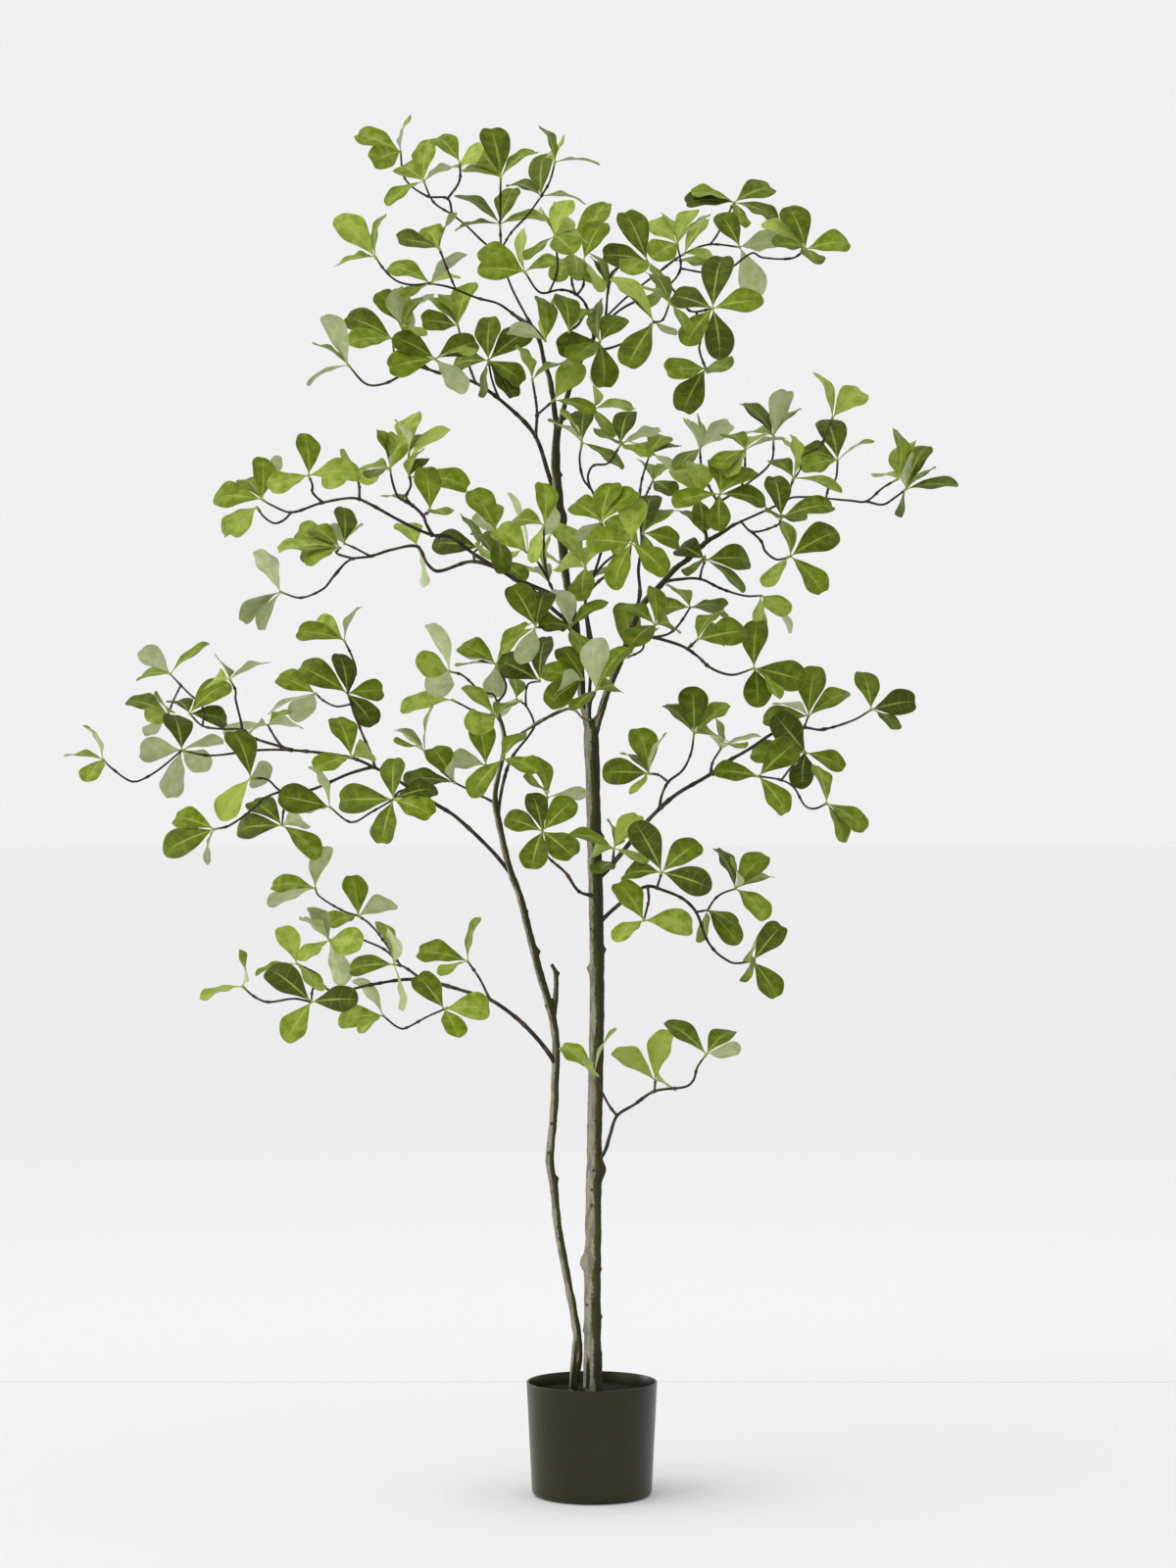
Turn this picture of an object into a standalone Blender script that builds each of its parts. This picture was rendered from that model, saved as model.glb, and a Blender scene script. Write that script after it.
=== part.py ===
"""Potted black olive tree: a slim two-stemmed decorative tree, 2.1 m tall, in a plain dark pot.

The tree stands in the middle of its pot, with +Z up and the front towards -Y. The origin is the centre
of the pot's base. Every leafy branch is one fused solid, seated on the stem that carries it.
"""

import math
import random

import bmesh
import bpy
from mathutils import Vector
from mathutils.bvhtree import BVHTree

CM = 0.01
MM = 0.001

# The point that the front view is read from, in cm from the pot's centre on the floor
EYE_X = -0.6
EYE_HEIGHT = 109.8
EYE_DISTANCE = 580.0
EYE = Vector((EYE_X, -EYE_DISTANCE, EYE_HEIGHT)) * CM

# The gap that touching pieces keep
GAP = 0.3 * MM

ORIGIN = Vector((0.0, 0.0, 0.0))

# Pot, in metres
POT_HEIGHT = 0.175
POT_RIM_RADIUS = 0.101
POT_BASE_RADIUS = 0.0925
POT_EDGE_RADIUS = 0.009
POT_WALL = 0.0028
POT_FLOOR = 0.004
POT_INNER_EASE = 0.012
POT_SIDES = 32
POT_EDGE_DEGREES = (0, 40, 80)

# Filling, in metres
FILL_TOP = 0.157
FILL_CROWN = 0.004
FILL_GAP = 0.36 * MM
# The first points of a stem, which run down through the filling's hole
HOLE_POINTS = 3

# Twigs and leaves
TIP_RADIUS = 1.6 * MM
# A limb's gain in radius at its foot, in metres for each cm of its length
LIMB_RADIUS_GROWTH = 0.000045
LIMB_RADIUS_LIMIT = 4.4 * MM
KNOB_RADIUS = 4.2 * MM
KNOB_CAP = 4.0 * MM
TWIG_SIDES = 3
ROUTE_TOLERANCE = 0.6
FEW_SIDES_SWELL = 1.3
LEAF_LENGTH = 7.0
LEAF_LENGTH_SPREAD = 0.7
LEAF_WIDTH_SHARE = 0.58
LEAF_WIDTH_SPREAD = 0.03
LEAF_THICKNESS = 1.7 * MM
LEAF_ROOT = 1.5 * MM
LEAF_ARCH = 0.07
LEAF_FOLD = 0.16
LEAF_WIDEST = 0.68
LEAF_BASE_POWER = 1.5
LEAF_RING = (0.31, 0.71, 0.965)
LEAF_MIDDLE = 0.5
LEAF_KEEL = 0.42
BREADTH_LIMIT = 0.93

# Small changes tried for a leaf that would cross another: swing and roll in radians, turn in depth in cm
LEAF_SWINGS = (0.0, 0.12, -0.12, 0.24, -0.24)
LEAF_ROLLS = (0.0, 0.25, -0.25, 0.5, -0.5)
LEAF_TURNS = (0.0, 1.8, -1.8, 3.4, -3.4)
SWING_COST = 6.0
ROLL_COST = 1.2
TURN_COST = 0.25
FLIP_COST = 1.2
LEAF_SEED = 7

# A leaf is at least this much longer than it shows, and its breadth goes by a length kept within bounds
LEAST_TURN = 1.02
WIDTH_LENGTHS = (6.4 * CM, 8.0 * CM)

# Below this sine a leaf points along the line of sight, and below this rise in cm it runs level
ALONG_SIGHT = 0.05
LEVEL_RUN = 1.5

# The depths in cm tried for a twig, and how thick a limb may be beside the stem that carries it
DEPTH_NUDGES = (0, 1.5, -1.5, 3, -3, 5, -5, 7, -7, 9, -9, 12, -12)
LIMB_SHARE = 0.6

# The run at a limb's foot that may touch its stem
SEAT_RUN = 12 * MM

# A leaf that shows less of its breadth than this is seen edge-on and is left out of the solids
EDGE_ON = 0.21

# How far a solid is swelled when it is tried against its neighbours
TEST_SWELL = 0.7 * MM

# Depth of the crown: how far the readings below are spread, and the most that a twig turns in depth
DEPTH_SPREAD = 1.6
DEPTH_TURN_BASE = 14.0
DEPTH_TURN_SHARE = 0.8
SWING_REACH = 40.0
SWING_LIMIT = 1.6

# The main stems as (x, z seen from the front, depth, diameter), all in cm
TRUNK = [(0.2, 6, 0, 2.75), (0.3, 14, 0, 2.75), (0.1, 25, 0.2, 2.7), (0.2, 40, 0.5, 2.5), (0.4, 55, 0.4, 2.35),
         (0.7, 70, 0, 2.3), (0.8, 82, -0.4, 2.25), (0.6, 92, -0.5, 2.3), (0.3, 104, -0.2, 2.2),
         (0.1, 112, 0, 2.3), (-0.1, 118, 0, 2.5), (-0.1, 121, 0, 1.6)]
LEFT_LEADER = [(-0.3, 117, 0, 1.3), (-0.8, 120, 0.2, 1.35), (-1.5, 123, 0.6, 1.3), (-1.9, 130, 1.2, 1.2),
               (-2.8, 136, 1.6, 1.2), (-3.9, 141, 1.8, 1.2), (-4.6, 148, 1.8, 1.7), (-5.2, 154, 1.6, 1.6),
               (-5.6, 160, 1.3, 1.4), (-5.4, 164.5, 1, 1.3)]
RIGHT_LEADER = [(0.2, 116.5, 0, 1.2), (1.3, 120.5, -0.2, 1.15), (2.2, 123.5, -0.4, 1.1), (3.8, 127.5, -0.8, 1.1),
                (5.3, 131.5, -1.2, 1.05), (6.6, 135, -1.5, 1.05), (8, 137.7, -1.7, 1), (10.5, 140.4, -1.9, 1),
                (13, 143.2, -2, .95), (14.9, 144.6, -2, .9), (17.8, 147.3, -2, .8), (19.7, 148.4, -2, .7),
                (22, 149.9, -2, .62)]
MIDDLE_PRONG = [(-0.3, 117.5, -0.4, 1), (-0.5, 122, -0.9, .9), (0.4, 124, -1.3, .6)]
TOP_LEFT_LEADER = [(-5.4, 162, 1.2, .9), (-5.6, 166, 1.2, .9), (-6.6, 172.8, 1.2, .85), (-7.4, 175, 1.2, .8),
                   (-8, 178, 1.1, .75), (-9.9, 181.7, 1, .65)]
TOP_RIGHT_LEADER = [(-5.5, 162.5, 1, .9), (-4.9, 165.5, .8, .85), (-3.9, 169.5, .4, .85), (-1.7, 175.3, 0, .8),
                    (0, 178.2, -.2, .75), (1.2, 181, -.4, .65)]
SIDE_STEM = [(-3, 6, 0, 1.4), (-2.9, 15.5, 0, 1.4), (-2.1, 22.1, 0.3, 1.35), (-2.6, 26.7, 0.6, 1.3),
             (-3.7, 32.7, 1.2, 1.3), (-4.6, 37.4, 1.6, 1.3), (-5.3, 41.5, 1.9, 1.3), (-5.9, 47.6, 2.2, 1.3),
             (-6.5, 51.3, 2.3, 1.3), (-6.4, 53.6, 2.3, 1.3), (-5.9, 58.7, 2.2, 1.25), (-5.7, 63.8, 2, 1.25),
             (-5.6, 70.3, 1.6, 1.25), (-6.3, 74.5, 1.2, 1.3), (-8.2, 81, .6, 1.2), (-9.5, 86, .2, 1.15),
             (-11, 92, -.2, 1.1), (-12.8, 97, -.5, 1.05), (-14.2, 103, -.8, 1), (-14.8, 106, -1, .95),
             (-15, 108, -1, .9), (-14.6, 110.5, -1, .85), (-14, 113, -.9, .8), (-13.5, 116, -.7, .75),
             (-13.8, 118.5, -.5, .7), (-14.4, 120.5, -.4, .65), (-14.5, 122.5, -.3, .55)]
DEAD_STUB = [(-6, 73.5, 1.3, 1.1), (-5.6, 77, 1.6, .95), (-5.6, 80.5, 1.8, .8), (-6.2, 81.9, 1.9, .6)]
TRUNK_KNOTS = [(-1.2, 36, -.3, 1.1), (1.4, 50.2, 0, 1.7), (1.7, 101.5, -.4, .9), (-0.2, 81.2, -.9, 1),
               (1.6, 84.2, -.8, .9), (-4.3, 151, 1.6, 1.1)]
SIDE_STEM_KNOTS = [(-5.6, 48.5, 2, .8), (-8.5, 84, .2, .8)]

# Each stem with the number of its sides
TRUNK_STEMS = [(TRUNK, 8), (LEFT_LEADER, 6), (RIGHT_LEADER, 6), (MIDDLE_PRONG, 5), (TOP_LEFT_LEADER, 5),
               (TOP_RIGHT_LEADER, 5)]
SIDE_STEMS = [(SIDE_STEM, 6), (DEAD_STUB, 5)]

# The point at a stem's end, and how a knot stands out: its height, and its gain when a solid is swelled
STEM_CAP = 2 * MM
KNOT_STRETCH = 1.5
KNOT_SWELL = 2.6

# How far each leafy branch swings back (or forward, below zero) at SWING_REACH from its foot, in cm
SWING = {
    "branch_top_left_high": 6, "branch_top_left_side": -10, "branch_top_middle": -4,
    "branch_top_right_high": 10, "branch_top_right_low": -5, "branch_top_right_under": -12,
    "branch_upper_left": 12, "branch_left_high": -9, "branch_left_long": 13, "branch_left_near": -14,
    "branch_centre": -6, "branch_high_middle": 14, "branch_right_centre": 16, "branch_right_upper": 9,
    "branch_right_long": -9, "branch_right_under": 16, "branch_right_mid": -12, "branch_right": 8,
    "branch_right_low": -13, "branch_lowest": 10, "branch_left_low": -11, "branch_left_main": 7,
    "branch_stem_left": 14, "branch_stem_mid": 6, "branch_stem_front": -6, "branch_stem_top": -10,
    "branch_stem_back": 8, "branch_stem_low": -8, "branch_stem_right": 10,
    "branch_left_inner": -14, "branch_fork_left": -12,
}

# The leafy branches, read from the front in cm. Each has rows for its limb and twigs: the depth of the
# twig's end, its route as (x, z) from foot to end, and the leaves there as (x and z of the tip, the share
# of the blade's breadth that shows, tone). Tones run V, D, M, L from darkest to lightest; P is the paler
# underside.
SPRAYS = {
    "branch_top_left_high": [
        (5, [(-9.9, 181.7), (-12.3, 186.3), (-13.6, 190), (-14, 192.5), (-14.2, 196.4)],
         [(-12.2, 202, .9, "M"), (-21.2, 201.2, .45, "D"), (-21.4, 195.5, .2, "D"), (-7, 197.6, .4, "M")]),
        (1, [(-14.2, 196.4), (-14.1, 203.6)],
         [(-15.4, 211.6, 1, "D"), (-17.6, 207.5, .9, "M"), (-20.2, 204.8, .45, "M"), (-8.7, 208.2, .35, "M")]),
        (10, [(-14, 192.5), (-16, 193), (-19.5, 196.2), (-21.6, 197.8), (-24.5, 199.8), (-26, 203)],
         [(-25.4, 209.7, .85, "M"), (-29.5, 205.5, 1, "M"), (-31.7, 199.4, .3, "M"), (-20.4, 205.6, .35, "P")]),
        (18, [(-21.6, 197.8), (-22.3, 200.3), (-25.5, 200.7), (-28.9, 203.4), (-29.6, 207.6)],
         [(-36.6, 210.3, .8, "M"), (-34.2, 206, 1, "M"), (-28.2, 213, .25, "P")]),
        (-2, [(-22.3, 200.4), (-20.5, 203), (-20.4, 205.9)],
         [(-24.3, 210.2, .75, "M"), (-16.9, 207.3, .6, "L")]),
        (-8, [(-14, 192.5), (-12.5, 195), (-9.9, 197.8), (-7.8, 200.7)],
         [(-7.4, 207.4, .8, "D"), (-12.7, 202.8, .35, "D"), (-0.7, 199.8, .3, "P")]),
        (-13, [(-7.8, 200.7), (-6.5, 203), (-5.7, 206)],
         [(-7.8, 211.9, .4, "D"), (-5, 208.6, .6, "L"), (1.3, 205.7, .12, "P")]),
    ],
    "branch_top_left_side": [
        (-5, [(-8.5, 179), (-14, 183.8), (-17.9, 185), (-22, 186.6), (-25, 187.2)],
         [(-31.5, 190.2, .6, "M"), (-19.6, 191.8, .45, "P"), (-21.2, 188.5, .5, "L"), (-29.2, 185.4, .3, "M")]),
        (-10, [(-25, 187.2), (-28, 187), (-30.2, 187.6), (-32, 189.2), (-33.5, 191.3)],
         [(-39.3, 197.6, .95, "L"), (-32.3, 198.1, .2, "M"), (-39.3, 190, .25, "M")]),
        (-14, [(-21.1, 186), (-22.2, 189), (-23.6, 192.6)],
         [(-21.3, 197.8, .15, "D"), (-25.6, 195.9, .8, "M"), (-30.4, 193.9, .6, "D")]),
        (-13, [(-12, 182.8), (-9, 180.4), (-7.2, 178.3)],
         [(-7.6, 185.4, .7, "M"), (-5.9, 184.5, .15, "L"), (-13.2, 180.2, .5, "P")]),
    ],
    "branch_top_middle": [
        (-12, [(0.1, 178.9), (-1, 184), (-3, 185.8), (-5, 186.2), (-8, 185.8), (-10.4, 189)],
         [(-17.6, 189.5, 1, "M"), (-17.4, 192.5, .8, "M"), (-10.3, 196, .35, "L"), (-3.8, 190.8, .5, "M")]),
        (-18, [(-6.4, 186.1), (-5.5, 188.5), (-5.3, 190.5), (-5.8, 194.4)],
         [(-7.5, 198, .5, "L"), (-4.2, 198.4, .7, "L"), (-1.4, 194.8, .45, "L"), (-2.9, 191.8, .8, "M"),
          (-10, 190.6, .4, "D")]),
        (3, [(-2.6, 185.6), (-3.1, 187.5), (-3, 191.8)],
         [(-5.4, 187.6, .8, "M"), (-2.2, 187.4, .8, "M"), (-2.4, 195.4, .5, "L"), (3, 199.7, .8, "M")]),
        (-6, [(-2.2, 185.5), (-1.3, 187), (-1.3, 190.8)],
         [(1.9, 197, .9, "M"), (1.1, 185.7, .3, "L"), (-0.4, 187.1, .45, "L")]),
        (-16, [(-0.2, 183.2), (-2, 181), (-3.6, 179.7)],
         [(-4.2, 185.6, 1, "D"), (-0.4, 183.6, .6, "M")]),
    ],
    "branch_top_right_high": [
        (7, [(1.2, 181), (3.5, 183.3), (5.3, 185), (10.3, 188.9), (14, 191.6), (18, 193.2), (22.9, 192.8)],
         [(19.7, 198.1, .9, "D"), (29, 193.8, .75, "P"), (25.3, 184.8, .9, "P")]),
        (15, [(18.4, 193.3), (19.3, 194.6), (20.5, 196.8), (22, 199.7)],
         [(27.8, 202.3, .75, "D"), (14.1, 199.6, .6, "V"), (15.1, 201.5, .2, "P"), (28.9, 196.8, .45, "D"),
          (22.9, 196, .8, "M")]),
        (-9, [(2.2, 182), (2.9, 188.4), (4.5, 189.8), (8.6, 190.6)],
         [(4.6, 198.6, .95, "D"), (1.3, 191.7, .7, "V"), (5.3, 189, .6, "M"), (11, 185.7, .5, "M")]),
        (0, [(13, 190.8), (14.3, 191.8)],
         [(18.2, 197.3, .6, "M"), (19.5, 190.8, .45, "L")]),
    ],
    "branch_top_right_low": [
        (-3, [(0.8, 180.2), (5, 183.5), (9.1, 185.4), (12, 187), (13.7, 189.5), (13.2, 193.4)],
         [(8.4, 196.8, .8, "L"), (9.2, 191, .85, "M"), (12.2, 197.7, .7, "L"), (15.8, 198.9, .45, "L"),
          (18.7, 197.8, .12, "P")]),
        (12, [(13.7, 189.4), (18.2, 188.8), (21, 189.3), (24.8, 191.9), (26.3, 191.2), (31, 191.1), (33.1, 192.5)],
         [(30.4, 199.4, .85, "D"), (39.9, 193.7, .9, "M"), (34.2, 190.2, .8, "D"), (28.2, 193.2, .5, "D"),
          (26.3, 196.8, .6, "L")]),
        (-12, [(12, 187), (13.5, 185), (15.3, 182.9), (18.7, 183.3)],
         [(20, 192, .95, "V"), (26.6, 184.6, .75, "M"), (12.2, 185.3, .85, "V"), (14.2, 177.5, .85, "D"),
          (19.8, 175.6, .95, "V")]),
        (-4, [(16.2, 182.9), (16.9, 179), (16.6, 177), (17.6, 174)],
         [(11.2, 173.3, .85, "M"), (21.4, 174, .65, "M"), (13.9, 167, .9, "D")]),
    ],
    "branch_top_right_under": [
        (-14, [(-0.8, 177), (1.8, 177), (4, 177.6), (7, 179), (9.6, 181.2)],
         [(5.4, 173.9, .95, "D"), (4.2, 186.8, .5, "L"), (3.5, 188.5, .2, "L"), (11.6, 179.2, .3, "P")]),
        (-19, [(9.6, 181.2), (10.9, 181.5), (12, 184.1)],
         [(9.3, 189.2, .6, "D"), (8.2, 186.8, .5, "L"), (14.5, 180, .4, "M")]),
        (-6, [(0.8, 177), (1.2, 178.1)],
         [(2.1, 170.9, .9, "D"), (4.7, 181.9, .85, "M"), (-5.5, 176.9, .95, "D"), (-3, 175, .6, "M"),
          (1.3, 184.5, .5, "D")]),
    ],
    "branch_upper_left": [
        (-4, [(-5.8, 152.5), (-6.8, 158), (-8.7, 163.5), (-12, 167.3), (-18, 171.8), (-23.8, 173.4), (-27, 174.2),
              (-31.8, 171.8), (-34.8, 171.6), (-37.7, 174.6)],
         [(-41.5, 182.5, .8, "P"), (-44.2, 171.5, .25, "P"), (-43.2, 178, .3, "M")]),
        (4, [(-27, 174.2), (-30.3, 176), (-30.8, 178.6)],
         [(-38, 182.3, .8, "D"), (-37.8, 178, .5, "M")]),
        (-15, [(-25.5, 173.8), (-28.6, 177.5), (-29.3, 180.6)],
         [(-33.2, 185.8, .8, "M"), (-30.3, 186.8, .4, "P"), (-24.9, 185.3, .2, "L"), (-26.5, 179.2, .25, "L"),
          (-26.5, 185, .7, "M")]),
        (12, [(-18, 171.8), (-19.5, 176), (-20.7, 180.6)],
         [(-18.9, 187.7, .75, "M"), (-22.4, 185.8, .7, "M"), (-26.6, 181.5, .8, "D")]),
        (-14, [(-22, 172.8), (-24.2, 175.5)],
         [(-30.8, 179, .8, "D"), (-31.9, 174.2, .95, "M"), (-17.6, 178.3, .8, "D"), (-18, 176.6, .25, "P"),
          (-20, 170.2, .8, "P")]),
        (-5, [(-14.5, 169.5), (-15.5, 172.5), (-16, 175.3)],
         [(-15.8, 182.2, 1, "D"), (-21.6, 174.5, .75, "D"), (-9.5, 180, .9, "D"), (-10.5, 171.8, .8, "D"),
          (-12, 169.2, .8, "V"), (-16.3, 169.6, .3, "D")]),
        (-16, [(-8.7, 163.5), (-8.5, 167.5), (-9.2, 172.4)],
         [(-11.5, 177.5, .45, "L"), (-3.5, 175.2, .25, "M")]),
        (-12, [(-8.5, 166.8), (-5.9, 169.1)],
         [(-1.5, 174.9, .9, "L"), (0, 167.3, .5, "M")]),
    ],
    "branch_left_high": [
        (-9, [(-2.3, 133), (-4, 135), (-6, 136.8), (-9, 139.6), (-12, 141.5), (-16, 144), (-18, 145.2), (-22, 148),
              (-24.7, 148.3), (-28.7, 150), (-35.6, 153.7), (-37.5, 154), (-42, 153.2), (-46.5, 151.8),
              (-49.7, 153), (-51, 153.8)],
         [(-51, 160.5, .95, "M"), (-48, 160, .2, "L"), (-53.8, 157, .7, "M"), (-58.7, 154, .8, "M")]),
        (-3, [(-46.5, 151.8), (-47.5, 150.7), (-49, 150.1), (-50.6, 151), (-51.8, 152.6)],
         [(-55.9, 148.5, .75, "L"), (-57.5, 148.5, .35, "M")]),
        (-14, [(-41.8, 153.3), (-43.2, 154.9), (-43.2, 156), (-43.8, 157.5)],
         [(-44.3, 164, .85, "M"), (-50, 155.2, .75, "L"), (-35.6, 158.1, .85, "L")]),
        (2, [(-35.8, 153.9), (-36, 156), (-36.8, 158.6)],
         [(-34.8, 156.2, .7, "L"), (-41, 155.8, .6, "L"), (-38.5, 160.1, .3, "L")]),
        (-16, [(-24.8, 148.5), (-25.6, 150), (-26.1, 151.3), (-28.3, 153.3), (-29.8, 154), (-30.7, 156), (-31.2, 158.4)],
         [(-32.8, 164.9, .5, "M"), (-30.1, 164.3, .4, "M"), (-36, 158.3, .25, "M"), (-29, 163.2, .2, "P"),
          (-34.2, 157.4, .2, "D")]),
        (-1, [(-28.3, 153.3), (-28.7, 154.3), (-28, 156), (-28.4, 158.5), (-28.3, 161)],
         [(-27.6, 167.5, .85, "L"), (-30.1, 166.3, .15, "P"), (-24.8, 163.8, .3, "M")]),
        (-4, [(-27.6, 152.7), (-28.9, 153.4)],
         [(-31.8, 154.3, .3, "D")]),
        (-19, [(-26.1, 151.3), (-25, 152)],
         [(-26, 159, .95, "M"), (-22.4, 151.2, .3, "M")]),
    ],
    "branch_left_long": [
        (6, [(-3.2, 137), (-6, 139), (-10, 140.8), (-13.5, 142.7), (-18.5, 144.2), (-23.8, 142.7), (-25.4, 143.8),
             (-27, 146.5), (-31, 146), (-34.2, 145), (-37.5, 144.4), (-40, 141.8), (-41.5, 140), (-45, 138.6),
             (-48.2, 139.5)],
         [(-52, 146, .75, "P"), (-54.5, 135, .45, "P")]),
        (11, [(-26.9, 146.3), (-27, 146.6)],
         [(-29.2, 150.2, .95, "L"), (-26.3, 140.3, .2, "P")]),
        (0, [(-34.2, 145), (-36.5, 146.2), (-38.3, 147)],
         [(-38.6, 152.7, .85, "D"), (-42, 149.5, .8, "P"), (-36.6, 149.2, .5, "L")]),
        (-6, [(-37, 144.4), (-39.5, 145.5), (-38.9, 146.3)],
         [(-45, 146, .9, "D"), (-43.8, 143.7, .3, "M"), (-43.5, 149.8, .8, "M"), (-49, 146, .3, "L")]),
        (13, [(-18, 144.3), (-18.2, 145.6), (-17.3, 146.3)],
         [(-24.7, 147.2, .95, "V"), (-20.2, 151.6, .5, "D"), (-13.3, 148.3, .6, "D"), (-16.4, 144.9, .3, "L")]),
        (2, [(-15, 143.5), (-14.6, 144)],
         [(-10.2, 141.5, .65, "D"), (-18.3, 149, .35, "D")]),
    ],
    "branch_left_near": [
        (-12, [(-2, 130.5), (-4.4, 136), (-6.8, 141.4), (-8.5, 144.3), (-9.8, 145.5)],
         [(-15, 149.8, .95, "L"), (-13.5, 155.2, .1, "P"), (-4.6, 143.8, .4, "L")]),
        (-20, [(-6.8, 141.4), (-7.4, 145), (-7.4, 149.8)],
         [(-7.4, 156.7, .85, "M"), (-12.4, 150.6, .55, "M"), (-8.8, 143.8, .6, "L"), (-5.2, 150.3, .7, "P")]),
        (-3, [(-9, 144.8), (-12, 147), (-14.9, 148.9)],
         [(-16.5, 153.9, .85, "L"), (-17.4, 150, .2, "P"), (-18.5, 155.5, .8, "M"), (-14.2, 142.6, .5, "D")]),
        (-16, [(-4, 135), (-6.5, 134.2), (-8.7, 134)],
         [(-12.2, 140.8, .95, "D"), (-7.1, 140, .95, "V"), (-14.2, 130.3, .4, "M"), (-10.2, 128.4, .8, "P")]),
        (-9, [(-3.6, 134.4), (-3.4, 134)],
         [(-5.4, 140, .75, "P"), (-8, 134.6, .8, "D"), (2.6, 138.2, .6, "M"), (-1.5, 129.6, .6, "M")]),
    ],
    "branch_centre": [
        (-6, [(-0.4, 121), (-0.2, 128), (-0.6, 133), (-1, 138), (0.1, 141.5), (1.5, 146), (1.8, 148.5), (1.2, 151),
              (0.1, 155), (-1.3, 156.9), (-1.9, 160), (-1.5, 162.6)],
         [(-1, 168, .9, "D"), (-6.7, 165.9, .25, "P"), (4.7, 158.3, .5, "D"), (-4.6, 167, .15, "L")]),
        (-15, [(-0.2, 155.6), (-0.6, 157.5), (0.2, 159), (2.5, 159.4), (4.4, 162.2)],
         [(5.6, 167.7, .95, "V"), (1, 163.4, .25, "D"), (7.9, 160.4, .4, "M"), (11, 164.3, .4, "P")]),
        (-16, [(1.7, 148.5), (1.5, 150.3)],
         [(-2.9, 153.5, .85, "M"), (7.2, 155.3, .7, "M"), (3, 156.6, .85, "M"), (-1.8, 147.4, .6, "P")]),
        (-14, [(-0.6, 139), (1.5, 141.5), (3.3, 142.4), (5.4, 143.6), (6.1, 147)],
         [(3.3, 140, .85, "M"), (11.8, 142.4, .85, "M"), (-1, 147.3, .95, "M"), (6, 154.4, .95, "L")]),
        (2, [(-0.4, 139.6), (-0.8, 141.5), (-1, 143.3)],
         [(-5.8, 150, .65, "L"), (0.9, 146.8, .7, "L"), (-5.4, 143.9, .75, "L"), (-1.2, 138.4, .9, "M")]),
        (-14, [(-0.9, 137.2), (-0.2, 133), (0.8, 128), (0.7, 124.3)],
         [(0.9, 132.6, .95, "P"), (5.3, 131.2, .55, "M"), (4, 124.9, .8, "M"), (-2.8, 121, .5, "D")]),
        (3, [(0.2, 141.8), (2, 144), (3.8, 145.2), (3.6, 143.6)],
         [(5.9, 149.3, .6, "M"), (-0.6, 141, .3, "M")]),
    ],
    "branch_high_middle": [
        (4, [(-4.6, 166), (-2.5, 167.2), (0.3, 167.8)],
         [(6.6, 168, .4, "L"), (-0.1, 172.4, .25, "L"), (2.5, 163.4, .5, "M")]),
    ],
    "branch_right_centre": [
        (8, [(6, 133.4), (7.4, 139), (7.2, 143), (7.7, 147), (7.4, 152), (7.6, 156.2), (8.9, 160.7)],
         [(11.3, 163.9, .9, "M"), (6.3, 162.7, .5, "M"), (13.4, 162.4, .7, "D"), (12.6, 158.6, .3, "P")]),
        (14, [(7.5, 152), (8.4, 154.5), (9.4, 156.6)],
         [(12.8, 154.5, .8, "D"), (8.1, 159.4, .5, "M"), (13.2, 159.8, .2, "M")]),
        (-8, [(7.6, 146), (7.9, 148.6)],
         [(9.4, 154.9, .95, "V"), (13.8, 147.1, .85, "M"), (12.8, 152.6, .6, "M"), (9, 143.6, .6, "M")]),
    ],
    "branch_right_upper": [
        (2, [(17.7, 147.4), (17.6, 150), (19, 152.8), (21, 154.2), (24, 156.2), (27.7, 159.6), (28.1, 163.6)],
         [(23.2, 169, .4, "D"), (30.4, 171, .75, "P"), (31.4, 167.8, .45, "M"), (24, 164.2, .3, "L"),
          (31.6, 160.6, .25, "L")]),
        (-10, [(23, 155.6), (23.6, 158), (23.7, 161.5)],
         [(21, 164.2, .6, "M"), (25.6, 163.8, .7, "L"), (19, 158.4, .6, "M"), (30, 163.1, .12, "P"),
          (21.9, 157.4, .6, "L")]),
        (-16, [(18.4, 152), (19.2, 153.4), (19.8, 154.6)],
         [(19.7, 148.8, .95, "D"), (25.5, 158.4, .55, "M"), (27.1, 153.6, .6, "D"), (19.4, 159.9, .85, "M"),
          (12.2, 153.2, .5, "M")]),
        (13, [(19.4, 153.2), (18, 156), (17, 158.4), (16.7, 161.6)],
         [(13.2, 158.4, .6, "D"), (15.1, 166, .5, "P"), (16.5, 166.8, .4, "M"), (21.8, 165.6, .7, "P")]),
        (-6, [(17.6, 150.4), (16.8, 152.4), (16.4, 154)],
         [(16.2, 160, .85, "L"), (12.8, 158.6, .7, "L"), (17, 149.4, .8, "D")]),
    ],
    "branch_right_long": [
        (-4, [(22, 149.9), (28.2, 152.7), (30, 153.6), (31, 154.1), (34.2, 154.1), (40.1, 153.6), (42.4, 153.5),
              (45, 155.6), (47.4, 157)],
         [(47.2, 165.1, .55, "M"), (49, 162.6, .6, "M"), (44.7, 157.6, .4, "L")]),
        (3, [(42.4, 153.5), (45, 153), (47, 154.2), (48.6, 155.4)],
         [(51.8, 162.4, .75, "D"), (49, 161, .7, "P"), (56.7, 155.9, .45, "D"), (53, 158.4, .3, "M"),
          (48.2, 152, .2, "D")]),
        (5, [(36.2, 154.1), (36.7, 155.8), (37.7, 157), (38, 159.8)],
         [(36.3, 166.6, .9, "V"), (32.2, 158.5, .65, "M"), (32.3, 161.7, .5, "D"), (43.7, 163.1, .1, "P")]),
        (-9, [(30, 153.6), (31.2, 157.1)],
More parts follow.
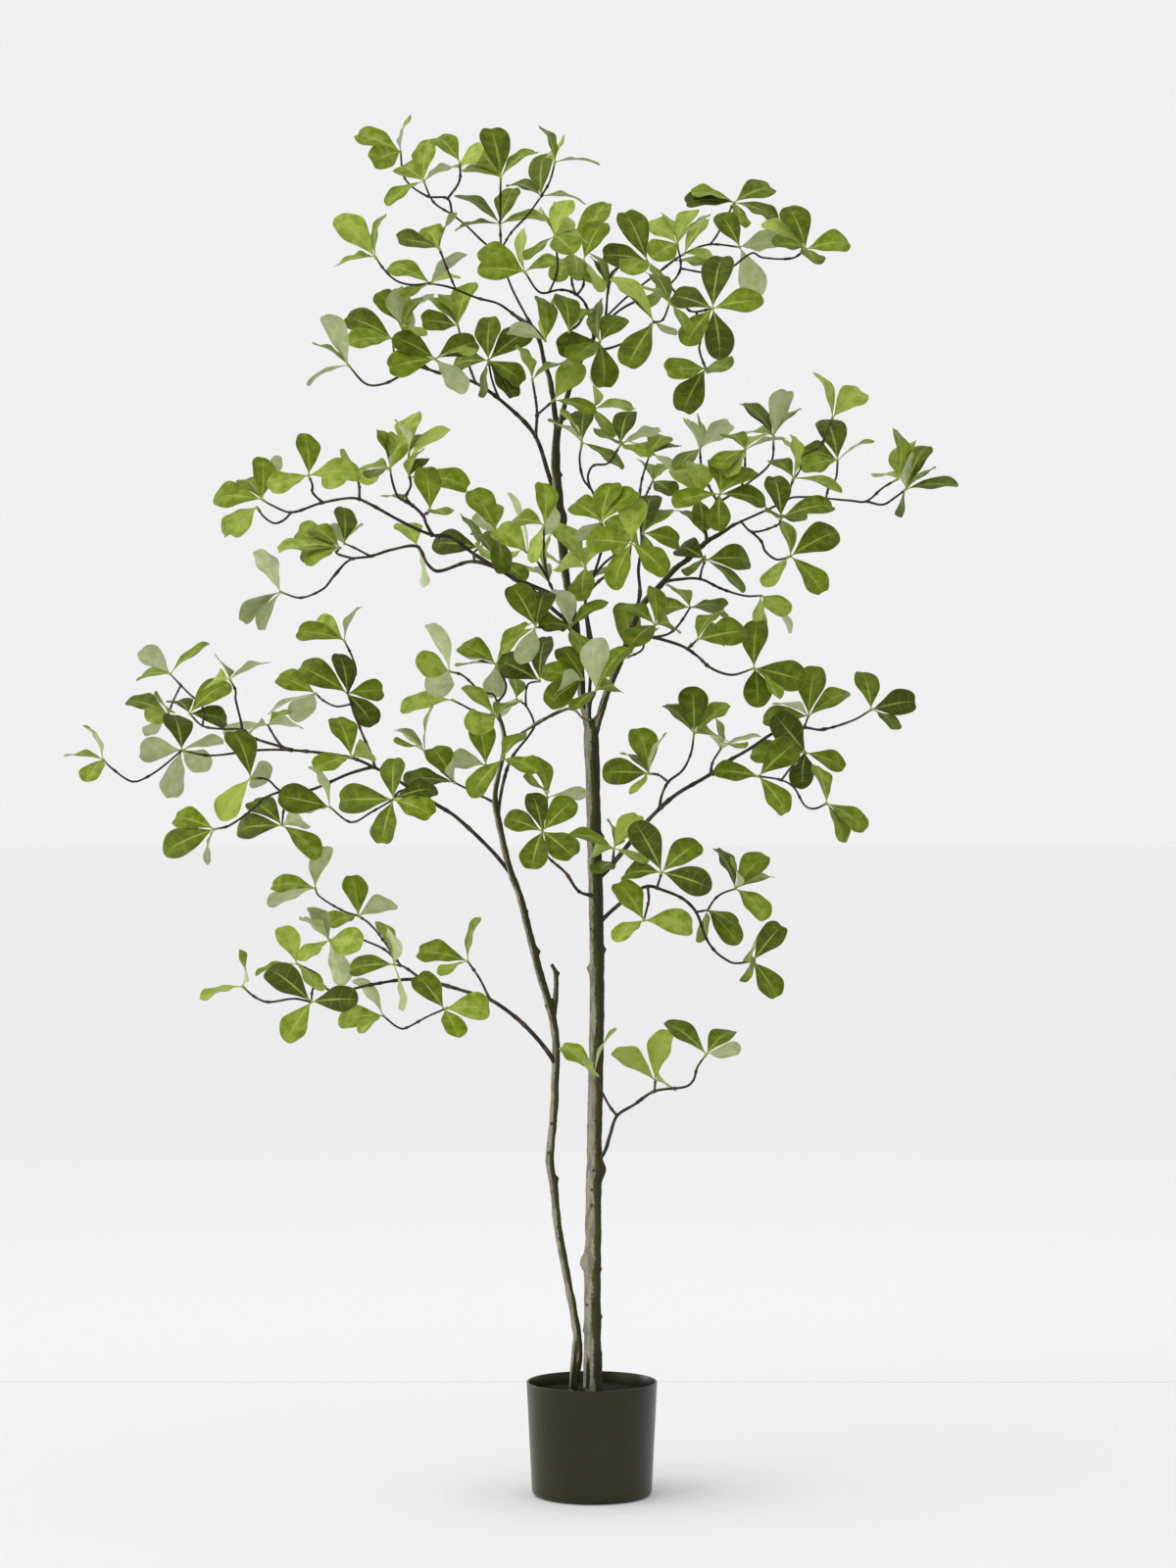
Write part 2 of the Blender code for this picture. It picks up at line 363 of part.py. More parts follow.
         [(38.7, 155.1, .3, "M"), (27.7, 160.2, .6, "D"), (31, 164, .3, "L")]),
        (11, [(31.1, 156.8), (32.2, 158.5), (32.3, 160.3), (35.2, 162), (37.2, 166.4)],
         [(41.9, 171.1, .9, "L"), (34.7, 173.8, .35, "L"), (35.8, 161, .3, "M")]),
        (-14, [(23, 150.4), (24.8, 148.8), (28.8, 149.9), (29.3, 151)],
         [(27.9, 157.8, .9, "V"), (37.8, 152.9, .7, "D"), (32.2, 150.3, .4, "D"), (28.3, 150.9, .3, "D")]),
        (-8, [(24.6, 148.8), (26.2, 147.3), (26.8, 145.8), (28.6, 144.5), (30.7, 145)],
         [(38.1, 149, .9, "D"), (35.9, 139, .65, "M"), (27.1, 140.1, .35, "L"), (29.1, 151, .45, "M")]),
    ],
    "branch_right_under": [
        (4, [(11, 141.2), (13, 141.4), (16.7, 141.5), (20, 140), (23.6, 138.9), (26.2, 138.9)],
         [(30.2, 136, .85, "L"), (31.1, 133.2, .12, "P"), (26.4, 133.8, .3, "L")]),
        (-5, [(16.7, 141.5), (17, 143), (17.6, 144.5)],
         [(13.2, 146.8, .95, "V"), (24.7, 144.5, .9, "D"), (23.4, 139.2, .4, "D"), (15.3, 142.6, .2, "D")]),
    ],
    "branch_right_mid": [
        (-7, [(5.6, 132.4), (9, 132.5), (11, 132.1), (14.2, 131), (16.4, 129.5), (18, 128), (20, 127), (22, 126.7),
              (25.1, 127.7)],
         [(25.7, 135.4, .9, "D"), (25.9, 121.7, .95, "D"), (33.2, 125.6, .95, "D"), (28.3, 123.5, .4, "M")]),
        (6, [(9.8, 132.5), (12, 133.1), (13.5, 134.5), (15.2, 137.1)],
         [(9.6, 136.6, .75, "M"), (21, 136.6, .45, "D"), (21.5, 135.1, .35, "M"), (12.4, 140.6, .6, "M")]),
        (-13, [(14.9, 130.9), (16.3, 132.1)],
         [(24, 133.3, 1, "D"), (20.3, 132.9, .9, "L"), (19.6, 136.8, .5, "M")]),
        (-15, [(8, 132.5), (9.2, 133.2), (9.8, 134.4)],
         [(6, 131.2, .7, "D"), (9.4, 140.4, .7, "M"), (12.6, 134.4, .7, "M"), (4.6, 137.6, .6, "M")]),
        (3, [(8.2, 132.4), (7.8, 130.6), (5.6, 129.4)],
         [(4.9, 137.9, .85, "M"), (2.3, 126.6, .4, "M"), (9.4, 134.9, .3, "M")]),
    ],
    "branch_right": [
        (2, [(1.4, 94.8), (3, 97.2), (6.5, 101.5), (8.8, 104.3), (12.8, 108), (18.3, 111.3), (20.5, 113), (24, 115),
             (28.8, 118), (33, 118.5), (35.5, 118.2), (40.5, 119.7), (43.2, 121.3)],
         [(41.8, 127.3, .9, "D"), (50.3, 122.5, .9, "V"), (47.1, 118.3, .2, "D")]),
        (-10, [(18.3, 111.3), (22, 111.2), (25.8, 111)],
         [(18.9, 111.6, .85, "D"), (30.1, 105.1, .9, "M"), (31.6, 116.3, .95, "D")]),
        (-3, [(25.8, 111), (29.3, 110.4), (31.2, 109.3), (33, 106.4), (34.5, 106), (36.3, 106.8)],
         [(34.5, 112.8, .55, "M"), (42.6, 102.6, .65, "M"), (39, 100.6, .55, "M")]),
        (8, [(29.3, 110.4), (31, 112.6), (33.1, 114.6)],
         [(28, 120.4, .9, "V"), (39.3, 112.3, .8, "M"), (32.5, 109, .85, "V"), (26.6, 115, .8, "M")]),
        (15, [(30, 118.2), (32.3, 118), (33.5, 120.3)],
         [(34.8, 128.2, .95, "D"), (39.9, 124, .7, "M"), (26.3, 119.8, .85, "D"), (28.6, 122.4, .2, "P")]),
        (10, [(18.3, 111.5), (18.7, 113.2), (19.9, 115.2)],
         [(18.6, 120.9, .3, "M"), (26.4, 117.2, .15, "P"), (22.8, 115.7, .2, "P"), (16.9, 118.6, .4, "P")]),
        (-8, [(10.4, 105.9), (10.8, 108), (11.8, 110.1), (14, 111.9), (15.3, 114.5), (15.8, 117.6)],
         [(11.1, 122.3, .6, "D"), (15.8, 125, .95, "D"), (21.3, 122.1, .5, "M"), (20.2, 116.8, .35, "M")]),
        (-14, [(11.8, 110.1), (10.3, 111.2), (8.8, 111.4)],
         [(7.3, 118.8, .9, "M"), (1.5, 111.7, .95, "D"), (4.8, 114.9, .5, "D"), (11.4, 117.5, .12, "P"),
          (6.9, 108.3, .2, "L")]),
        (-12, [(3.2, 97.5), (3.4, 99.8)],
         [(7.3, 105.3, .8, "L"), (2.9, 103.7, .35, "M"), (8.1, 97.2, .4, "L"), (-0.3, 99, .6, "L"),
          (-4.1, 102.3, .5, "M")]),
    ],
    "branch_right_low": [
        (-5, [(1.4, 88), (4, 91), (7.5, 93.6), (9, 94), (10.4, 93.6), (14, 92.1), (16.1, 90), (17.7, 85.9), (19, 84),
              (20.5, 82.8), (22, 82.1), (24.9, 82.4)],
         [(29.9, 88, .9, "V"), (28.8, 76.7, .95, "D"), (24.5, 79.9, .2, "D"), (25.2, 85, .25, "M")]),
        (-13, [(10.2, 93.7), (10.8, 96.1)],
         [(6.9, 104.1, .95, "V"), (16.6, 100.9, .85, "D"), (18.5, 93.9, .95, "V"), (4.6, 95.6, .65, "D")]),
        (-10, [(8.4, 93.8), (8.8, 92.1), (8.5, 90.5), (8, 88.7)],
         [(4.1, 95, .95, "M"), (15.9, 88.1, .9, "L"), (3.9, 85.7, .65, "L")]),
        (1, [(16.1, 89.9), (17.9, 90.3)],
         [(22.6, 84.9, .9, "M"), (17.8, 85.8, .35, "M"), (22.2, 87.8, .4, "D")]),
        (5, [(17.9, 90.3), (19, 92), (20.2, 92.9), (22.2, 93.6)],
         [(27, 99.1, .9, "M"), (27.3, 89.1, .7, "M"), (21.9, 97.8, .12, "P"), (19.2, 100.2, .55, "V")]),
    ],
    "branch_lowest": [
        (-6, [(1.8, 50.5), (2, 53), (2.8, 55.5), (3.9, 58.5), (6.5, 60.2), (9.7, 62.3), (14.5, 63), (15.7, 64),
              (16.3, 66), (17.7, 68)],
         [(11.2, 73, .7, "D"), (21.5, 72, .8, "D"), (22.8, 68.2, .45, "P")]),
        (-1, [(9.7, 62.4), (9.8, 63.9)],
         [(11.7, 72, .8, "L"), (3.2, 68.8, .7, "L"), (11.6, 63.2, .4, "L")]),
        (-11, [(3.9, 58.5), (2.6, 60.2), (1, 63.5), (0.4, 65.2)],
         [(-5, 69.4, .75, "L"), (3.7, 72.2, .12, "P"), (-1.5, 66.2, .5, "L")]),
    ],
    "branch_left_low": [
        (-6, [(-6, 66.8), (-7.5, 69.3), (-10, 72.1), (-12.5, 74.3), (-15.8, 76.5), (-18.8, 77.5), (-24, 79),
              (-28.3, 79.6), (-34.5, 78.7), (-37.5, 78), (-40, 77.7), (-41.5, 78.6), (-42.2, 80.2), (-45.6, 82)],
         [(-48, 88, .9, "L"), (-52, 80.2, .35, "M"), (-42.6, 77.6, .6, "L")]),
        (-14, [(-17, 77), (-19.5, 76), (-22.8, 75)],
         [(-27.3, 80.4, .95, "D"), (-15.5, 75.4, .95, "L"), (-20.9, 70.5, .95, "M")]),
        (2, [(-22.8, 75), (-25.5, 73.8), (-29, 72), (-30.2, 72.3), (-32.3, 74)],
         [(-39.3, 73.1, .75, "M"), (-35.7, 71.6, .45, "L"), (-36.8, 79.9, .4, "P")]),
        (8, [(-15.8, 76.6), (-17.3, 79.6), (-19.2, 82.4)],
         [(-27.3, 83.9, .75, "M"), (-17.3, 89.4, .25, "M"), (-23.4, 80.2, .2, "L")]),
        (-12, [(-26, 79.4), (-29, 81.5), (-30.6, 81.9)],
         [(-37.6, 81.3, .8, "D"), (-31.4, 87.4, .55, "P"), (-33, 88.8, .45, "M"), (-29.8, 74.5, .12, "P")]),
        (7, [(-29.6, 81.7), (-32.8, 86.4), (-34.5, 88.3), (-36.1, 89.4)],
         [(-37.3, 95.9, .9, "M"), (-41.2, 88, .55, "M"), (-30.4, 91.6, .8, "P")]),
        (12, [(-36.1, 89.4), (-38.5, 90.2), (-42.2, 92.5), (-42.8, 93.7)],
         [(-49.8, 94.3, .7, "M"), (-41.2, 100.4, .7, "P"), (-50, 90.7, .5, "P")]),
        (0, [(-29.8, 82.6), (-32.2, 84.3), (-35.8, 85.9), (-37, 86.7), (-40.6, 85.6)],
         [(-43.4, 91, .8, "P"), (-35.4, 84.8, .95, "L"), (-38.7, 78.7, .8, "P"), (-45, 82.4, .6, "L")]),
        (-14, [(-41.3, 78.5), (-43, 78.3), (-43.4, 76.1)],
         [(-50.2, 81.5, 1, "V"), (-47.2, 69.9, .95, "M"), (-36, 76.4, .9, "V")]),
        (-8, [(-43.4, 76.1), (-46, 76.6), (-50.2, 76.1), (-52.3, 77), (-54, 78.5)],
         [(-60.6, 76.4, .35, "L"), (-54.2, 83.4, .12, "P")]),
    ],
    "branch_left_main": [
        (-4, [(-12.6, 95.8), (-15.5, 99.5), (-21, 104.7), (-24, 106.6), (-29.6, 110.1), (-33.5, 112.3),
              (-37.4, 113.9), (-46, 115), (-52, 115), (-59, 114.2), (-63.4, 115)],
         [(-70.2, 114.6, .9, "P"), (-59.3, 112, .95, "P"), (-64.8, 107.2, .8, "P"), (-56.7, 116.3, .4, "P"),
          (-64.5, 120.7, .95, "V")]),
        (-9, [(-63.4, 115), (-67, 112), (-70, 110.3), (-71.5, 110.3), (-74.3, 112.3), (-75.6, 113.6)],
         [(-81.5, 114.1, .35, "M"), (-77.9, 110.3, .75, "M"), (-78.3, 119.2, .12, "P")]),
        (7, [(-46.5, 115), (-48.2, 115.6), (-52.5, 117), (-54.1, 118.2), (-57, 118.3), (-60.2, 118.8),
             (-62.2, 120.7)],
         [(-56.3, 125.8, .75, "M"), (-56, 119.7, .85, "D"), (-64.7, 122.9, .6, "V")]),
        (13, [(-60.2, 118.8), (-60, 121), (-60.6, 122.3), (-62.3, 123.8), (-65.2, 126.8)],
         [(-69.7, 130.9, .9, "P"), (-69.7, 126.3, .5, "M"), (-59, 131.4, .2, "M")]),
        (2, [(-63.4, 125.1), (-64.7, 122.7), (-65.5, 120.6)],
         [(-72, 122.7, .55, "D"), (-68.8, 119.8, .7, "L"), (-68, 117.4, .4, "P"), (-67.1, 122.5, .15, "P")]),
        (-3, [(-54.1, 118.2), (-54.2, 119.2), (-55.1, 123), (-55.1, 124.3), (-56, 126)],
         [(-57.9, 129, .35, "M"), (-59.3, 125.4, .7, "L"), (-49.5, 128.6, .35, "P")]),
        (13, [(-47.9, 115.3), (-49, 117), (-50.1, 118.9)],
         [(-57, 117.5, .4, "P"), (-53, 117.8, .3, "P"), (-45, 118.9, .5, "P"), (-46, 121.3, .3, "M")]),
        (-16, [(-36.2, 113.4), (-37.2, 114)],
         [(-39.4, 120.5, .85, "M"), (-42.8, 112, .6, "M"), (-34.2, 114.8, .9, "L")]),
        (6, [(-33.5, 112.4), (-34, 114), (-35.8, 118.3), (-37.8, 123.8)],
         [(-38.9, 130.1, .9, "V"), (-45.5, 128.3, .9, "D"), (-32, 124.2, .9, "M"), (-33.6, 118.6, .95, "V")]),
        (14, [(-37.3, 122), (-39.5, 121.8), (-41.5, 122.7), (-42.7, 123.8)],
         [(-48.7, 126.6, .9, "M"), (-50.2, 120.4, .12, "P"), (-45.8, 119.7, .85, "P")]),
        (-2, [(-37.8, 123.8), (-36.5, 127), (-37, 129.3), (-38.3, 132)],
         [(-43.2, 134.8, .9, "L"), (-45.8, 133.3, .15, "M"), (-35.9, 137.6, .15, "P")]),
        (-12, [(-33.5, 112.3), (-37.5, 111.4), (-43.8, 108.8), (-48, 108.7), (-50.2, 110.5), (-52.8, 110.7)],
         [(-55.2, 118.5, .75, "D"), (-57.4, 104.2, .8, "L"), (-50, 111, .9, "P")]),
        (-18, [(-48.1, 108.7), (-50.7, 107.6), (-52, 106.3), (-56, 103.4), (-58.4, 102.8)],
         [(-66.2, 99.2, 1, "D"), (-64.7, 105.1, .8, "M"), (-59.2, 97.9, .12, "P")]),
        (-5, [(-46.5, 108.7), (-47.6, 106), (-47.9, 103.4)],
         [(-52.8, 107.3, .7, "D"), (-55.2, 102.6, .9, "D"), (-42, 98.4, .7, "M"), (-44.3, 104.4, .9, "P")]),
        (-14, [(-28, 109.2), (-29.8, 108.6), (-30.7, 107.4)],
         [(-30.3, 114.1, .9, "D"), (-39.5, 106.9, 1, "D"), (-32.5, 100.2, .9, "D"), (-24.6, 104.7, .85, "M"),
          (-23.9, 109.3, .7, "V")]),
        (-8, [(-30.7, 107.4), (-34, 105.5), (-37.2, 103.9), (-40.5, 106.2)],
         [(-48.6, 107.9, .95, "D"), (-44.6, 105.4, .3, "P"), (-43.4, 112.8, .25, "P")]),
    ],
    "branch_stem_left": [
        (8, [(-14.8, 106.9), (-16, 107.4), (-20, 109.4), (-21.2, 110)],
         [(-24.8, 115.8, .95, "M"), (-29.3, 110.3, .6, "V"), (-21.2, 114.7, .3, "P")]),
        (15, [(-21.2, 110), (-24, 112.5), (-25.8, 114.7)],
         [(-30.2, 118.5, .4, "P"), (-29.9, 116, .1, "P"), (-24.4, 122.3, .1, "P")]),
    ],
    "branch_stem_mid": [
        (10, [(-14.1, 113.2), (-15.2, 112.6), (-16.4, 112.7)],
         [(-22, 113.5, .35, "P"), (-17.6, 119.9, .95, "M")]),
    ],
    "branch_stem_front": [
        (-10, [(-14.1, 113.1), (-13.9, 113.6)],
         [(-18.7, 107.8, .8, "M"), (-8.4, 111.9, .6, "M"), (-10.6, 117.7, .55, "M")]),
    ],
    "branch_stem_top": [
        (-8, [(-14.5, 121.5), (-15.2, 123.6), (-17, 124), (-20, 126.6), (-22, 127.2)],
         [(-27.5, 128.7, .9, "L"), (-25.4, 134.9, .4, "P"), (-24.7, 123.7, .95, "P")]),
        (0, [(-14.4, 122.3), (-13.5, 123.8), (-13.3, 125.3), (-14.8, 128.3)],
         [(-20.3, 131.7, .75, "M"), (-20.3, 129.6, .15, "P"), (-21.1, 127.8, .35, "D"), (-14.9, 122.8, .85, "P")]),
    ],
    "branch_stem_back": [
        (5, [(-14.5, 120.2), (-18, 121), (-20, 122), (-21.6, 122.8)],
         [(-29.7, 121.3, .6, "L")]),
    ],
    "branch_stem_low": [
        (-16, [(-14.4, 119.6), (-14.8, 120.2)],
         [(-20.2, 124.8, .5, "L"), (-12.2, 122.4, .45, "M"), (-19.1, 118.3, .85, "L")]),
    ],
    "branch_stem_right": [
        (9, [(-14.5, 104.8), (-13.7, 110), (-12.4, 113.8), (-9.6, 117.5), (-8.9, 119), (-10.2, 121.9),
             (-11.7, 122.9)],
         [(-12.4, 127, .75, "M"), (-14.2, 120.3, .35, "P")]),
        (3, [(-10, 122.2), (-10.2, 124), (-9.8, 125.3), (-8, 125.7)],
         [(-14.6, 129.2, .95, "V"), (-7.2, 132.9, .7, "V")]),
    ],
    "branch_left_inner": [
        (-10, [(-0.6, 92.3), (-2, 93.2), (-4, 96), (-7.3, 99.2), (-7.7, 102.5)],
         [(-9.3, 108.6, .95, "V"), (-2.6, 107.3, .95, "D"), (-13.6, 104.5, .85, "D"), (-9.5, 96.4, .95, "D"),
          (-2.7, 98.1, .9, "D")]),
        (-3, [(-7.7, 102.5), (-7.3, 105), (-6.9, 107.7)],
         [(-8.6, 114.4, .65, "M"), (-9.9, 110.7, .1, "P"), (-1, 107.8, .25, "P")]),
    ],
    "branch_fork_left": [
        (-11, [(-1.7, 127.5), (-1.4, 126)],
         [(-4.6, 131, .9, "D"), (-8.1, 127.2, .85, "M"), (-7, 122, .9, "D"), (-5.4, 124.6, .5, "P")]),
    ],
}


def push(x, z, y):
    """Real place in metres of what the front view shows at x, z and that lies y behind the trunk (cm)."""
    scale = (EYE_DISTANCE + y) / EYE_DISTANCE
    return Vector((EYE_X + (x - EYE_X) * scale, y, EYE_HEIGHT + (z - EYE_HEIGHT) * scale)) * CM


def stem_points(stem):
    """Centre points and radii in metres of a stem listed as (x, z, depth, diameter)."""
    points = [push(x, z, depth) for x, z, depth, _ in stem]
    radii = [diameter * CM / 2 for _, _, _, diameter in stem]
    return points, radii


def tangents(points):
    """Unit directions of a path at each of its points."""
    result = []
    last = len(points) - 1
    for index in range(len(points)):
        before = points[max(index - 1, 0)]
        after = points[min(index + 1, last)]
        result.append((after - before).normalized())
    return result


def tube(points, radii, sides, end_cap=0.0):
    """Closed tube along a path, as vertices and triangles; end_cap is the height of its pointed end."""
    directions = tangents(points)
    side = directions[0].orthogonal().normalized()
    vertices = []
    for point, radius, direction in zip(points, radii, directions):
        side = (side - direction * side.dot(direction)).normalized()
        other = direction.cross(side)
        for step in range(sides):
            angle = 2 * math.pi * step / sides
            vertices.append(point + (side * math.cos(angle) + other * math.sin(angle)) * radius)
    faces = []
    for ring in range(len(points) - 1):
        for step in range(sides):
            a = ring * sides + step
            b = ring * sides + (step + 1) % sides
            faces.append((a, b, b + sides))
            faces.append((a, b + sides, a + sides))
    for step in range(1, sides - 1):
        faces.append((0, step + 1, step))
    top = (len(points) - 1) * sides
    apex = len(vertices)
    vertices.append(points[-1] + directions[-1] * end_cap)
    for step in range(sides):
        faces.append((top + step, top + (step + 1) % sides, apex))
    return vertices, faces


def knot(place, diameter):
    """Small rounded knot as vertices and triangles: a twenty-sided ball, longer upwards."""
    ball = bmesh.new()
    bmesh.ops.create_icosphere(ball, subdivisions=1, radius=1.0)
    vertices = []
    for vert in ball.verts:
        vertices.append(place + Vector((vert.co.x, vert.co.y, vert.co.z * KNOT_STRETCH)) * diameter / 2)
    faces = [tuple(v.index for v in face.verts) for face in ball.faces]
    ball.free()
    return vertices, faces


def stem_solids(stems, knots, swell):
    """The solids that make up a stem, each swelled outwards by the same amount."""
    solids = []
    for stem, sides in stems:
        points, radii = stem_points(stem)
        outward = swell / math.cos(math.pi / sides)
        solids.append(tube(points, [radius + outward for radius in radii], sides, STEM_CAP + swell))
    for x, z, depth, diameter in knots:
        solids.append(knot(push(x, z, depth), diameter * CM + KNOT_SWELL * swell))
    return solids


def trunk_solids(swell=0.0):
    return stem_solids(TRUNK_STEMS, TRUNK_KNOTS, swell)


def side_stem_solids(swell=0.0):
    return stem_solids(SIDE_STEMS, SIDE_STEM_KNOTS, swell)


def nearest_on_route(route, x, z):
    """Nearest place to x, z on a route listed as (x, z, depth, radius), and how far off it is."""
    best = None
    for (ax, az, ay, ar), (bx, bz, by, br) in zip(route, route[1:]):
        run = (bx - ax) ** 2 + (bz - az) ** 2
        share = 0.0
        if run > 0:
            share = max(0.0, min(1.0, ((x - ax) * (bx - ax) + (z - az) * (bz - az)) / run))
        place = tuple(a + (b - a) * share for a, b in zip((ax, az, ay, ar), (bx, bz, by, br)))
        distance = math.hypot(place[0] - x, place[1] - z)
        if best is None or distance < best[0]:
            best = (distance, place)
    return best


def nearest_parent(routes, x, z):
    """The nearest place to x, z on any of the routes."""
    return min((nearest_on_route(route, x, z) for route in routes), key=lambda found: found[0])[1]


def stem_routes():
    """Every stem that a branch can grow from, as routes of (x, z, depth, radius in metres)."""
    stems = [stem for stem, _ in TRUNK_STEMS] + [SIDE_STEM]
    return [[(x, z, depth, diameter * CM / 2) for x, z, depth, diameter in stem] for stem in stems]


def route_lengths(route):
    """Distance run along a flat route at each of its points, in cm."""
    lengths = [0.0]
    for (ax, az), (bx, bz) in zip(route, route[1:]):
        lengths.append(lengths[-1] + math.hypot(bx - ax, bz - az))
    return lengths


def simple_route(route):
    """The points of a flat route that it needs to stay within ROUTE_TOLERANCE of its course."""
    (ax, az), (bx, bz) = route[0], route[-1]
    chord = [(ax, az, 0.0, 0.0), (bx, bz, 0.0, 0.0)]
    strays = [nearest_on_route(chord, x, z)[0] for x, z in route]
    furthest = max(range(len(route)), key=lambda index: strays[index])
    if strays[furthest] < ROUTE_TOLERANCE:
        return [route[0], route[-1]]
    return simple_route(route[:furthest + 1])[:-1] + simple_route(route[furthest:])


def twig_route(route, foot, end_depth, foot_radius_limit):
    """Route of one twig as (x, z, depth, radius), from its foot on the parent to its leafy end."""
    flat = [(foot[0], foot[1])] + route[1:]
    lengths = route_lengths(flat)
    whole = lengths[-1]
    turn_limit = DEPTH_TURN_BASE + DEPTH_TURN_SHARE * whole
    turn = max(-turn_limit, min(turn_limit, end_depth - foot[2]))
    full = math.hypot(whole, turn)
    foot_radius = min(TIP_RADIUS + LIMB_RADIUS_GROWTH * full, LIMB_RADIUS_LIMIT)
    result = []
    for (x, z), length in zip(flat, lengths):
        share = length / whole
        radius = foot_radius + (TIP_RADIUS - foot_radius) * share
        result.append((x, z, foot[2] + turn * share, radius))
    x, z, depth, radius = result[0]
    result[0] = (x, z, depth, min(radius, foot_radius_limit))
    return result


def twig_solid(route, swell=0.0, start=0.0):
    """Solid of a twig with a small knob at its leafy end; start leaves out the first part of its run."""
    points = [push(x, z, depth) for x, z, depth, _ in route]
    radii = [radius * FEW_SIDES_SWELL + swell for _, _, _, radius in route]
    radii[-1] = KNOB_RADIUS + swell
    while start > 0 and len(points) > 1:
        run = (points[1] - points[0]).length
        if run > start:
            share = start / run
            points[0] = points[0].lerp(points[1], share)
            radii[0] = radii[0] + (radii[1] - radii[0]) * share
            break
        start -= run
        points = points[1:]
        radii = radii[1:]
    if len(points) < 2:
        return None
    return tube(points, radii, TWIG_SIDES, KNOB_CAP + swell)


class Obstacles:
    """Placed solids, each with its owner, box and search tree, to find what a new solid would cross."""

    def __init__(self):
        self.items = []

    def add(self, owner, solid):
        self.items.append((owner, solid_box(solid), solid_tree(solid)))

    def crossed(self, solid):
        """Owners of the placed solids that this one crosses."""
        low, high = solid_box(solid)
        tree = None
        owners = []
        for owner, (other_low, other_high), other_tree in self.items:
            if any(low[i] > other_high[i] or high[i] < other_low[i] for i in range(3)):
                continue
            if tree is None:
                tree = solid_tree(solid)
            if tree.overlap(other_tree):
                owners.append(owner)
        return owners


def solid_box(solid):
    vertices = solid[0]
    low = [min(v[i] for v in vertices) for i in range(3)]
    high = [max(v[i] for v in vertices) for i in range(3)]
    return low, high


def solid_tree(solid):
    return BVHTree.FromPolygons(solid[0], solid[1])


def leaf_half_width(share):
    """Half the blade's breadth along its length, as a share of the widest: an inverted egg shape."""
    if share < LEAF_WIDEST:
        return math.sin(math.pi / 2 * share / LEAF_WIDEST) ** LEAF_BASE_POWER
    return math.sqrt(max(0.0, 1 - ((share - LEAF_WIDEST) / (1 - LEAF_WIDEST)) ** 2))


def leaf_frame(base, tip, breadth, underside, roll):
    """Directions of a leaf: along it, across it and out of its upper face."""
    along = (tip - base).normalized()
    to_eye = (EYE - base).normalized()
    across = along.cross(to_eye)
    if across.length < ALONG_SIGHT:
        across = Vector((1.0, 0.0, 0.0))
    across = (across - along * across.dot(along)).normalized()
    toward = across.cross(along)
    if toward.dot(to_eye) < 0:
        toward = -toward
    best = None
    for sign in (1, -1):
        angle = sign * math.acos(min(breadth, BREADTH_LIMIT)) + roll
        upper = toward * math.cos(angle) - across * math.sin(angle)
        if underside:
            upper = -upper
        if best is None or upper.z > best.z:
            best = upper
    upper = best.normalized()
    return along, upper.cross(along).normalized(), upper


def leaf_point(leaf, share, side):
    """Place on the middle of a blade: share runs from base to tip, side from -1 to 1 across it."""
    base, along, across, upper, length, width = leaf
    half = width / 2 * leaf_half_width(share)
    lift = LEAF_ARCH * length * 4 * share * (1 - share) + LEAF_FOLD * half * abs(side)
    return base + along * (share * length) + across * (side * half) + upper * lift


def leaf_solid(leaf, thickness=LEAF_THICKNESS, swell=0.0):
    """Thin closed blade from a narrow base: six edge points, one raised point above and a keel below."""
    base, along, across, upper, length, width = leaf
    leaf = (base, along, across, upper, length + swell, width + 2 * swell)
    ring = [leaf_point(leaf, share, -1) for share in LEAF_RING]
    ring += [leaf_point(leaf, share, 1) for share in reversed(LEAF_RING)]
    above = leaf_point(leaf, LEAF_MIDDLE, 0) + upper * thickness / 2
    below = leaf_point(leaf, LEAF_KEEL, 0) - upper * thickness / 2
    vertices = [base + along * LEAF_ROOT] + ring + [above, below]
    faces = [(0, 1, 6), (0, 6, 8), (0, 8, 1)]
    for first in range(1, 7):
        after = first % 6 + 1
        faces.append((7, first, after))
        if after != 1:
            faces.append((8, after, first))
    return vertices, faces


def outer_part(solid):
    """The blade without the faces at its base, which always lie in the twig."""
    vertices, faces = solid
    return vertices, [face for face in faces if 0 not in face]


def leaf_choices():
    """Small changes to try for a leaf, the least first: lean, swing, roll and turn in depth."""
    choices = []
    for flip in (1, -1):
        for swing in LEAF_SWINGS:
            for roll in LEAF_ROLLS:
                for depth in LEAF_TURNS:
                    cost = SWING_COST * abs(swing) + ROLL_COST * abs(roll) + TURN_COST * abs(depth)
                    if flip < 0:
                        cost += FLIP_COST
                    choices.append((cost, flip, swing, roll, depth))
    choices.sort(key=lambda choice: choice[0])
    return [choice[1:] for choice in choices]


LEAF_CHOICES = leaf_choices()


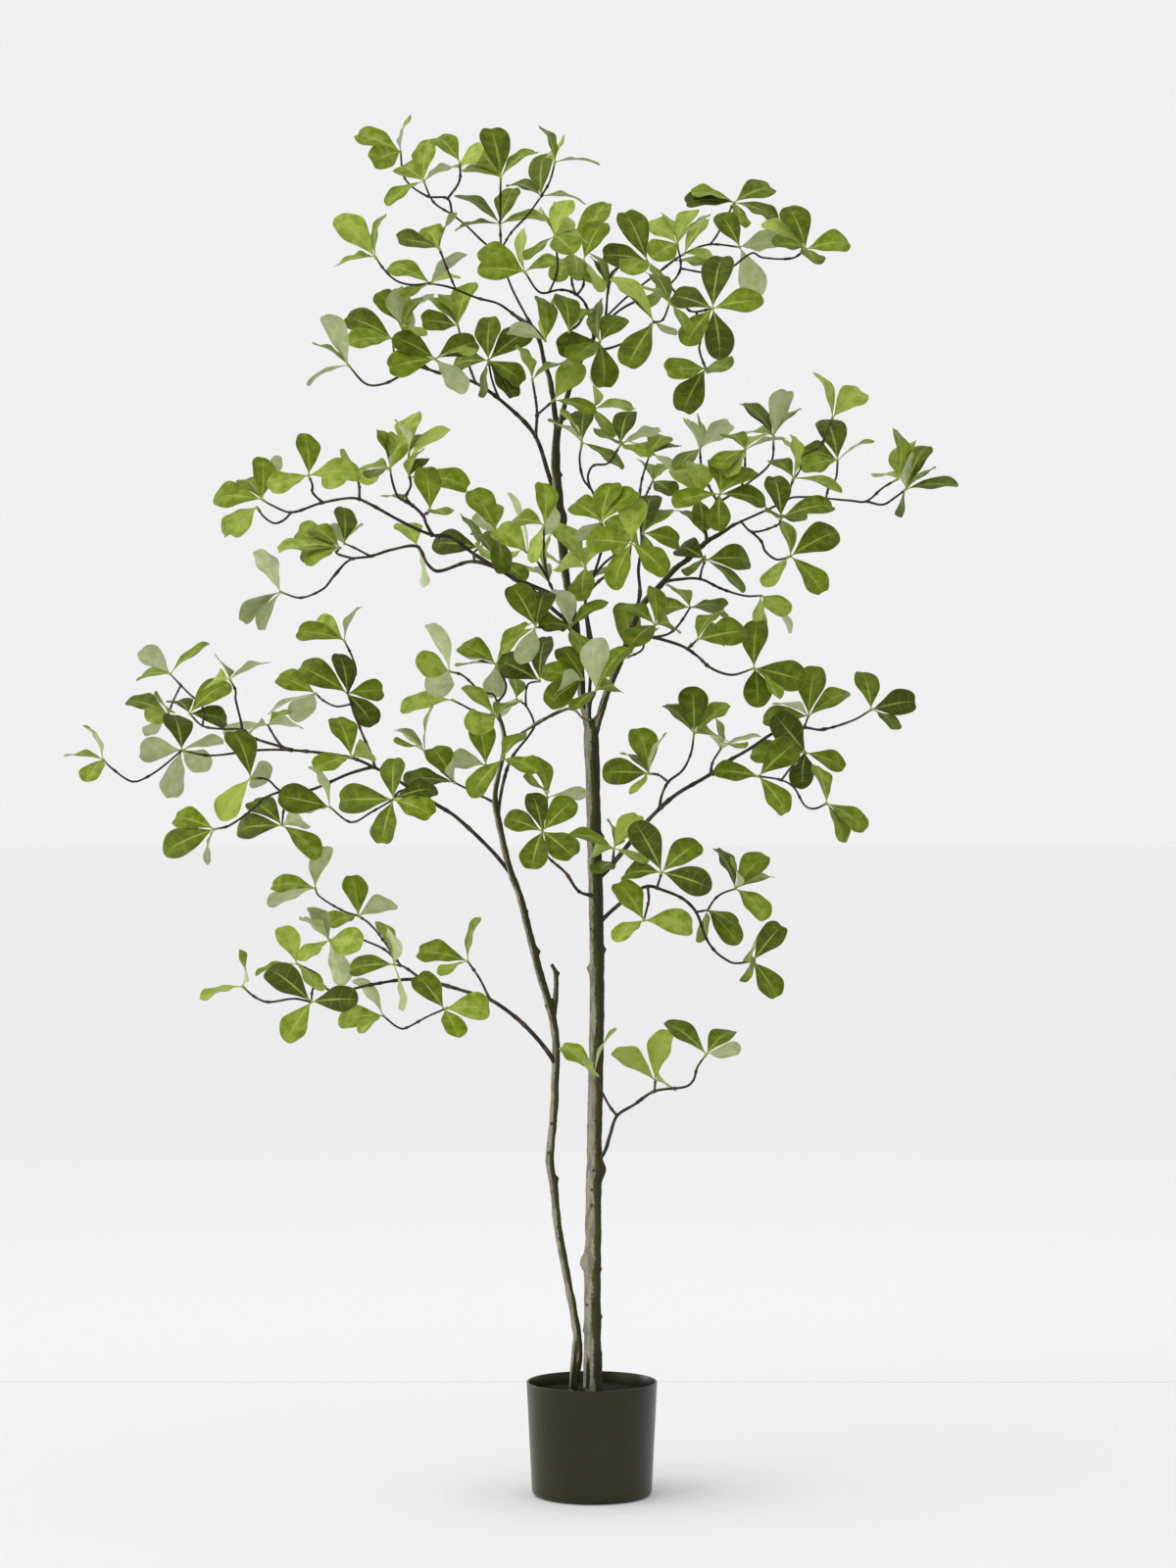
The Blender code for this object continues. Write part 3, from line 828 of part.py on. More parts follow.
def make_leaf(hub, reading, length, width_share, side_of_depth, choice):
    """A leaf from its reading, changed a little by one of the choices."""
    flip, swing, roll, depth = choice
    hub_x, hub_z, hub_y = hub
    x, z, breadth, tone = reading
    run_x = x - hub_x
    run_z = z - hub_z
    turned_x = run_x * math.cos(swing) - run_z * math.sin(swing)
    turned_z = run_x * math.sin(swing) + run_z * math.cos(swing)
    seen = math.hypot(run_x, run_z)
    true_length = max(seen * LEAST_TURN, length)
    rise = flip * side_of_depth * math.sqrt(max(true_length ** 2 - seen ** 2, 0.0)) + depth
    base = push(hub_x, hub_z, hub_y)
    tip = push(hub_x + turned_x, hub_z + turned_z, hub_y + rise)
    along, across, upper = leaf_frame(base, tip, breadth, tone == "P", roll)
    true_length = (tip - base).length
    width = max(min(true_length, WIDTH_LENGTHS[1]), WIDTH_LENGTHS[0]) * width_share
    return base, along, across, upper, true_length, width


def place_leaf(name, hub, reading, obstacles, chance):
    """The first choice for a leaf that crosses nothing, or else the one that crosses least."""
    _, z, _, tone = reading
    length = LEAF_LENGTH + chance.uniform(-LEAF_LENGTH_SPREAD, LEAF_LENGTH_SPREAD)
    width_share = LEAF_WIDTH_SHARE + chance.uniform(-LEAF_WIDTH_SPREAD, LEAF_WIDTH_SPREAD)
    side_of_depth = chance.choice((1, -1))
    run_z = z - hub[1]
    if abs(run_z) > LEVEL_RUN:
        side_of_depth = math.copysign(1, run_z)
        if tone == "P":
            side_of_depth = -side_of_depth
    best = None
    for choice in LEAF_CHOICES:
        leaf = make_leaf(hub, reading, length, width_share, side_of_depth, choice)
        swelled = leaf_solid(leaf, LEAF_THICKNESS + 2 * TEST_SWELL, TEST_SWELL)
        if any(owner != name for owner in obstacles.crossed(swelled)):
            continue
        own = obstacles.crossed(outer_part(swelled)).count(name)
        if best is None or own < best[0]:
            best = (own, leaf, swelled)
        if own == 0:
            break
    return best


def place_twig(name, row, routes, first, obstacles):
    """Route of one twig: its depth is nudged until it crosses no other branch."""
    end_depth, readings, _ = row
    route = simple_route(readings)
    spread = end_depth * DEPTH_SPREAD
    start_x, start_z = route[0]
    foot = nearest_parent(routes, start_x, start_z)
    foot_limit = foot[3] * (LIMB_SHARE if first else 1.0)
    end_x, end_z = route[-1]
    root_x, root_z = SPRAYS[name][0][1][0]
    out = min(math.hypot(end_x - root_x, end_z - root_z) / SWING_REACH, SWING_LIMIT)
    spread += SWING[name] * out
    best = None
    for nudge in DEPTH_NUDGES:
        path = twig_route(route, foot, spread + nudge, foot_limit)
        clear_start = foot[3] + SEAT_RUN if first else 0.0
        solid = twig_solid(path, TEST_SWELL, clear_start)
        crossed = [] if solid is None else obstacles.crossed(solid)
        others = sum(1 for owner in crossed if owner != name)
        own = max(0, crossed.count(name) - 1)
        if best is None or (others, own) < best[0]:
            best = ((others, own), path)
        if others == 0 and own == 0:
            break
    return best[1]


def place_sprays():
    """Settle every twig and then every leaf: a list of (name, twig routes, leaves)."""
    chance = random.Random(LEAF_SEED)
    obstacles = Obstacles()
    for owner, solids in (("trunk", trunk_solids(GAP)), ("side_stem", side_stem_solids(GAP))):
        for solid in solids:
            obstacles.add(owner, solid)
    sprays = []
    for name, rows in SPRAYS.items():
        routes = stem_routes()
        twigs = []
        for row in rows:
            first = not twigs
            path = place_twig(name, row, routes, first, obstacles)
            if first:
                routes = []
            routes.append(path)
            twigs.append(path)
            obstacles.add(name, twig_solid(path, TEST_SWELL))
        sprays.append((name, twigs, []))
    for name, twigs, leaves in sprays:
        for path, (_, _, readings) in zip(twigs, SPRAYS[name]):
            hub = path[-1][:3]
            for reading in readings:
                placed = place_leaf(name, hub, reading, obstacles, chance)
                if placed is None:
                    continue
                _, leaf, swelled = placed
                obstacles.add(name, swelled)
                leaves.append((leaf, reading[2]))
    return sprays


def mesh_object(name, solid, origin, collection):
    """Object from vertices and triangles, with its own origin."""
    vertices, faces = solid
    mesh = bpy.data.meshes.new(name)
    mesh.from_pydata([vertex - origin for vertex in vertices], [], faces)
    mesh.validate()
    obj = bpy.data.objects.new(name, mesh)
    obj.location = origin
    collection.objects.link(obj)
    return obj


def combine(body, solids, origin, operation, solver="EXACT"):
    """Join the solids to a body, or cut them from it, with one Boolean on a collection, applied."""
    helpers = bpy.data.collections.new(body.name + "_helpers")
    bpy.context.scene.collection.children.link(helpers)
    for index, solid in enumerate(solids):
        mesh_object(f"{body.name}_helper_{index}", solid, origin, helpers)
    modifier = body.modifiers.new("combine", "BOOLEAN")
    modifier.operation = operation
    modifier.operand_type = "COLLECTION"
    modifier.collection = helpers
    modifier.solver = solver
    bpy.context.view_layer.update()
    depsgraph = bpy.context.evaluated_depsgraph_get()
    result = bpy.data.meshes.new_from_object(body.evaluated_get(depsgraph))
    body.modifiers.clear()
    old = body.data
    body.data = result
    bpy.data.meshes.remove(old)
    for helper in list(helpers.objects):
        mesh = helper.data
        bpy.data.objects.remove(helper)
        bpy.data.meshes.remove(mesh)
    bpy.data.collections.remove(helpers)


def islands(mesh):
    """Groups of joined vertices of an edit mesh."""
    seen = set()
    groups = []
    for start in mesh.verts:
        if start in seen:
            continue
        group = [start]
        seen.add(start)
        for vert in group:
            for edge in vert.link_edges:
                other = edge.other_vert(vert)
                if other not in seen:
                    seen.add(other)
                    group.append(other)
        groups.append(group)
    return groups


def keep_largest(obj):
    """Leave the largest body of an object, in triangles: loose scraps and sealed hollows are dropped."""
    mesh = bmesh.new()
    mesh.from_mesh(obj.data)
    groups = sorted(islands(mesh), key=len)
    for group in groups[:-1]:
        bmesh.ops.delete(mesh, geom=group, context="VERTS")
    bmesh.ops.triangulate(mesh, faces=mesh.faces)
    mesh.to_mesh(obj.data)
    mesh.free()


def give_material(obj, material):
    obj.data.materials.clear()
    obj.data.materials.append(material)


def make_material(name, color, roughness):
    material = bpy.data.materials.new(name)
    material.use_nodes = True
    shader = material.node_tree.nodes["Principled BSDF"]
    shader.inputs["Base Color"].default_value = (*color, 1.0)
    shader.inputs["Roughness"].default_value = roughness
    shader.inputs["Metallic"].default_value = 0.0
    material.diffuse_color = (*color, 1.0)
    return material


def fused_object(name, solids, origin, material, solver="EXACT"):
    """One named object from solids that reach into each other."""
    body = mesh_object(name, solids[0], origin, bpy.context.scene.collection)
    if len(solids) > 1:
        combine(body, solids[1:], origin, "UNION", solver)
    keep_largest(body)
    give_material(body, material)
    return body


def turned(profile, sides):
    """Solid turned round the upright axis from a profile of (radius, height), bottom centre to top centre."""
    vertices = [Vector((0.0, 0.0, profile[0][1]))]
    rings = profile[1:-1]
    for radius, height in rings:
        for step in range(sides):
            angle = 2 * math.pi * step / sides
            vertices.append(Vector((radius * math.cos(angle), radius * math.sin(angle), height)))
    top = len(vertices)
    vertices.append(Vector((0.0, 0.0, profile[-1][1])))
    faces = []
    for step in range(sides):
        after = (step + 1) % sides
        faces.append((0, 1 + after, 1 + step))
        for ring in range(len(rings) - 1):
            a = 1 + ring * sides + step
            b = 1 + ring * sides + after
            faces.append((a, b, b + sides))
            faces.append((a, b + sides, a + sides))
        last = 1 + (len(rings) - 1) * sides
        faces.append((last + step, last + after, top))
    return vertices, faces


def pot_outer_radius(height):
    """Radius of the pot's straight outer side at a height."""
    return POT_BASE_RADIUS + (POT_RIM_RADIUS - POT_BASE_RADIUS) * height / POT_HEIGHT


def pot_inner_base():
    """Radius of the pot's flat inner floor."""
    return pot_outer_radius(POT_FLOOR) - POT_WALL - POT_EDGE_RADIUS / 2


def make_pot(material):
    """Plain tapered pot with a rounded foot, a plain rim and a closed floor."""
    profile = [(0.0, 0.0)]
    edge_centre = pot_outer_radius(POT_EDGE_RADIUS) - POT_EDGE_RADIUS
    for degrees in POT_EDGE_DEGREES:
        angle = math.radians(degrees)
        out = edge_centre + POT_EDGE_RADIUS * math.sin(angle)
        profile.append((out, POT_EDGE_RADIUS * (1 - math.cos(angle))))
    profile.append((POT_RIM_RADIUS, POT_HEIGHT))
    profile.append((POT_RIM_RADIUS - POT_WALL, POT_HEIGHT))
    profile.append((pot_outer_radius(POT_INNER_EASE) - POT_WALL, POT_INNER_EASE))
    profile.append((pot_inner_base(), POT_FLOOR))
    profile.append((0.0, POT_FLOOR))
    obj = mesh_object("pot", turned(profile, POT_SIDES), ORIGIN, bpy.context.scene.collection)
    give_material(obj, material)


def make_filling(material):
    """Heavy filling that holds both stems in plain holes, with a slightly domed top."""
    clear = POT_WALL + FILL_GAP
    top_radius = pot_outer_radius(FILL_TOP) - clear
    side_radius = pot_outer_radius(POT_INNER_EASE) - clear
    profile = [(0.0, POT_FLOOR + GAP), (pot_inner_base() - GAP, POT_FLOOR + GAP),
               (side_radius, POT_INNER_EASE + GAP), (top_radius, FILL_TOP), (0.0, FILL_TOP + FILL_CROWN)]
    obj = mesh_object("potting_fill", turned(profile, POT_SIDES), ORIGIN, bpy.context.scene.collection)
    holes = []
    for stem, sides in (TRUNK_STEMS[0], SIDE_STEMS[0]):
        points, radii = stem_points(stem[:HOLE_POINTS])
        swelled = [radius + GAP / math.cos(math.pi / sides) for radius in radii]
        points[0] = points[0] - (points[1] - points[0]).normalized() * GAP
        holes.append(tube(points, swelled, sides))
    combine(obj, holes, ORIGIN, "DIFFERENCE")
    keep_largest(obj)
    give_material(obj, material)


def main():
    for obj in list(bpy.data.objects):
        bpy.data.objects.remove(obj)
    pot_plastic = make_material("pot_plastic", (0.035, 0.031, 0.022), 0.38)
    filling = make_material("filling", (0.03, 0.024, 0.017), 0.95)
    bark = make_material("bark", (0.21, 0.17, 0.12), 0.85)
    foliage = make_material("foliage", (0.15, 0.24, 0.035), 0.5)
    make_pot(pot_plastic)
    make_filling(filling)
    fused_object("trunk", trunk_solids(), push(*TRUNK[0][:3]), bark)
    fused_object("side_stem", side_stem_solids(), push(*SIDE_STEM[0][:3]), bark)
    seats = trunk_solids(GAP) + side_stem_solids(GAP)
    for name, twigs, leaves in place_sprays():
        solids = [twig_solid(path) for path in twigs]
        solids += [leaf_solid(leaf) for leaf, breadth in leaves if breadth > EDGE_ON]
        x, z, depth, _ = twigs[0][0]
        origin = push(x, z, depth)
        branch = fused_object(name, solids, origin, foliage, "MANIFOLD")
        combine(branch, seats, origin, "DIFFERENCE", "MANIFOLD")
        keep_largest(branch)
        give_material(branch, foliage)


main()
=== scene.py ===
"""Looks of the potted black olive tree: fine leaves, twigs, bark, pot and filling round the CAD model.

The tables and placing functions are those of part.py, so each fine leaf and twig lies on its plain solid.
"""

import math
import random

import bmesh
import bpy
import numpy as np
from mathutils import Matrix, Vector, noise
from mathutils.bvhtree import BVHTree


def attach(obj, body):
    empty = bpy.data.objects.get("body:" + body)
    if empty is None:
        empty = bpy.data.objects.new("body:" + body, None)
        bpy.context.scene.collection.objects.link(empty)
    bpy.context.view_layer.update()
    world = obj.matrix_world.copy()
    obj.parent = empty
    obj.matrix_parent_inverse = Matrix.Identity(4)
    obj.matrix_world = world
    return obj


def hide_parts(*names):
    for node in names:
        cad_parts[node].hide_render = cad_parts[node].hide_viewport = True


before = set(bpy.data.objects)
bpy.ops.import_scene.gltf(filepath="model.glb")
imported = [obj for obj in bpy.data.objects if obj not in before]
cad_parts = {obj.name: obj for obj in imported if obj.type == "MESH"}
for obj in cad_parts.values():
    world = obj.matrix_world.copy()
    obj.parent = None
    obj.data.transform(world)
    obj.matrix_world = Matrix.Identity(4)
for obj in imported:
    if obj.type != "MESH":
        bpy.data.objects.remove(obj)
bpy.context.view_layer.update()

CM = 0.01
MM = 0.001

# The point that the front view is read from, in cm from the pot's centre on the floor
EYE_X = -0.6
EYE_HEIGHT = 109.8
EYE_DISTANCE = 580.0
EYE = Vector((EYE_X, -EYE_DISTANCE, EYE_HEIGHT)) * CM

# The photograph in pixels: its height, the trunk's middle, the pot's foot, one cm at the trunk, and one metre
# at one metre from the eye
PHOTO_HEIGHT = 1600
TRUNK_PIXEL = 604
FLOOR_PIXEL = 1525
PIXELS_PER_CM = 6.6
FOCAL_PIXELS = 3828
SENSOR = 36.0

# The gap that touching pieces keep
GAP = 0.3 * MM

# Pot, in metres
POT_HEIGHT = 0.175
POT_RIM_RADIUS = 0.101
POT_BASE_RADIUS = 0.0925
POT_EDGE_RADIUS = 0.009
POT_WALL = 0.0028
POT_FLOOR = 0.004
POT_INNER_EASE = 0.012

# Filling, in metres
FILL_TOP = 0.157
FILL_CROWN = 0.004

# Twigs and plain blades, as in the solids
TIP_RADIUS = 1.6 * MM
# A limb's gain in radius at its foot, in metres for each cm of its length
LIMB_RADIUS_GROWTH = 0.000045
LIMB_RADIUS_LIMIT = 4.4 * MM
KNOB_RADIUS = 4.2 * MM
KNOB_CAP = 4.0 * MM
TWIG_SIDES = 3
ROUTE_TOLERANCE = 0.6
FEW_SIDES_SWELL = 1.3
LEAF_LENGTH = 7.0
LEAF_LENGTH_SPREAD = 0.7
LEAF_WIDTH_SHARE = 0.58
LEAF_WIDTH_SPREAD = 0.03
LEAF_THICKNESS = 1.7 * MM
LEAF_ROOT = 1.5 * MM
LEAF_ARCH = 0.07
LEAF_FOLD = 0.16
LEAF_WIDEST = 0.68
LEAF_BASE_POWER = 1.5
LEAF_RING = (0.31, 0.71, 0.965)
LEAF_MIDDLE = 0.5
LEAF_KEEL = 0.42
BREADTH_LIMIT = 0.93

# Small changes tried for a leaf that would cross another: swing and roll in radians, turn in depth in cm
LEAF_SWINGS = (0.0, 0.12, -0.12, 0.24, -0.24)
LEAF_ROLLS = (0.0, 0.25, -0.25, 0.5, -0.5)
LEAF_TURNS = (0.0, 1.8, -1.8, 3.4, -3.4)
SWING_COST = 6.0
ROLL_COST = 1.2
TURN_COST = 0.25
FLIP_COST = 1.2
LEAF_SEED = 7

# A leaf is at least this much longer than it shows, and its breadth goes by a length kept within bounds
LEAST_TURN = 1.02
WIDTH_LENGTHS = (6.4 * CM, 8.0 * CM)

# Below this sine a leaf points along the line of sight, and below this rise in cm it runs level
ALONG_SIGHT = 0.05
LEVEL_RUN = 1.5

# The depths in cm tried for a twig, and how thick a limb may be beside the stem that carries it
DEPTH_NUDGES = (0, 1.5, -1.5, 3, -3, 5, -5, 7, -7, 9, -9, 12, -12)
LIMB_SHARE = 0.6

# The run at a limb's foot that may touch its stem
SEAT_RUN = 12 * MM

# How far a solid is swelled when it is tried against its neighbours
TEST_SWELL = 0.7 * MM

# Depth of the crown: how far the readings below are spread, and the most that a twig turns in depth
DEPTH_SPREAD = 1.6
DEPTH_TURN_BASE = 14.0
DEPTH_TURN_SHARE = 0.8
SWING_REACH = 40.0
SWING_LIMIT = 1.6

# The main stems as (x, z seen from the front, depth, diameter), all in cm
TRUNK = [(0.2, 6, 0, 2.75), (0.3, 14, 0, 2.75), (0.1, 25, 0.2, 2.7), (0.2, 40, 0.5, 2.5), (0.4, 55, 0.4, 2.35),
         (0.7, 70, 0, 2.3), (0.8, 82, -0.4, 2.25), (0.6, 92, -0.5, 2.3), (0.3, 104, -0.2, 2.2),
         (0.1, 112, 0, 2.3), (-0.1, 117, 0, 2.4), (-0.2, 119.6, 0, 1.6)]
LEFT_LEADER = [(-0.3, 117, 0, 1.3), (-0.8, 120, 0.2, 1.35), (-1.5, 123, 0.6, 1.3), (-1.9, 130, 1.2, 1.2),
               (-2.8, 136, 1.6, 1.2), (-3.9, 141, 1.8, 1.2), (-4.6, 148, 1.8, 1.7), (-5.2, 154, 1.6, 1.6),
               (-5.6, 160, 1.3, 1.4), (-5.4, 164.5, 1, 1.3)]
RIGHT_LEADER = [(0.2, 116.5, 0, 1.2), (1.3, 120.5, -0.2, 1.15), (2.2, 123.5, -0.4, 1.1), (3.8, 127.5, -0.8, 1.1),
                (5.3, 131.5, -1.2, 1.05), (6.6, 135, -1.5, 1.05), (8, 137.7, -1.7, 1), (10.5, 140.4, -1.9, 1),
                (13, 143.2, -2, .95), (14.9, 144.6, -2, .9), (17.8, 147.3, -2, .8), (19.7, 148.4, -2, .7),
                (22, 149.9, -2, .62)]
MIDDLE_PRONG = [(-0.3, 117.5, -0.4, 1), (-0.5, 122, -0.9, .9), (0.4, 124, -1.3, .6)]
TOP_LEFT_LEADER = [(-5.4, 162, 1.2, .9), (-5.6, 166, 1.2, .9), (-6.6, 172.8, 1.2, .85), (-7.4, 175, 1.2, .8),
                   (-8, 178, 1.1, .75), (-9.9, 181.7, 1, .65)]
TOP_RIGHT_LEADER = [(-5.5, 162.5, 1, .9), (-4.9, 165.5, .8, .85), (-3.9, 169.5, .4, .85), (-1.7, 175.3, 0, .8),
                    (0, 178.2, -.2, .75), (1.2, 181, -.4, .65)]
SIDE_STEM = [(-3, 6, 0, 1.4), (-2.9, 15.5, 0, 1.4), (-2.1, 22.1, 0.3, 1.35), (-2.6, 26.7, 0.6, 1.3),
             (-3.7, 32.7, 1.2, 1.3), (-4.6, 37.4, 1.6, 1.3), (-5.3, 41.5, 1.9, 1.3), (-5.9, 47.6, 2.2, 1.3),
             (-6.5, 51.3, 2.3, 1.3), (-6.4, 53.6, 2.3, 1.3), (-5.9, 58.7, 2.2, 1.25), (-5.7, 63.8, 2, 1.25),
             (-5.6, 70.3, 1.6, 1.25), (-6.3, 74.5, 1.2, 1.3), (-8.2, 81, .6, 1.2), (-9.5, 86, .2, 1.15),
             (-11, 92, -.2, 1.1), (-12.8, 97, -.5, 1.05), (-14.2, 103, -.8, 1), (-14.8, 106, -1, .95),
             (-15, 108, -1, .9), (-14.6, 110.5, -1, .85), (-14, 113, -.9, .8), (-13.5, 116, -.7, .75),
             (-13.8, 118.5, -.5, .7), (-14.4, 120.5, -.4, .65), (-14.5, 122.5, -.3, .55)]
DEAD_STUB = [(-6, 73.5, 1.3, 1.1), (-5.6, 77, 1.6, .95), (-5.6, 80.5, 1.8, .8), (-6.2, 81.9, 1.9, .6)]
TRUNK_KNOTS = [(-1.35, 35.7, -.3, 1.5), (1.4, 50.2, 0, 1.7), (1.7, 101.5, -.4, .9), (-0.2, 81.2, -.9, 1),
               (1.6, 84.2, -.8, .9), (-4.3, 151, 1.6, 1.1)]
SIDE_STEM_KNOTS = [(-5.6, 48.5, 2, .8), (-8.5, 84, .2, .8)]

# Each stem with the number of its sides
TRUNK_STEMS = [(TRUNK, 8), (LEFT_LEADER, 6), (RIGHT_LEADER, 6), (MIDDLE_PRONG, 5), (TOP_LEFT_LEADER, 5),
               (TOP_RIGHT_LEADER, 5)]
SIDE_STEMS = [(SIDE_STEM, 6), (DEAD_STUB, 5)]

# The point at a stem's end, and how a knot stands out: its height, and its gain when a solid is swelled
STEM_CAP = 2 * MM
KNOT_STRETCH = 1.5
KNOT_SWELL = 2.6

# Root-like prongs at the stems' feet, listed as the stems are
TRUNK_ROOTS = [[(-0.5, 25, 0.1, 1.4), (-0.8, 20.5, -0.7, 1.0), (-1.0, 16.4, -1.5, 0.7)],
               [(1.0, 22, 0, 1.2), (1.3, 16.2, -0.6, 0.9)]]
SIDE_STEM_ROOTS = [[(-2.3, 26, 0.5, 1.0), (-2.9, 20.5, -0.3, 0.8), (-3.3, 16.4, -0.9, 0.6)]]

# A thin twig from the right leader that passes in front of the trunk to the side stem
CROSSING_TWIG = [(2.2, 124, -0.5, 0.4), (1.4, 121.5, -1.4, 0.42), (0.3, 119.9, -1.75, 0.44), (-1.2, 119.8, -1.6, 0.46),
                 (-2.6, 121.2, -1.1, 0.52), (-3.9, 121.4, -1.1, 0.55), (-6.7, 120.2, -1.4, 0.55),
                 (-8.6, 119.1, -1.5, 0.6), (-11.2, 117.4, -1.5, 0.5), (-13.3, 115.5, -1.1, 0.42)]

# Small dark nubs on the stems: the photograph's pixel and the height in mm
TRUNK_NUBS = [(603, 948, 1.6), (617, 969, 2.4), (600, 988, 2.4), (608, 1068, 1.4), (604, 1214, 0.8), (604, 1230, 1.2),
              (594, 1284, 2.2), (612, 1287, 1.4), (615, 1296, 1.6), (606, 1330, 1.6), (599, 1331, 1.2),
              (614, 1344, 2.4), (596, 1358, 1.4), (606, 1194, 0.6), (575, 484, 3.0)]
SIDE_STEM_NUBS = [(553, 972, 2.4), (570, 994, 2.6), (569, 1204, 2.4), (571, 1265, 1.8), (557, 1027, 1.6),
                  (563, 1148, 1.4), (560, 1178, 1.4), (546, 930, 1.4)]

# How far each leafy branch swings back (or forward, below zero) at SWING_REACH from its foot, in cm
SWING = {
    "branch_top_left_high": 6, "branch_top_left_side": -10, "branch_top_middle": -4,
    "branch_top_right_high": 10, "branch_top_right_low": -5, "branch_top_right_under": -12,
    "branch_upper_left": 12, "branch_left_high": -9, "branch_left_long": 13, "branch_left_near": -14,
    "branch_centre": -6, "branch_high_middle": 14, "branch_right_centre": 16, "branch_right_upper": 9,
    "branch_right_long": -9, "branch_right_under": 16, "branch_right_mid": -12, "branch_right": 8,
    "branch_right_low": -13, "branch_lowest": 10, "branch_left_low": -11, "branch_left_main": 7,
    "branch_stem_left": 14, "branch_stem_mid": 6, "branch_stem_front": -6, "branch_stem_top": -10,
    "branch_stem_back": 8, "branch_stem_low": -8, "branch_stem_right": 10,
    "branch_left_inner": -14, "branch_fork_left": -12,
}

# Leaves that only the fine model has: the pixel of the photograph at their base, and for each the pixel of
# its tip, the share of its breadth that shows and its tone, which paints light and shade into the leaf's own colour
MORE_LEAVES = [
    ((566, 240), [(580, 205, .5, "L")]),
    ((611, 299), [(602, 262, .35, "L"), (634, 271, .15, "D"), (606, 257, .3, "M")]),
    ((467, 333), [(438, 304, .8, "M")]),
    ((430, 341), [(418, 318, .5, "P"), (402, 296, .8, "L")]),
    ((690, 268), [(727, 272, .5, "M")]),
    ((684, 292), [(667, 314, .5, "M")]),
    ((785, 443), [(757, 409, .45, "D")]),
    ((712, 462), [(701, 428, .4, "P")]),
    ((421, 470), [(458, 437, .35, "L")]),
    ((450, 488), [(427, 459, .5, "M"), (434, 468, .5, "D"), (480, 496, .6, "M")]),
    ((330, 553), [(300, 541, .8, "M")]),
    ((287, 604), [(265, 644, .4, "P")]),
    ((719, 549), [(695, 520, .5, "D")]),
    ((655, 560), [(621, 527, .7, "M")]),
    ((556, 598), [(543, 576, .4, "P")]),
    ((508, 582), [(531, 562, .5, "L")]),
    ((566, 586), [(560, 545, .3, "L")]),
    ((509, 676), [(541, 633, .4, "M")]),
    ((706, 610), [(741, 620, .3, "D")]),
    ((640, 893), [(611, 893, .45, "D")]),
    ((814, 773), [(764, 769, .8, "M")]),
    ((752, 906), [(788, 893, .55, "M")]),
    ((335, 958), [(307, 936, .5, "P")]),
]
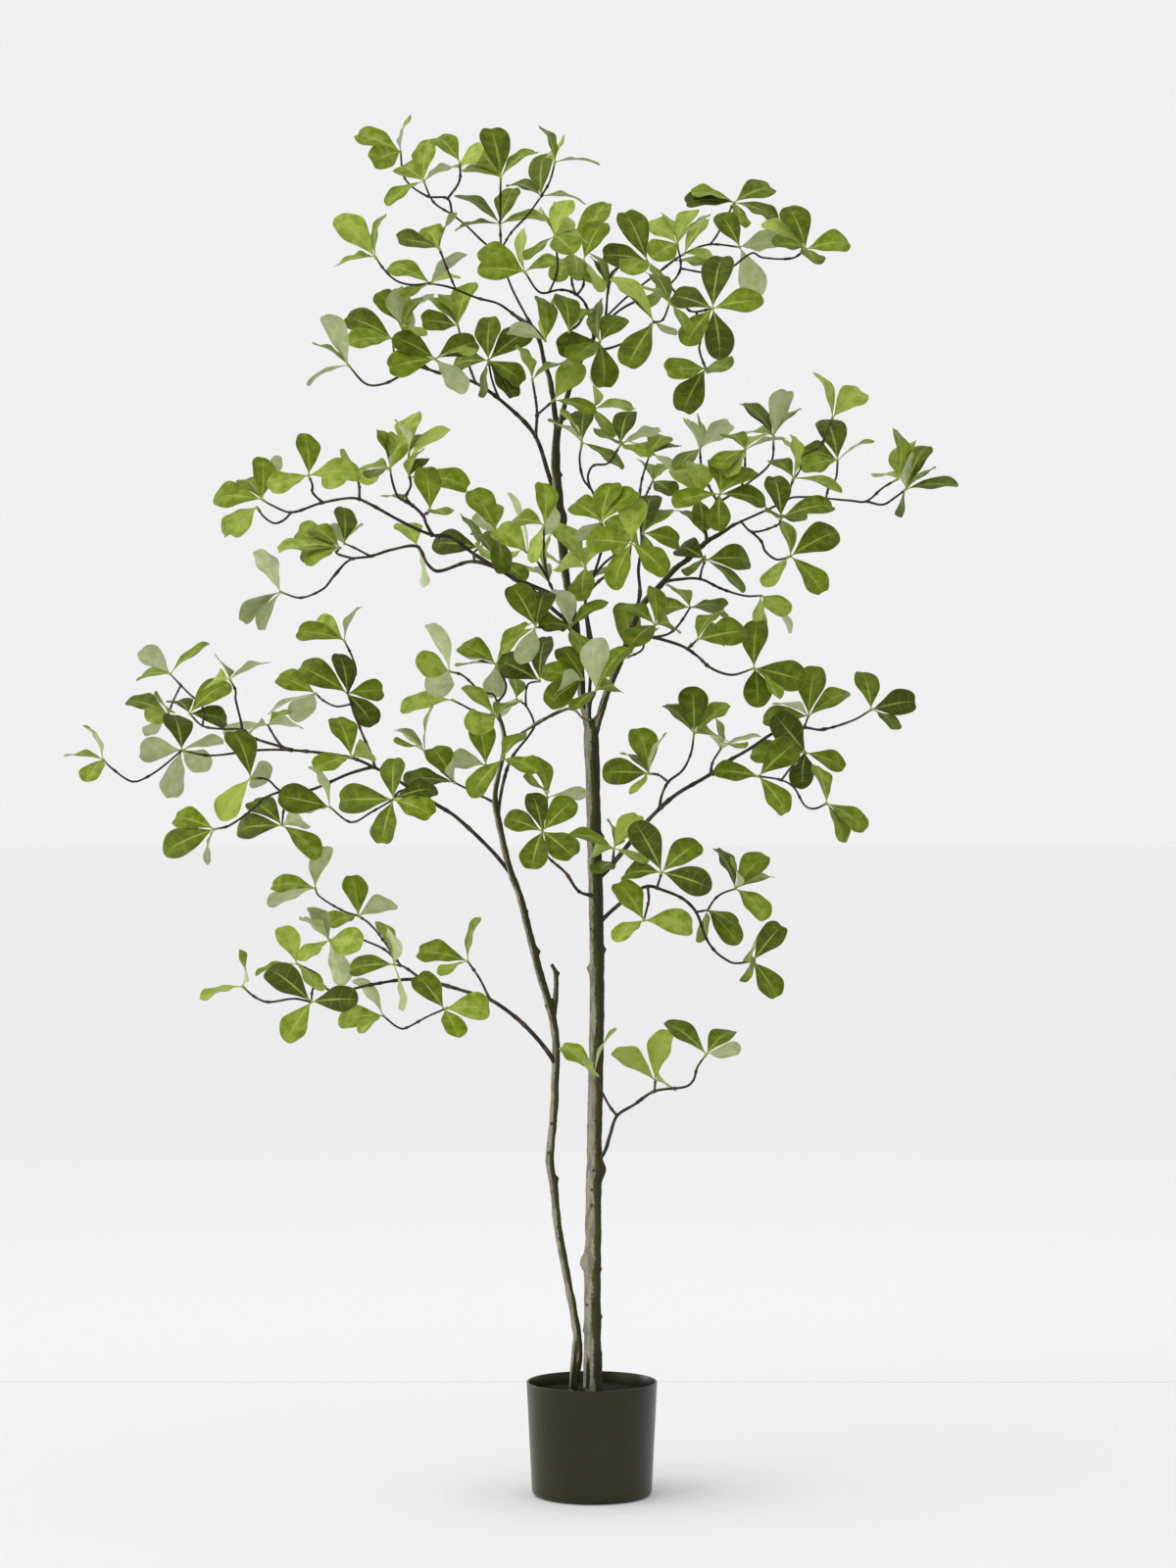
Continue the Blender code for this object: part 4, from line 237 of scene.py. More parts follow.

# The leafy branches, read from the front in cm. Each has rows for its limb and twigs: the depth of the
# twig's end, its route as (x, z) from foot to end, and the leaves there as (x and z of the tip, the share
# of the blade's breadth that shows, tone). Tones run V, D, M, L from darkest to lightest and hold painted
# light and shade, how lit or shaded each leaf is, as well as its own colour; P is the paler underside.
SPRAYS = {
    "branch_top_left_high": [
        (5, [(-9.9, 181.7), (-12.3, 186.3), (-13.6, 190), (-14, 192.5), (-14.2, 196.4)],
         [(-12.2, 202, .9, "M"), (-21.2, 201.2, .45, "D"), (-21.4, 195.5, .2, "D"), (-7, 197.6, .4, "M")]),
        (1, [(-14.2, 196.4), (-14.1, 203.6)],
         [(-15.4, 211.6, 1, "D"), (-17.6, 207.5, .9, "M"), (-20.2, 204.8, .45, "M"), (-8.7, 208.2, .35, "M")]),
        (10, [(-14, 192.5), (-16, 193), (-19.5, 196.2), (-21.6, 197.8), (-24.5, 199.8), (-26, 203)],
         [(-25.4, 209.7, .85, "M"), (-29.5, 205.5, 1, "M"), (-31.7, 199.4, .3, "M"), (-20.4, 205.6, .35, "P")]),
        (18, [(-21.6, 197.8), (-22.3, 200.3), (-25.5, 200.7), (-28.9, 203.4), (-29.6, 207.6)],
         [(-36.6, 210.3, .8, "M"), (-34.2, 206, 1, "M"), (-28.2, 213, .25, "P")]),
        (-2, [(-22.3, 200.4), (-20.5, 203), (-20.4, 205.9)],
         [(-24.3, 210.2, .75, "M"), (-16.9, 207.3, .6, "L")]),
        (-8, [(-14, 192.5), (-12.5, 195), (-9.9, 197.8), (-7.8, 200.7)],
         [(-7.4, 207.4, .8, "D"), (-12.7, 202.8, .35, "D"), (-0.7, 199.8, .3, "P")]),
        (-13, [(-7.8, 200.7), (-6.5, 203), (-5.7, 206)],
         [(-7.8, 211.9, .4, "D"), (-5, 208.6, .6, "L"), (1.3, 205.7, .12, "P")]),
    ],
    "branch_top_left_side": [
        (-5, [(-8.5, 179), (-14, 183.8), (-17.9, 185), (-22, 186.6), (-25, 187.2)],
         [(-31.5, 190.2, .6, "M"), (-19.6, 191.8, .45, "P"), (-21.2, 188.5, .5, "L"), (-29.2, 185.4, .3, "M")]),
        (-10, [(-25, 187.2), (-28, 187), (-30.2, 187.6), (-32, 189.2), (-33.5, 191.3)],
         [(-39.3, 197.6, .95, "L"), (-32.3, 198.1, .2, "M"), (-39.3, 190, .25, "M")]),
        (-14, [(-21.1, 186), (-22.2, 189), (-23.6, 192.6)],
         [(-21.3, 197.8, .15, "D"), (-25.6, 195.9, .8, "M"), (-30.4, 193.9, .6, "D")]),
        (-13, [(-12, 182.8), (-9, 180.4), (-7.2, 178.3)],
         [(-7.6, 185.4, .7, "M"), (-5.9, 184.5, .15, "L"), (-13.2, 180.2, .5, "P")]),
    ],
    "branch_top_middle": [
        (-12, [(0.1, 178.9), (-1, 184), (-3, 185.8), (-5, 186.2), (-8, 185.8), (-10.4, 189)],
         [(-17.6, 189.5, 1, "M"), (-17.4, 192.5, .8, "M"), (-10.3, 196, .35, "L"), (-3.8, 190.8, .5, "M")]),
        (-18, [(-6.4, 186.1), (-5.5, 188.5), (-5.3, 190.5), (-5.8, 194.4)],
         [(-7.5, 198, .5, "L"), (-4.2, 198.4, .7, "L"), (-1.4, 194.8, .45, "L"), (-2.9, 191.8, .8, "M"),
          (-10, 190.6, .4, "D")]),
        (3, [(-2.6, 185.6), (-3.1, 187.5), (-3, 191.8)],
         [(-5.4, 187.6, .8, "M"), (-2.2, 187.4, .8, "M"), (-2.4, 195.4, .5, "L"), (3, 199.7, .8, "M")]),
        (-6, [(-2.2, 185.5), (-1.3, 187), (-1.3, 190.8)],
         [(1.9, 197, .9, "M"), (1.1, 185.7, .3, "L"), (-0.4, 187.1, .45, "L")]),
        (-16, [(-0.2, 183.2), (-2, 181), (-3.6, 179.7)],
         [(-4.2, 185.6, 1, "D"), (-0.4, 183.6, .6, "M")]),
    ],
    "branch_top_right_high": [
        (7, [(1.2, 181), (3.5, 183.3), (5.3, 185), (10.3, 188.9), (14, 191.6), (18, 193.2), (22.9, 192.8)],
         [(19.7, 198.1, .9, "D"), (29, 193.8, .75, "P"), (25.3, 184.8, .9, "P")]),
        (15, [(18.4, 193.3), (19.3, 194.6), (20.5, 196.8), (22, 199.7)],
         [(27.8, 202.3, .75, "D"), (14.1, 199.6, .6, "V"), (15.1, 201.5, .2, "P"), (28.9, 196.8, .45, "D"),
          (22.9, 196, .8, "M")]),
        (-9, [(2.2, 182), (2.9, 188.4), (4.5, 189.8), (8.6, 190.6)],
         [(4.6, 198.6, .95, "D"), (1.3, 191.7, .7, "V"), (5.3, 189, .6, "M"), (11, 185.7, .5, "M")]),
        (0, [(13, 190.8), (14.3, 191.8)],
         [(18.2, 197.3, .6, "M"), (19.5, 190.8, .45, "L")]),
    ],
    "branch_top_right_low": [
        (-3, [(0.8, 180.2), (5, 183.5), (9.1, 185.4), (12, 187), (13.7, 189.5), (13.2, 193.4)],
         [(8.4, 196.8, .8, "L"), (9.2, 191, .85, "M"), (12.2, 197.7, .7, "L"), (15.8, 198.9, .45, "L"),
          (18.7, 197.8, .12, "P")]),
        (12, [(13.7, 189.4), (18.2, 188.8), (21, 189.3), (24.8, 191.9), (26.3, 191.2), (31, 191.1), (33.1, 192.5)],
         [(30.4, 199.4, .85, "D"), (39.9, 193.7, .9, "M"), (34.2, 190.2, .8, "D"), (28.2, 193.2, .5, "D"),
          (26.3, 196.8, .6, "L")]),
        (-12, [(12, 187), (13.5, 185), (15.3, 182.9), (18.7, 183.3)],
         [(20, 192, .95, "V"), (26.6, 184.6, .75, "M"), (12.2, 185.3, .85, "V"), (14.2, 177.5, .85, "D"),
          (19.8, 175.6, .95, "V")]),
        (-4, [(16.2, 182.9), (16.9, 179), (16.6, 177), (17.6, 174)],
         [(11.2, 173.3, .85, "M"), (21.4, 174, .65, "M"), (13.9, 167, .9, "D")]),
    ],
    "branch_top_right_under": [
        (-14, [(-0.8, 177), (1.8, 177), (4, 177.6), (7, 179), (9.6, 181.2)],
         [(5.4, 173.9, .95, "D"), (4.2, 186.8, .5, "L"), (3.5, 188.5, .2, "L"), (11.6, 179.2, .3, "P")]),
        (-19, [(9.6, 181.2), (10.9, 181.5), (12, 184.1)],
         [(9.3, 189.2, .6, "D"), (8.2, 186.8, .5, "L"), (14.5, 180, .4, "M")]),
        (-6, [(0.8, 177), (1.2, 178.1)],
         [(2.1, 170.9, .9, "D"), (4.7, 181.9, .85, "M"), (-5.5, 176.9, .95, "D"), (-3, 175, .6, "M"),
          (1.3, 184.5, .5, "D")]),
    ],
    "branch_upper_left": [
        (-4, [(-5.8, 152.5), (-6.8, 158), (-8.7, 163.5), (-12, 167.3), (-18, 171.8), (-23.8, 173.4), (-27, 174.2),
              (-31.8, 171.8), (-34.8, 171.6), (-37.7, 174.6)],
         [(-41.5, 182.5, .8, "P"), (-44.2, 171.5, .25, "P"), (-43.2, 178, .3, "M")]),
        (4, [(-27, 174.2), (-30.3, 176), (-30.8, 178.6)],
         [(-38, 182.3, .8, "D"), (-37.8, 178, .5, "M")]),
        (-15, [(-25.5, 173.8), (-28.6, 177.5), (-29.3, 180.6)],
         [(-33.2, 185.8, .8, "M"), (-30.3, 186.8, .4, "P"), (-24.9, 185.3, .2, "L"), (-26.5, 179.2, .25, "L"),
          (-26.5, 185, .7, "M")]),
        (12, [(-18, 171.8), (-19.5, 176), (-20.7, 180.6)],
         [(-18.9, 187.7, .75, "M"), (-22.4, 185.8, .7, "M"), (-26.6, 181.5, .8, "D")]),
        (-14, [(-22, 172.8), (-24.2, 175.5)],
         [(-30.8, 179, .8, "D"), (-31.9, 174.2, .95, "M"), (-17.6, 178.3, .8, "D"), (-18, 176.6, .25, "P"),
          (-20, 170.2, .8, "P")]),
        (-5, [(-14.5, 169.5), (-15.5, 172.5), (-16, 175.3)],
         [(-15.8, 182.2, 1, "D"), (-21.6, 174.5, .75, "D"), (-9.5, 180, .9, "D"), (-10.5, 171.8, .8, "D"),
          (-12, 169.2, .8, "V"), (-16.3, 169.6, .3, "D")]),
        (-16, [(-8.7, 163.5), (-8.5, 167.5), (-9.2, 172.4)],
         [(-11.5, 177.5, .45, "L"), (-3.5, 175.2, .25, "M")]),
        (-12, [(-8.5, 166.8), (-5.9, 169.1)],
         [(-1.5, 174.9, .9, "L"), (0, 167.3, .5, "M")]),
    ],
    "branch_left_high": [
        (-9, [(-2.3, 133), (-4, 135), (-6, 136.8), (-9, 139.6), (-12, 141.5), (-16, 144), (-18, 145.2), (-22, 148),
              (-24.7, 148.3), (-28.7, 150), (-35.6, 153.7), (-37.5, 154), (-42, 153.2), (-46.5, 151.8),
              (-49.7, 153), (-51, 153.8)],
         [(-51, 160.5, .95, "M"), (-48, 160, .2, "L"), (-53.8, 157, .7, "M"), (-58.7, 154, .8, "M")]),
        (-3, [(-46.5, 151.8), (-47.5, 150.7), (-49, 150.1), (-50.6, 151), (-51.8, 152.6)],
         [(-55.9, 148.5, .75, "L"), (-57.5, 148.5, .35, "M")]),
        (-14, [(-41.8, 153.3), (-43.2, 154.9), (-43.2, 156), (-43.8, 157.5)],
         [(-44.3, 164, .85, "M"), (-50, 155.2, .75, "L"), (-35.6, 158.1, .85, "L")]),
        (2, [(-35.8, 153.9), (-36, 156), (-36.8, 158.6)],
         [(-34.8, 156.2, .7, "L"), (-41, 155.8, .6, "L"), (-38.5, 160.1, .3, "L")]),
        (-16, [(-24.8, 148.5), (-25.6, 150), (-26.1, 151.3), (-28.3, 153.3), (-29.8, 154), (-30.7, 156), (-31.2, 158.4)],
         [(-32.8, 164.9, .5, "M"), (-30.1, 164.3, .4, "M"), (-36, 158.3, .25, "M"), (-29, 163.2, .2, "P"),
          (-34.2, 157.4, .2, "D")]),
        (-1, [(-28.3, 153.3), (-28.7, 154.3), (-28, 156), (-28.4, 158.5), (-28.3, 161)],
         [(-27.6, 167.5, .85, "L"), (-30.1, 166.3, .15, "P"), (-24.8, 163.8, .3, "M")]),
        (-4, [(-27.6, 152.7), (-28.9, 153.4)],
         [(-31.8, 154.3, .3, "D")]),
        (-19, [(-26.1, 151.3), (-25, 152)],
         [(-26, 159, .95, "M"), (-22.4, 151.2, .3, "M")]),
    ],
    "branch_left_long": [
        (6, [(-3.2, 137), (-6, 139), (-10, 140.8), (-13.5, 142.7), (-18.5, 144.2), (-23.8, 142.7), (-25.4, 143.8),
             (-27, 146.5), (-31, 146), (-34.2, 145), (-37.5, 144.4), (-40, 141.8), (-41.5, 140), (-45, 138.6),
             (-48.2, 139.5)],
         [(-52, 146, .75, "P"), (-54.5, 135, .45, "P")]),
        (11, [(-26.9, 146.3), (-27, 146.6)],
         [(-29.2, 150.2, .95, "L"), (-26.3, 140.3, .2, "P")]),
        (0, [(-34.2, 145), (-36.5, 146.2), (-38.3, 147)],
         [(-38.6, 152.7, .85, "D"), (-42, 149.5, .8, "P"), (-36.6, 149.2, .5, "L")]),
        (-6, [(-37, 144.4), (-39.5, 145.5), (-38.9, 146.3)],
         [(-45, 146, .9, "D"), (-43.8, 143.7, .3, "M"), (-43.5, 149.8, .8, "M"), (-49, 146, .3, "L")]),
        (13, [(-18, 144.3), (-18.2, 145.6), (-17.3, 146.3)],
         [(-24.7, 147.2, .95, "V"), (-20.2, 151.6, .5, "D"), (-13.3, 148.3, .6, "D"), (-16.4, 144.9, .3, "L")]),
        (2, [(-15, 143.5), (-14.6, 144)],
         [(-10.2, 141.5, .65, "D"), (-18.3, 149, .35, "D")]),
    ],
    "branch_left_near": [
        (-12, [(-2, 130.5), (-4.4, 136), (-6.8, 141.4), (-8.5, 144.3), (-9.8, 145.5)],
         [(-15, 149.8, .95, "L"), (-13.5, 155.2, .1, "P"), (-4.6, 143.8, .4, "L")]),
        (-20, [(-6.8, 141.4), (-7.4, 145), (-7.4, 149.8)],
         [(-7.4, 156.7, .85, "M"), (-12.4, 150.6, .55, "M"), (-8.8, 143.8, .6, "L"), (-5.2, 150.3, .7, "P")]),
        (-3, [(-9, 144.8), (-12, 147), (-14.9, 148.9)],
         [(-16.5, 153.9, .85, "L"), (-17.4, 150, .2, "P"), (-18.5, 155.5, .8, "M"), (-14.2, 142.6, .5, "D")]),
        (-16, [(-4, 135), (-6.5, 134.2), (-8.7, 134)],
         [(-12.2, 140.8, .95, "D"), (-7.1, 140, .95, "V"), (-14.2, 130.3, .4, "M"), (-10.2, 128.4, .8, "P")]),
        (-9, [(-3.6, 134.4), (-3.4, 134)],
         [(-5.4, 140, .75, "P"), (-8, 134.6, .8, "D"), (2.6, 138.2, .6, "M"), (-1.5, 129.6, .6, "M")]),
    ],
    "branch_centre": [
        (-6, [(-0.4, 121), (-0.2, 128), (-0.6, 133), (-1, 138), (0.1, 141.5), (1.5, 146), (1.8, 148.5), (1.2, 151),
              (0.1, 155), (-1.3, 156.9), (-1.9, 160), (-1.5, 162.6)],
         [(-1, 168, .9, "D"), (-6.7, 165.9, .25, "P"), (4.7, 158.3, .5, "D"), (-4.6, 167, .15, "L")]),
        (-15, [(-0.2, 155.6), (-0.6, 157.5), (0.2, 159), (2.5, 159.4), (4.4, 162.2)],
         [(5.6, 167.7, .95, "V"), (1, 163.4, .25, "D"), (7.9, 160.4, .4, "M"), (11, 164.3, .4, "P")]),
        (-16, [(1.7, 148.5), (1.5, 150.3)],
         [(-2.9, 153.5, .85, "M"), (7.2, 155.3, .7, "M"), (3, 156.6, .85, "M"), (-1.8, 147.4, .6, "P")]),
        (-14, [(-0.6, 139), (1.5, 141.5), (3.3, 142.4), (5.4, 143.6), (6.1, 147)],
         [(3.3, 140, .85, "M"), (11.8, 142.4, .85, "M"), (-1, 147.3, .95, "M"), (6, 154.4, .95, "L")]),
        (2, [(-0.4, 139.6), (-0.8, 141.5), (-1, 143.3)],
         [(-5.8, 150, .65, "L"), (0.9, 146.8, .7, "L"), (-5.4, 143.9, .75, "L"), (-1.2, 138.4, .9, "M")]),
        (-14, [(-0.9, 137.2), (-0.2, 133), (0.8, 128), (0.7, 124.3)],
         [(0.9, 132.6, .95, "P"), (5.3, 131.2, .55, "M"), (4, 124.9, .8, "M"), (-2.8, 121, .5, "D")]),
        (3, [(0.2, 141.8), (2, 144), (3.8, 145.2), (3.6, 143.6)],
         [(5.9, 149.3, .6, "M"), (-0.6, 141, .3, "M")]),
    ],
    "branch_high_middle": [
        (4, [(-4.6, 166), (-2.5, 167.2), (0.3, 167.8)],
         [(6.6, 168, .4, "L"), (-0.1, 172.4, .25, "L"), (2.5, 163.4, .5, "M")]),
    ],
    "branch_right_centre": [
        (8, [(6, 133.4), (7.4, 139), (7.2, 143), (7.7, 147), (7.4, 152), (7.6, 156.2), (8.9, 160.7)],
         [(11.3, 163.9, .9, "M"), (6.3, 162.7, .5, "M"), (13.4, 162.4, .7, "D"), (12.6, 158.6, .3, "P")]),
        (14, [(7.5, 152), (8.4, 154.5), (9.4, 156.6)],
         [(12.8, 154.5, .8, "D"), (8.1, 159.4, .5, "M"), (13.2, 159.8, .2, "M")]),
        (-8, [(7.6, 146), (7.9, 148.6)],
         [(9.4, 154.9, .95, "V"), (13.8, 147.1, .85, "M"), (12.8, 152.6, .6, "M"), (9, 143.6, .6, "M")]),
    ],
    "branch_right_upper": [
        (2, [(17.7, 147.4), (17.6, 150), (19, 152.8), (21, 154.2), (24, 156.2), (27.7, 159.6), (28.1, 163.6)],
         [(23.2, 169, .4, "D"), (30.4, 171, .75, "P"), (31.4, 167.8, .45, "M"), (24, 164.2, .3, "L"),
          (31.6, 160.6, .25, "L")]),
        (-10, [(23, 155.6), (23.6, 158), (23.7, 161.5)],
         [(21, 164.2, .6, "M"), (25.6, 163.8, .7, "L"), (19, 158.4, .6, "M"), (30, 163.1, .12, "P"),
          (21.9, 157.4, .6, "L")]),
        (-16, [(18.4, 152), (19.2, 153.4), (19.8, 154.6)],
         [(19.7, 148.8, .95, "D"), (25.5, 158.4, .55, "M"), (27.1, 153.6, .6, "D"), (19.4, 159.9, .85, "M"),
          (12.2, 153.2, .5, "M")]),
        (13, [(19.4, 153.2), (18, 156), (17, 158.4), (16.7, 161.6)],
         [(13.2, 158.4, .6, "D"), (15.1, 166, .5, "P"), (16.5, 166.8, .4, "M"), (21.8, 165.6, .7, "P")]),
        (-6, [(17.6, 150.4), (16.8, 152.4), (16.4, 154)],
         [(16.2, 160, .85, "L"), (12.8, 158.6, .7, "L"), (17, 149.4, .8, "D")]),
    ],
    "branch_right_long": [
        (-4, [(22, 149.9), (28.2, 152.7), (30, 153.6), (31, 154.1), (34.2, 154.1), (40.1, 153.6), (42.4, 153.5),
              (45, 155.6), (47.4, 157)],
         [(47.2, 165.1, .55, "M"), (49, 162.6, .6, "M"), (44.7, 157.6, .4, "L")]),
        (3, [(42.4, 153.5), (45, 153), (47, 154.2), (48.6, 155.4)],
         [(51.8, 162.4, .75, "D"), (49, 161, .7, "P"), (56.7, 155.9, .45, "D"), (53, 158.4, .3, "M"),
          (48.2, 152, .2, "D")]),
        (5, [(36.2, 154.1), (36.7, 155.8), (37.7, 157), (38, 159.8)],
         [(36.3, 166.6, .9, "V"), (32.2, 158.5, .65, "M"), (32.3, 161.7, .5, "D"), (43.7, 163.1, .1, "P")]),
        (-9, [(30, 153.6), (31.2, 157.1)],
         [(38.7, 155.1, .3, "M"), (27.7, 160.2, .6, "D"), (31, 164, .3, "L")]),
        (11, [(31.1, 156.8), (32.2, 158.5), (32.3, 160.3), (35.2, 162), (37.2, 166.4)],
         [(41.9, 171.1, .9, "L"), (34.7, 173.8, .35, "L"), (35.8, 161, .3, "M")]),
        (-14, [(23, 150.4), (24.8, 148.8), (28.8, 149.9), (29.3, 151)],
         [(27.9, 157.8, .9, "V"), (37.8, 152.9, .7, "D"), (32.2, 150.3, .4, "D"), (28.3, 150.9, .3, "D")]),
        (-8, [(24.6, 148.8), (26.2, 147.3), (26.8, 145.8), (28.6, 144.5), (30.7, 145)],
         [(38.1, 149, .9, "D"), (35.9, 139, .65, "M"), (27.1, 140.1, .35, "L"), (29.1, 151, .45, "M")]),
    ],
    "branch_right_under": [
        (4, [(11, 141.2), (13, 141.4), (16.7, 141.5), (20, 140), (23.6, 138.9), (26.2, 138.9)],
         [(30.2, 136, .85, "L"), (31.1, 133.2, .12, "P"), (26.4, 133.8, .3, "L")]),
        (-5, [(16.7, 141.5), (17, 143), (17.6, 144.5)],
         [(13.2, 146.8, .95, "V"), (24.7, 144.5, .9, "D"), (23.4, 139.2, .4, "D"), (15.3, 142.6, .2, "D")]),
    ],
    "branch_right_mid": [
        (-7, [(5.6, 132.4), (9, 132.5), (11, 132.1), (14.2, 131), (16.4, 129.5), (18, 128), (20, 127), (22, 126.7),
              (25.1, 127.7)],
         [(25.7, 135.4, .9, "D"), (25.9, 121.7, .95, "D"), (33.2, 125.6, .95, "D"), (28.3, 123.5, .4, "M")]),
        (6, [(9.8, 132.5), (12, 133.1), (13.5, 134.5), (15.2, 137.1)],
         [(9.6, 136.6, .75, "M"), (21, 136.6, .45, "D"), (21.5, 135.1, .35, "M"), (12.4, 140.6, .6, "M")]),
        (-13, [(14.9, 130.9), (16.3, 132.1)],
         [(24, 133.3, 1, "D"), (20.3, 132.9, .9, "L"), (19.6, 136.8, .5, "M")]),
        (-15, [(8, 132.5), (9.2, 133.2), (9.8, 134.4)],
         [(6, 131.2, .7, "D"), (9.4, 140.4, .7, "M"), (12.6, 134.4, .7, "M"), (4.6, 137.6, .6, "M")]),
        (3, [(8.2, 132.4), (7.8, 130.6), (5.6, 129.4)],
         [(4.9, 137.9, .85, "M"), (2.3, 126.6, .4, "M"), (9.4, 134.9, .3, "M")]),
    ],
    "branch_right": [
        (2, [(1.4, 94.8), (3, 97.2), (6.5, 101.5), (8.8, 104.3), (12.8, 108), (18.3, 111.3), (20.5, 113), (24, 115),
             (28.8, 118), (33, 118.5), (35.5, 118.2), (40.5, 119.7), (43.2, 121.3)],
         [(41.8, 127.3, .9, "D"), (50.3, 122.5, .9, "V"), (47.1, 118.3, .2, "D")]),
        (-10, [(18.3, 111.3), (22, 111.2), (25.8, 111)],
         [(18.9, 111.6, .85, "D"), (30.1, 105.1, .9, "M"), (31.6, 116.3, .95, "D")]),
        (-3, [(25.8, 111), (29.3, 110.4), (31.2, 109.3), (33, 106.4), (34.5, 106), (36.3, 106.8)],
         [(34.5, 112.8, .55, "M"), (42.6, 102.6, .65, "M"), (39, 100.6, .55, "M")]),
        (8, [(29.3, 110.4), (31, 112.6), (33.1, 114.6)],
         [(28, 120.4, .9, "V"), (39.3, 112.3, .8, "M"), (32.5, 109, .85, "V"), (26.6, 115, .8, "M")]),
        (15, [(30, 118.2), (32.3, 118), (33.5, 120.3)],
         [(34.8, 128.2, .95, "D"), (39.9, 124, .7, "M"), (26.3, 119.8, .85, "D"), (28.6, 122.4, .2, "P")]),
        (10, [(18.3, 111.5), (18.7, 113.2), (19.9, 115.2)],
         [(18.6, 120.9, .3, "M"), (26.4, 117.2, .15, "P"), (22.8, 115.7, .2, "P"), (16.9, 118.6, .4, "P")]),
        (-8, [(10.4, 105.9), (10.8, 108), (11.8, 110.1), (14, 111.9), (15.3, 114.5), (15.8, 117.6)],
         [(11.1, 122.3, .6, "D"), (15.8, 125, .95, "D"), (21.3, 122.1, .5, "M"), (20.2, 116.8, .35, "M")]),
        (-14, [(11.8, 110.1), (10.3, 111.2), (8.8, 111.4)],
         [(7.3, 118.8, .9, "M"), (1.5, 111.7, .95, "D"), (4.8, 114.9, .5, "D"), (11.4, 117.5, .12, "P"),
          (6.9, 108.3, .2, "L")]),
        (-12, [(3.2, 97.5), (3.4, 99.8)],
         [(7.3, 105.3, .8, "L"), (2.9, 103.7, .35, "M"), (8.1, 97.2, .4, "L"), (-0.3, 99, .6, "L"),
          (-4.1, 102.3, .5, "M")]),
    ],
    "branch_right_low": [
        (-5, [(1.4, 88), (4, 91), (7.5, 93.6), (9, 94), (10.4, 93.6), (14, 92.1), (16.1, 90), (17.7, 85.9), (19, 84),
              (20.5, 82.8), (22, 82.1), (24.9, 82.4)],
         [(29.9, 88, .9, "V"), (28.8, 76.7, .95, "D"), (24.5, 79.9, .2, "D"), (25.2, 85, .25, "M")]),
        (-13, [(10.2, 93.7), (10.8, 96.1)],
         [(6.9, 104.1, .95, "V"), (16.6, 100.9, .85, "D"), (18.5, 93.9, .95, "V"), (4.6, 95.6, .65, "D")]),
        (-10, [(8.4, 93.8), (8.8, 92.1), (8.5, 90.5), (8, 88.7)],
         [(4.1, 95, .95, "M"), (15.9, 88.1, .9, "L"), (3.9, 85.7, .65, "L")]),
        (1, [(16.1, 89.9), (17.9, 90.3)],
         [(22.6, 84.9, .9, "M"), (17.8, 85.8, .35, "M"), (22.2, 87.8, .4, "D")]),
        (5, [(17.9, 90.3), (19, 92), (20.2, 92.9), (22.2, 93.6)],
         [(27, 99.1, .9, "M"), (27.3, 89.1, .7, "M"), (21.9, 97.8, .12, "P"), (19.2, 100.2, .55, "V")]),
    ],
    "branch_lowest": [
        (-6, [(1.8, 50.5), (2, 53), (2.8, 55.5), (3.9, 58.5), (6.5, 60.2), (9.7, 62.3), (14.5, 63), (15.7, 64),
              (16.3, 66), (17.7, 68)],
         [(11.2, 73, .7, "D"), (21.5, 72, .8, "D"), (22.8, 68.2, .45, "P")]),
        (-1, [(9.7, 62.4), (9.8, 63.9)],
         [(11.7, 72, .8, "L"), (3.2, 68.8, .7, "L"), (11.6, 63.2, .4, "L")]),
        (-11, [(3.9, 58.5), (2.6, 60.2), (1, 63.5), (0.4, 65.2)],
         [(-5, 69.4, .75, "L"), (3.7, 72.2, .12, "P"), (-1.5, 66.2, .5, "L")]),
    ],
    "branch_left_low": [
        (-6, [(-6, 66.8), (-7.5, 69.3), (-10, 72.1), (-12.5, 74.3), (-15.8, 76.5), (-18.8, 77.5), (-24, 79),
              (-28.3, 79.6), (-34.5, 78.7), (-37.5, 78), (-40, 77.7), (-41.5, 78.6), (-42.2, 80.2), (-45.6, 82)],
         [(-48, 88, .9, "L"), (-52, 80.2, .35, "M"), (-42.6, 77.6, .6, "L")]),
        (-14, [(-17, 77), (-19.5, 76), (-22.8, 75)],
         [(-27.3, 80.4, .95, "D"), (-15.5, 75.4, .95, "L"), (-20.9, 70.5, .95, "M")]),
        (2, [(-22.8, 75), (-25.5, 73.8), (-29, 72), (-30.2, 72.3), (-32.3, 74)],
         [(-39.3, 73.1, .75, "M"), (-35.7, 71.6, .45, "L"), (-36.8, 79.9, .4, "P")]),
        (8, [(-15.8, 76.6), (-17.3, 79.6), (-19.2, 82.4)],
         [(-27.3, 83.9, .75, "M"), (-17.3, 89.4, .25, "M"), (-23.4, 80.2, .2, "L")]),
        (-12, [(-26, 79.4), (-29, 81.5), (-30.6, 81.9)],
         [(-37.6, 81.3, .8, "D"), (-31.4, 87.4, .55, "P"), (-33, 88.8, .45, "M"), (-29.8, 74.5, .12, "P")]),
        (7, [(-29.6, 81.7), (-32.8, 86.4), (-34.5, 88.3), (-36.1, 89.4)],
         [(-37.3, 95.9, .9, "M"), (-41.2, 88, .55, "M"), (-30.4, 91.6, .8, "P")]),
        (12, [(-36.1, 89.4), (-38.5, 90.2), (-42.2, 92.5), (-42.8, 93.7)],
         [(-49.8, 94.3, .7, "M"), (-41.2, 100.4, .7, "P"), (-50, 90.7, .5, "P")]),
        (0, [(-29.8, 82.6), (-32.2, 84.3), (-35.8, 85.9), (-37, 86.7), (-40.6, 85.6)],
         [(-43.4, 91, .8, "P"), (-35.4, 84.8, .95, "L"), (-38.7, 78.7, .8, "P"), (-45, 82.4, .6, "L")]),
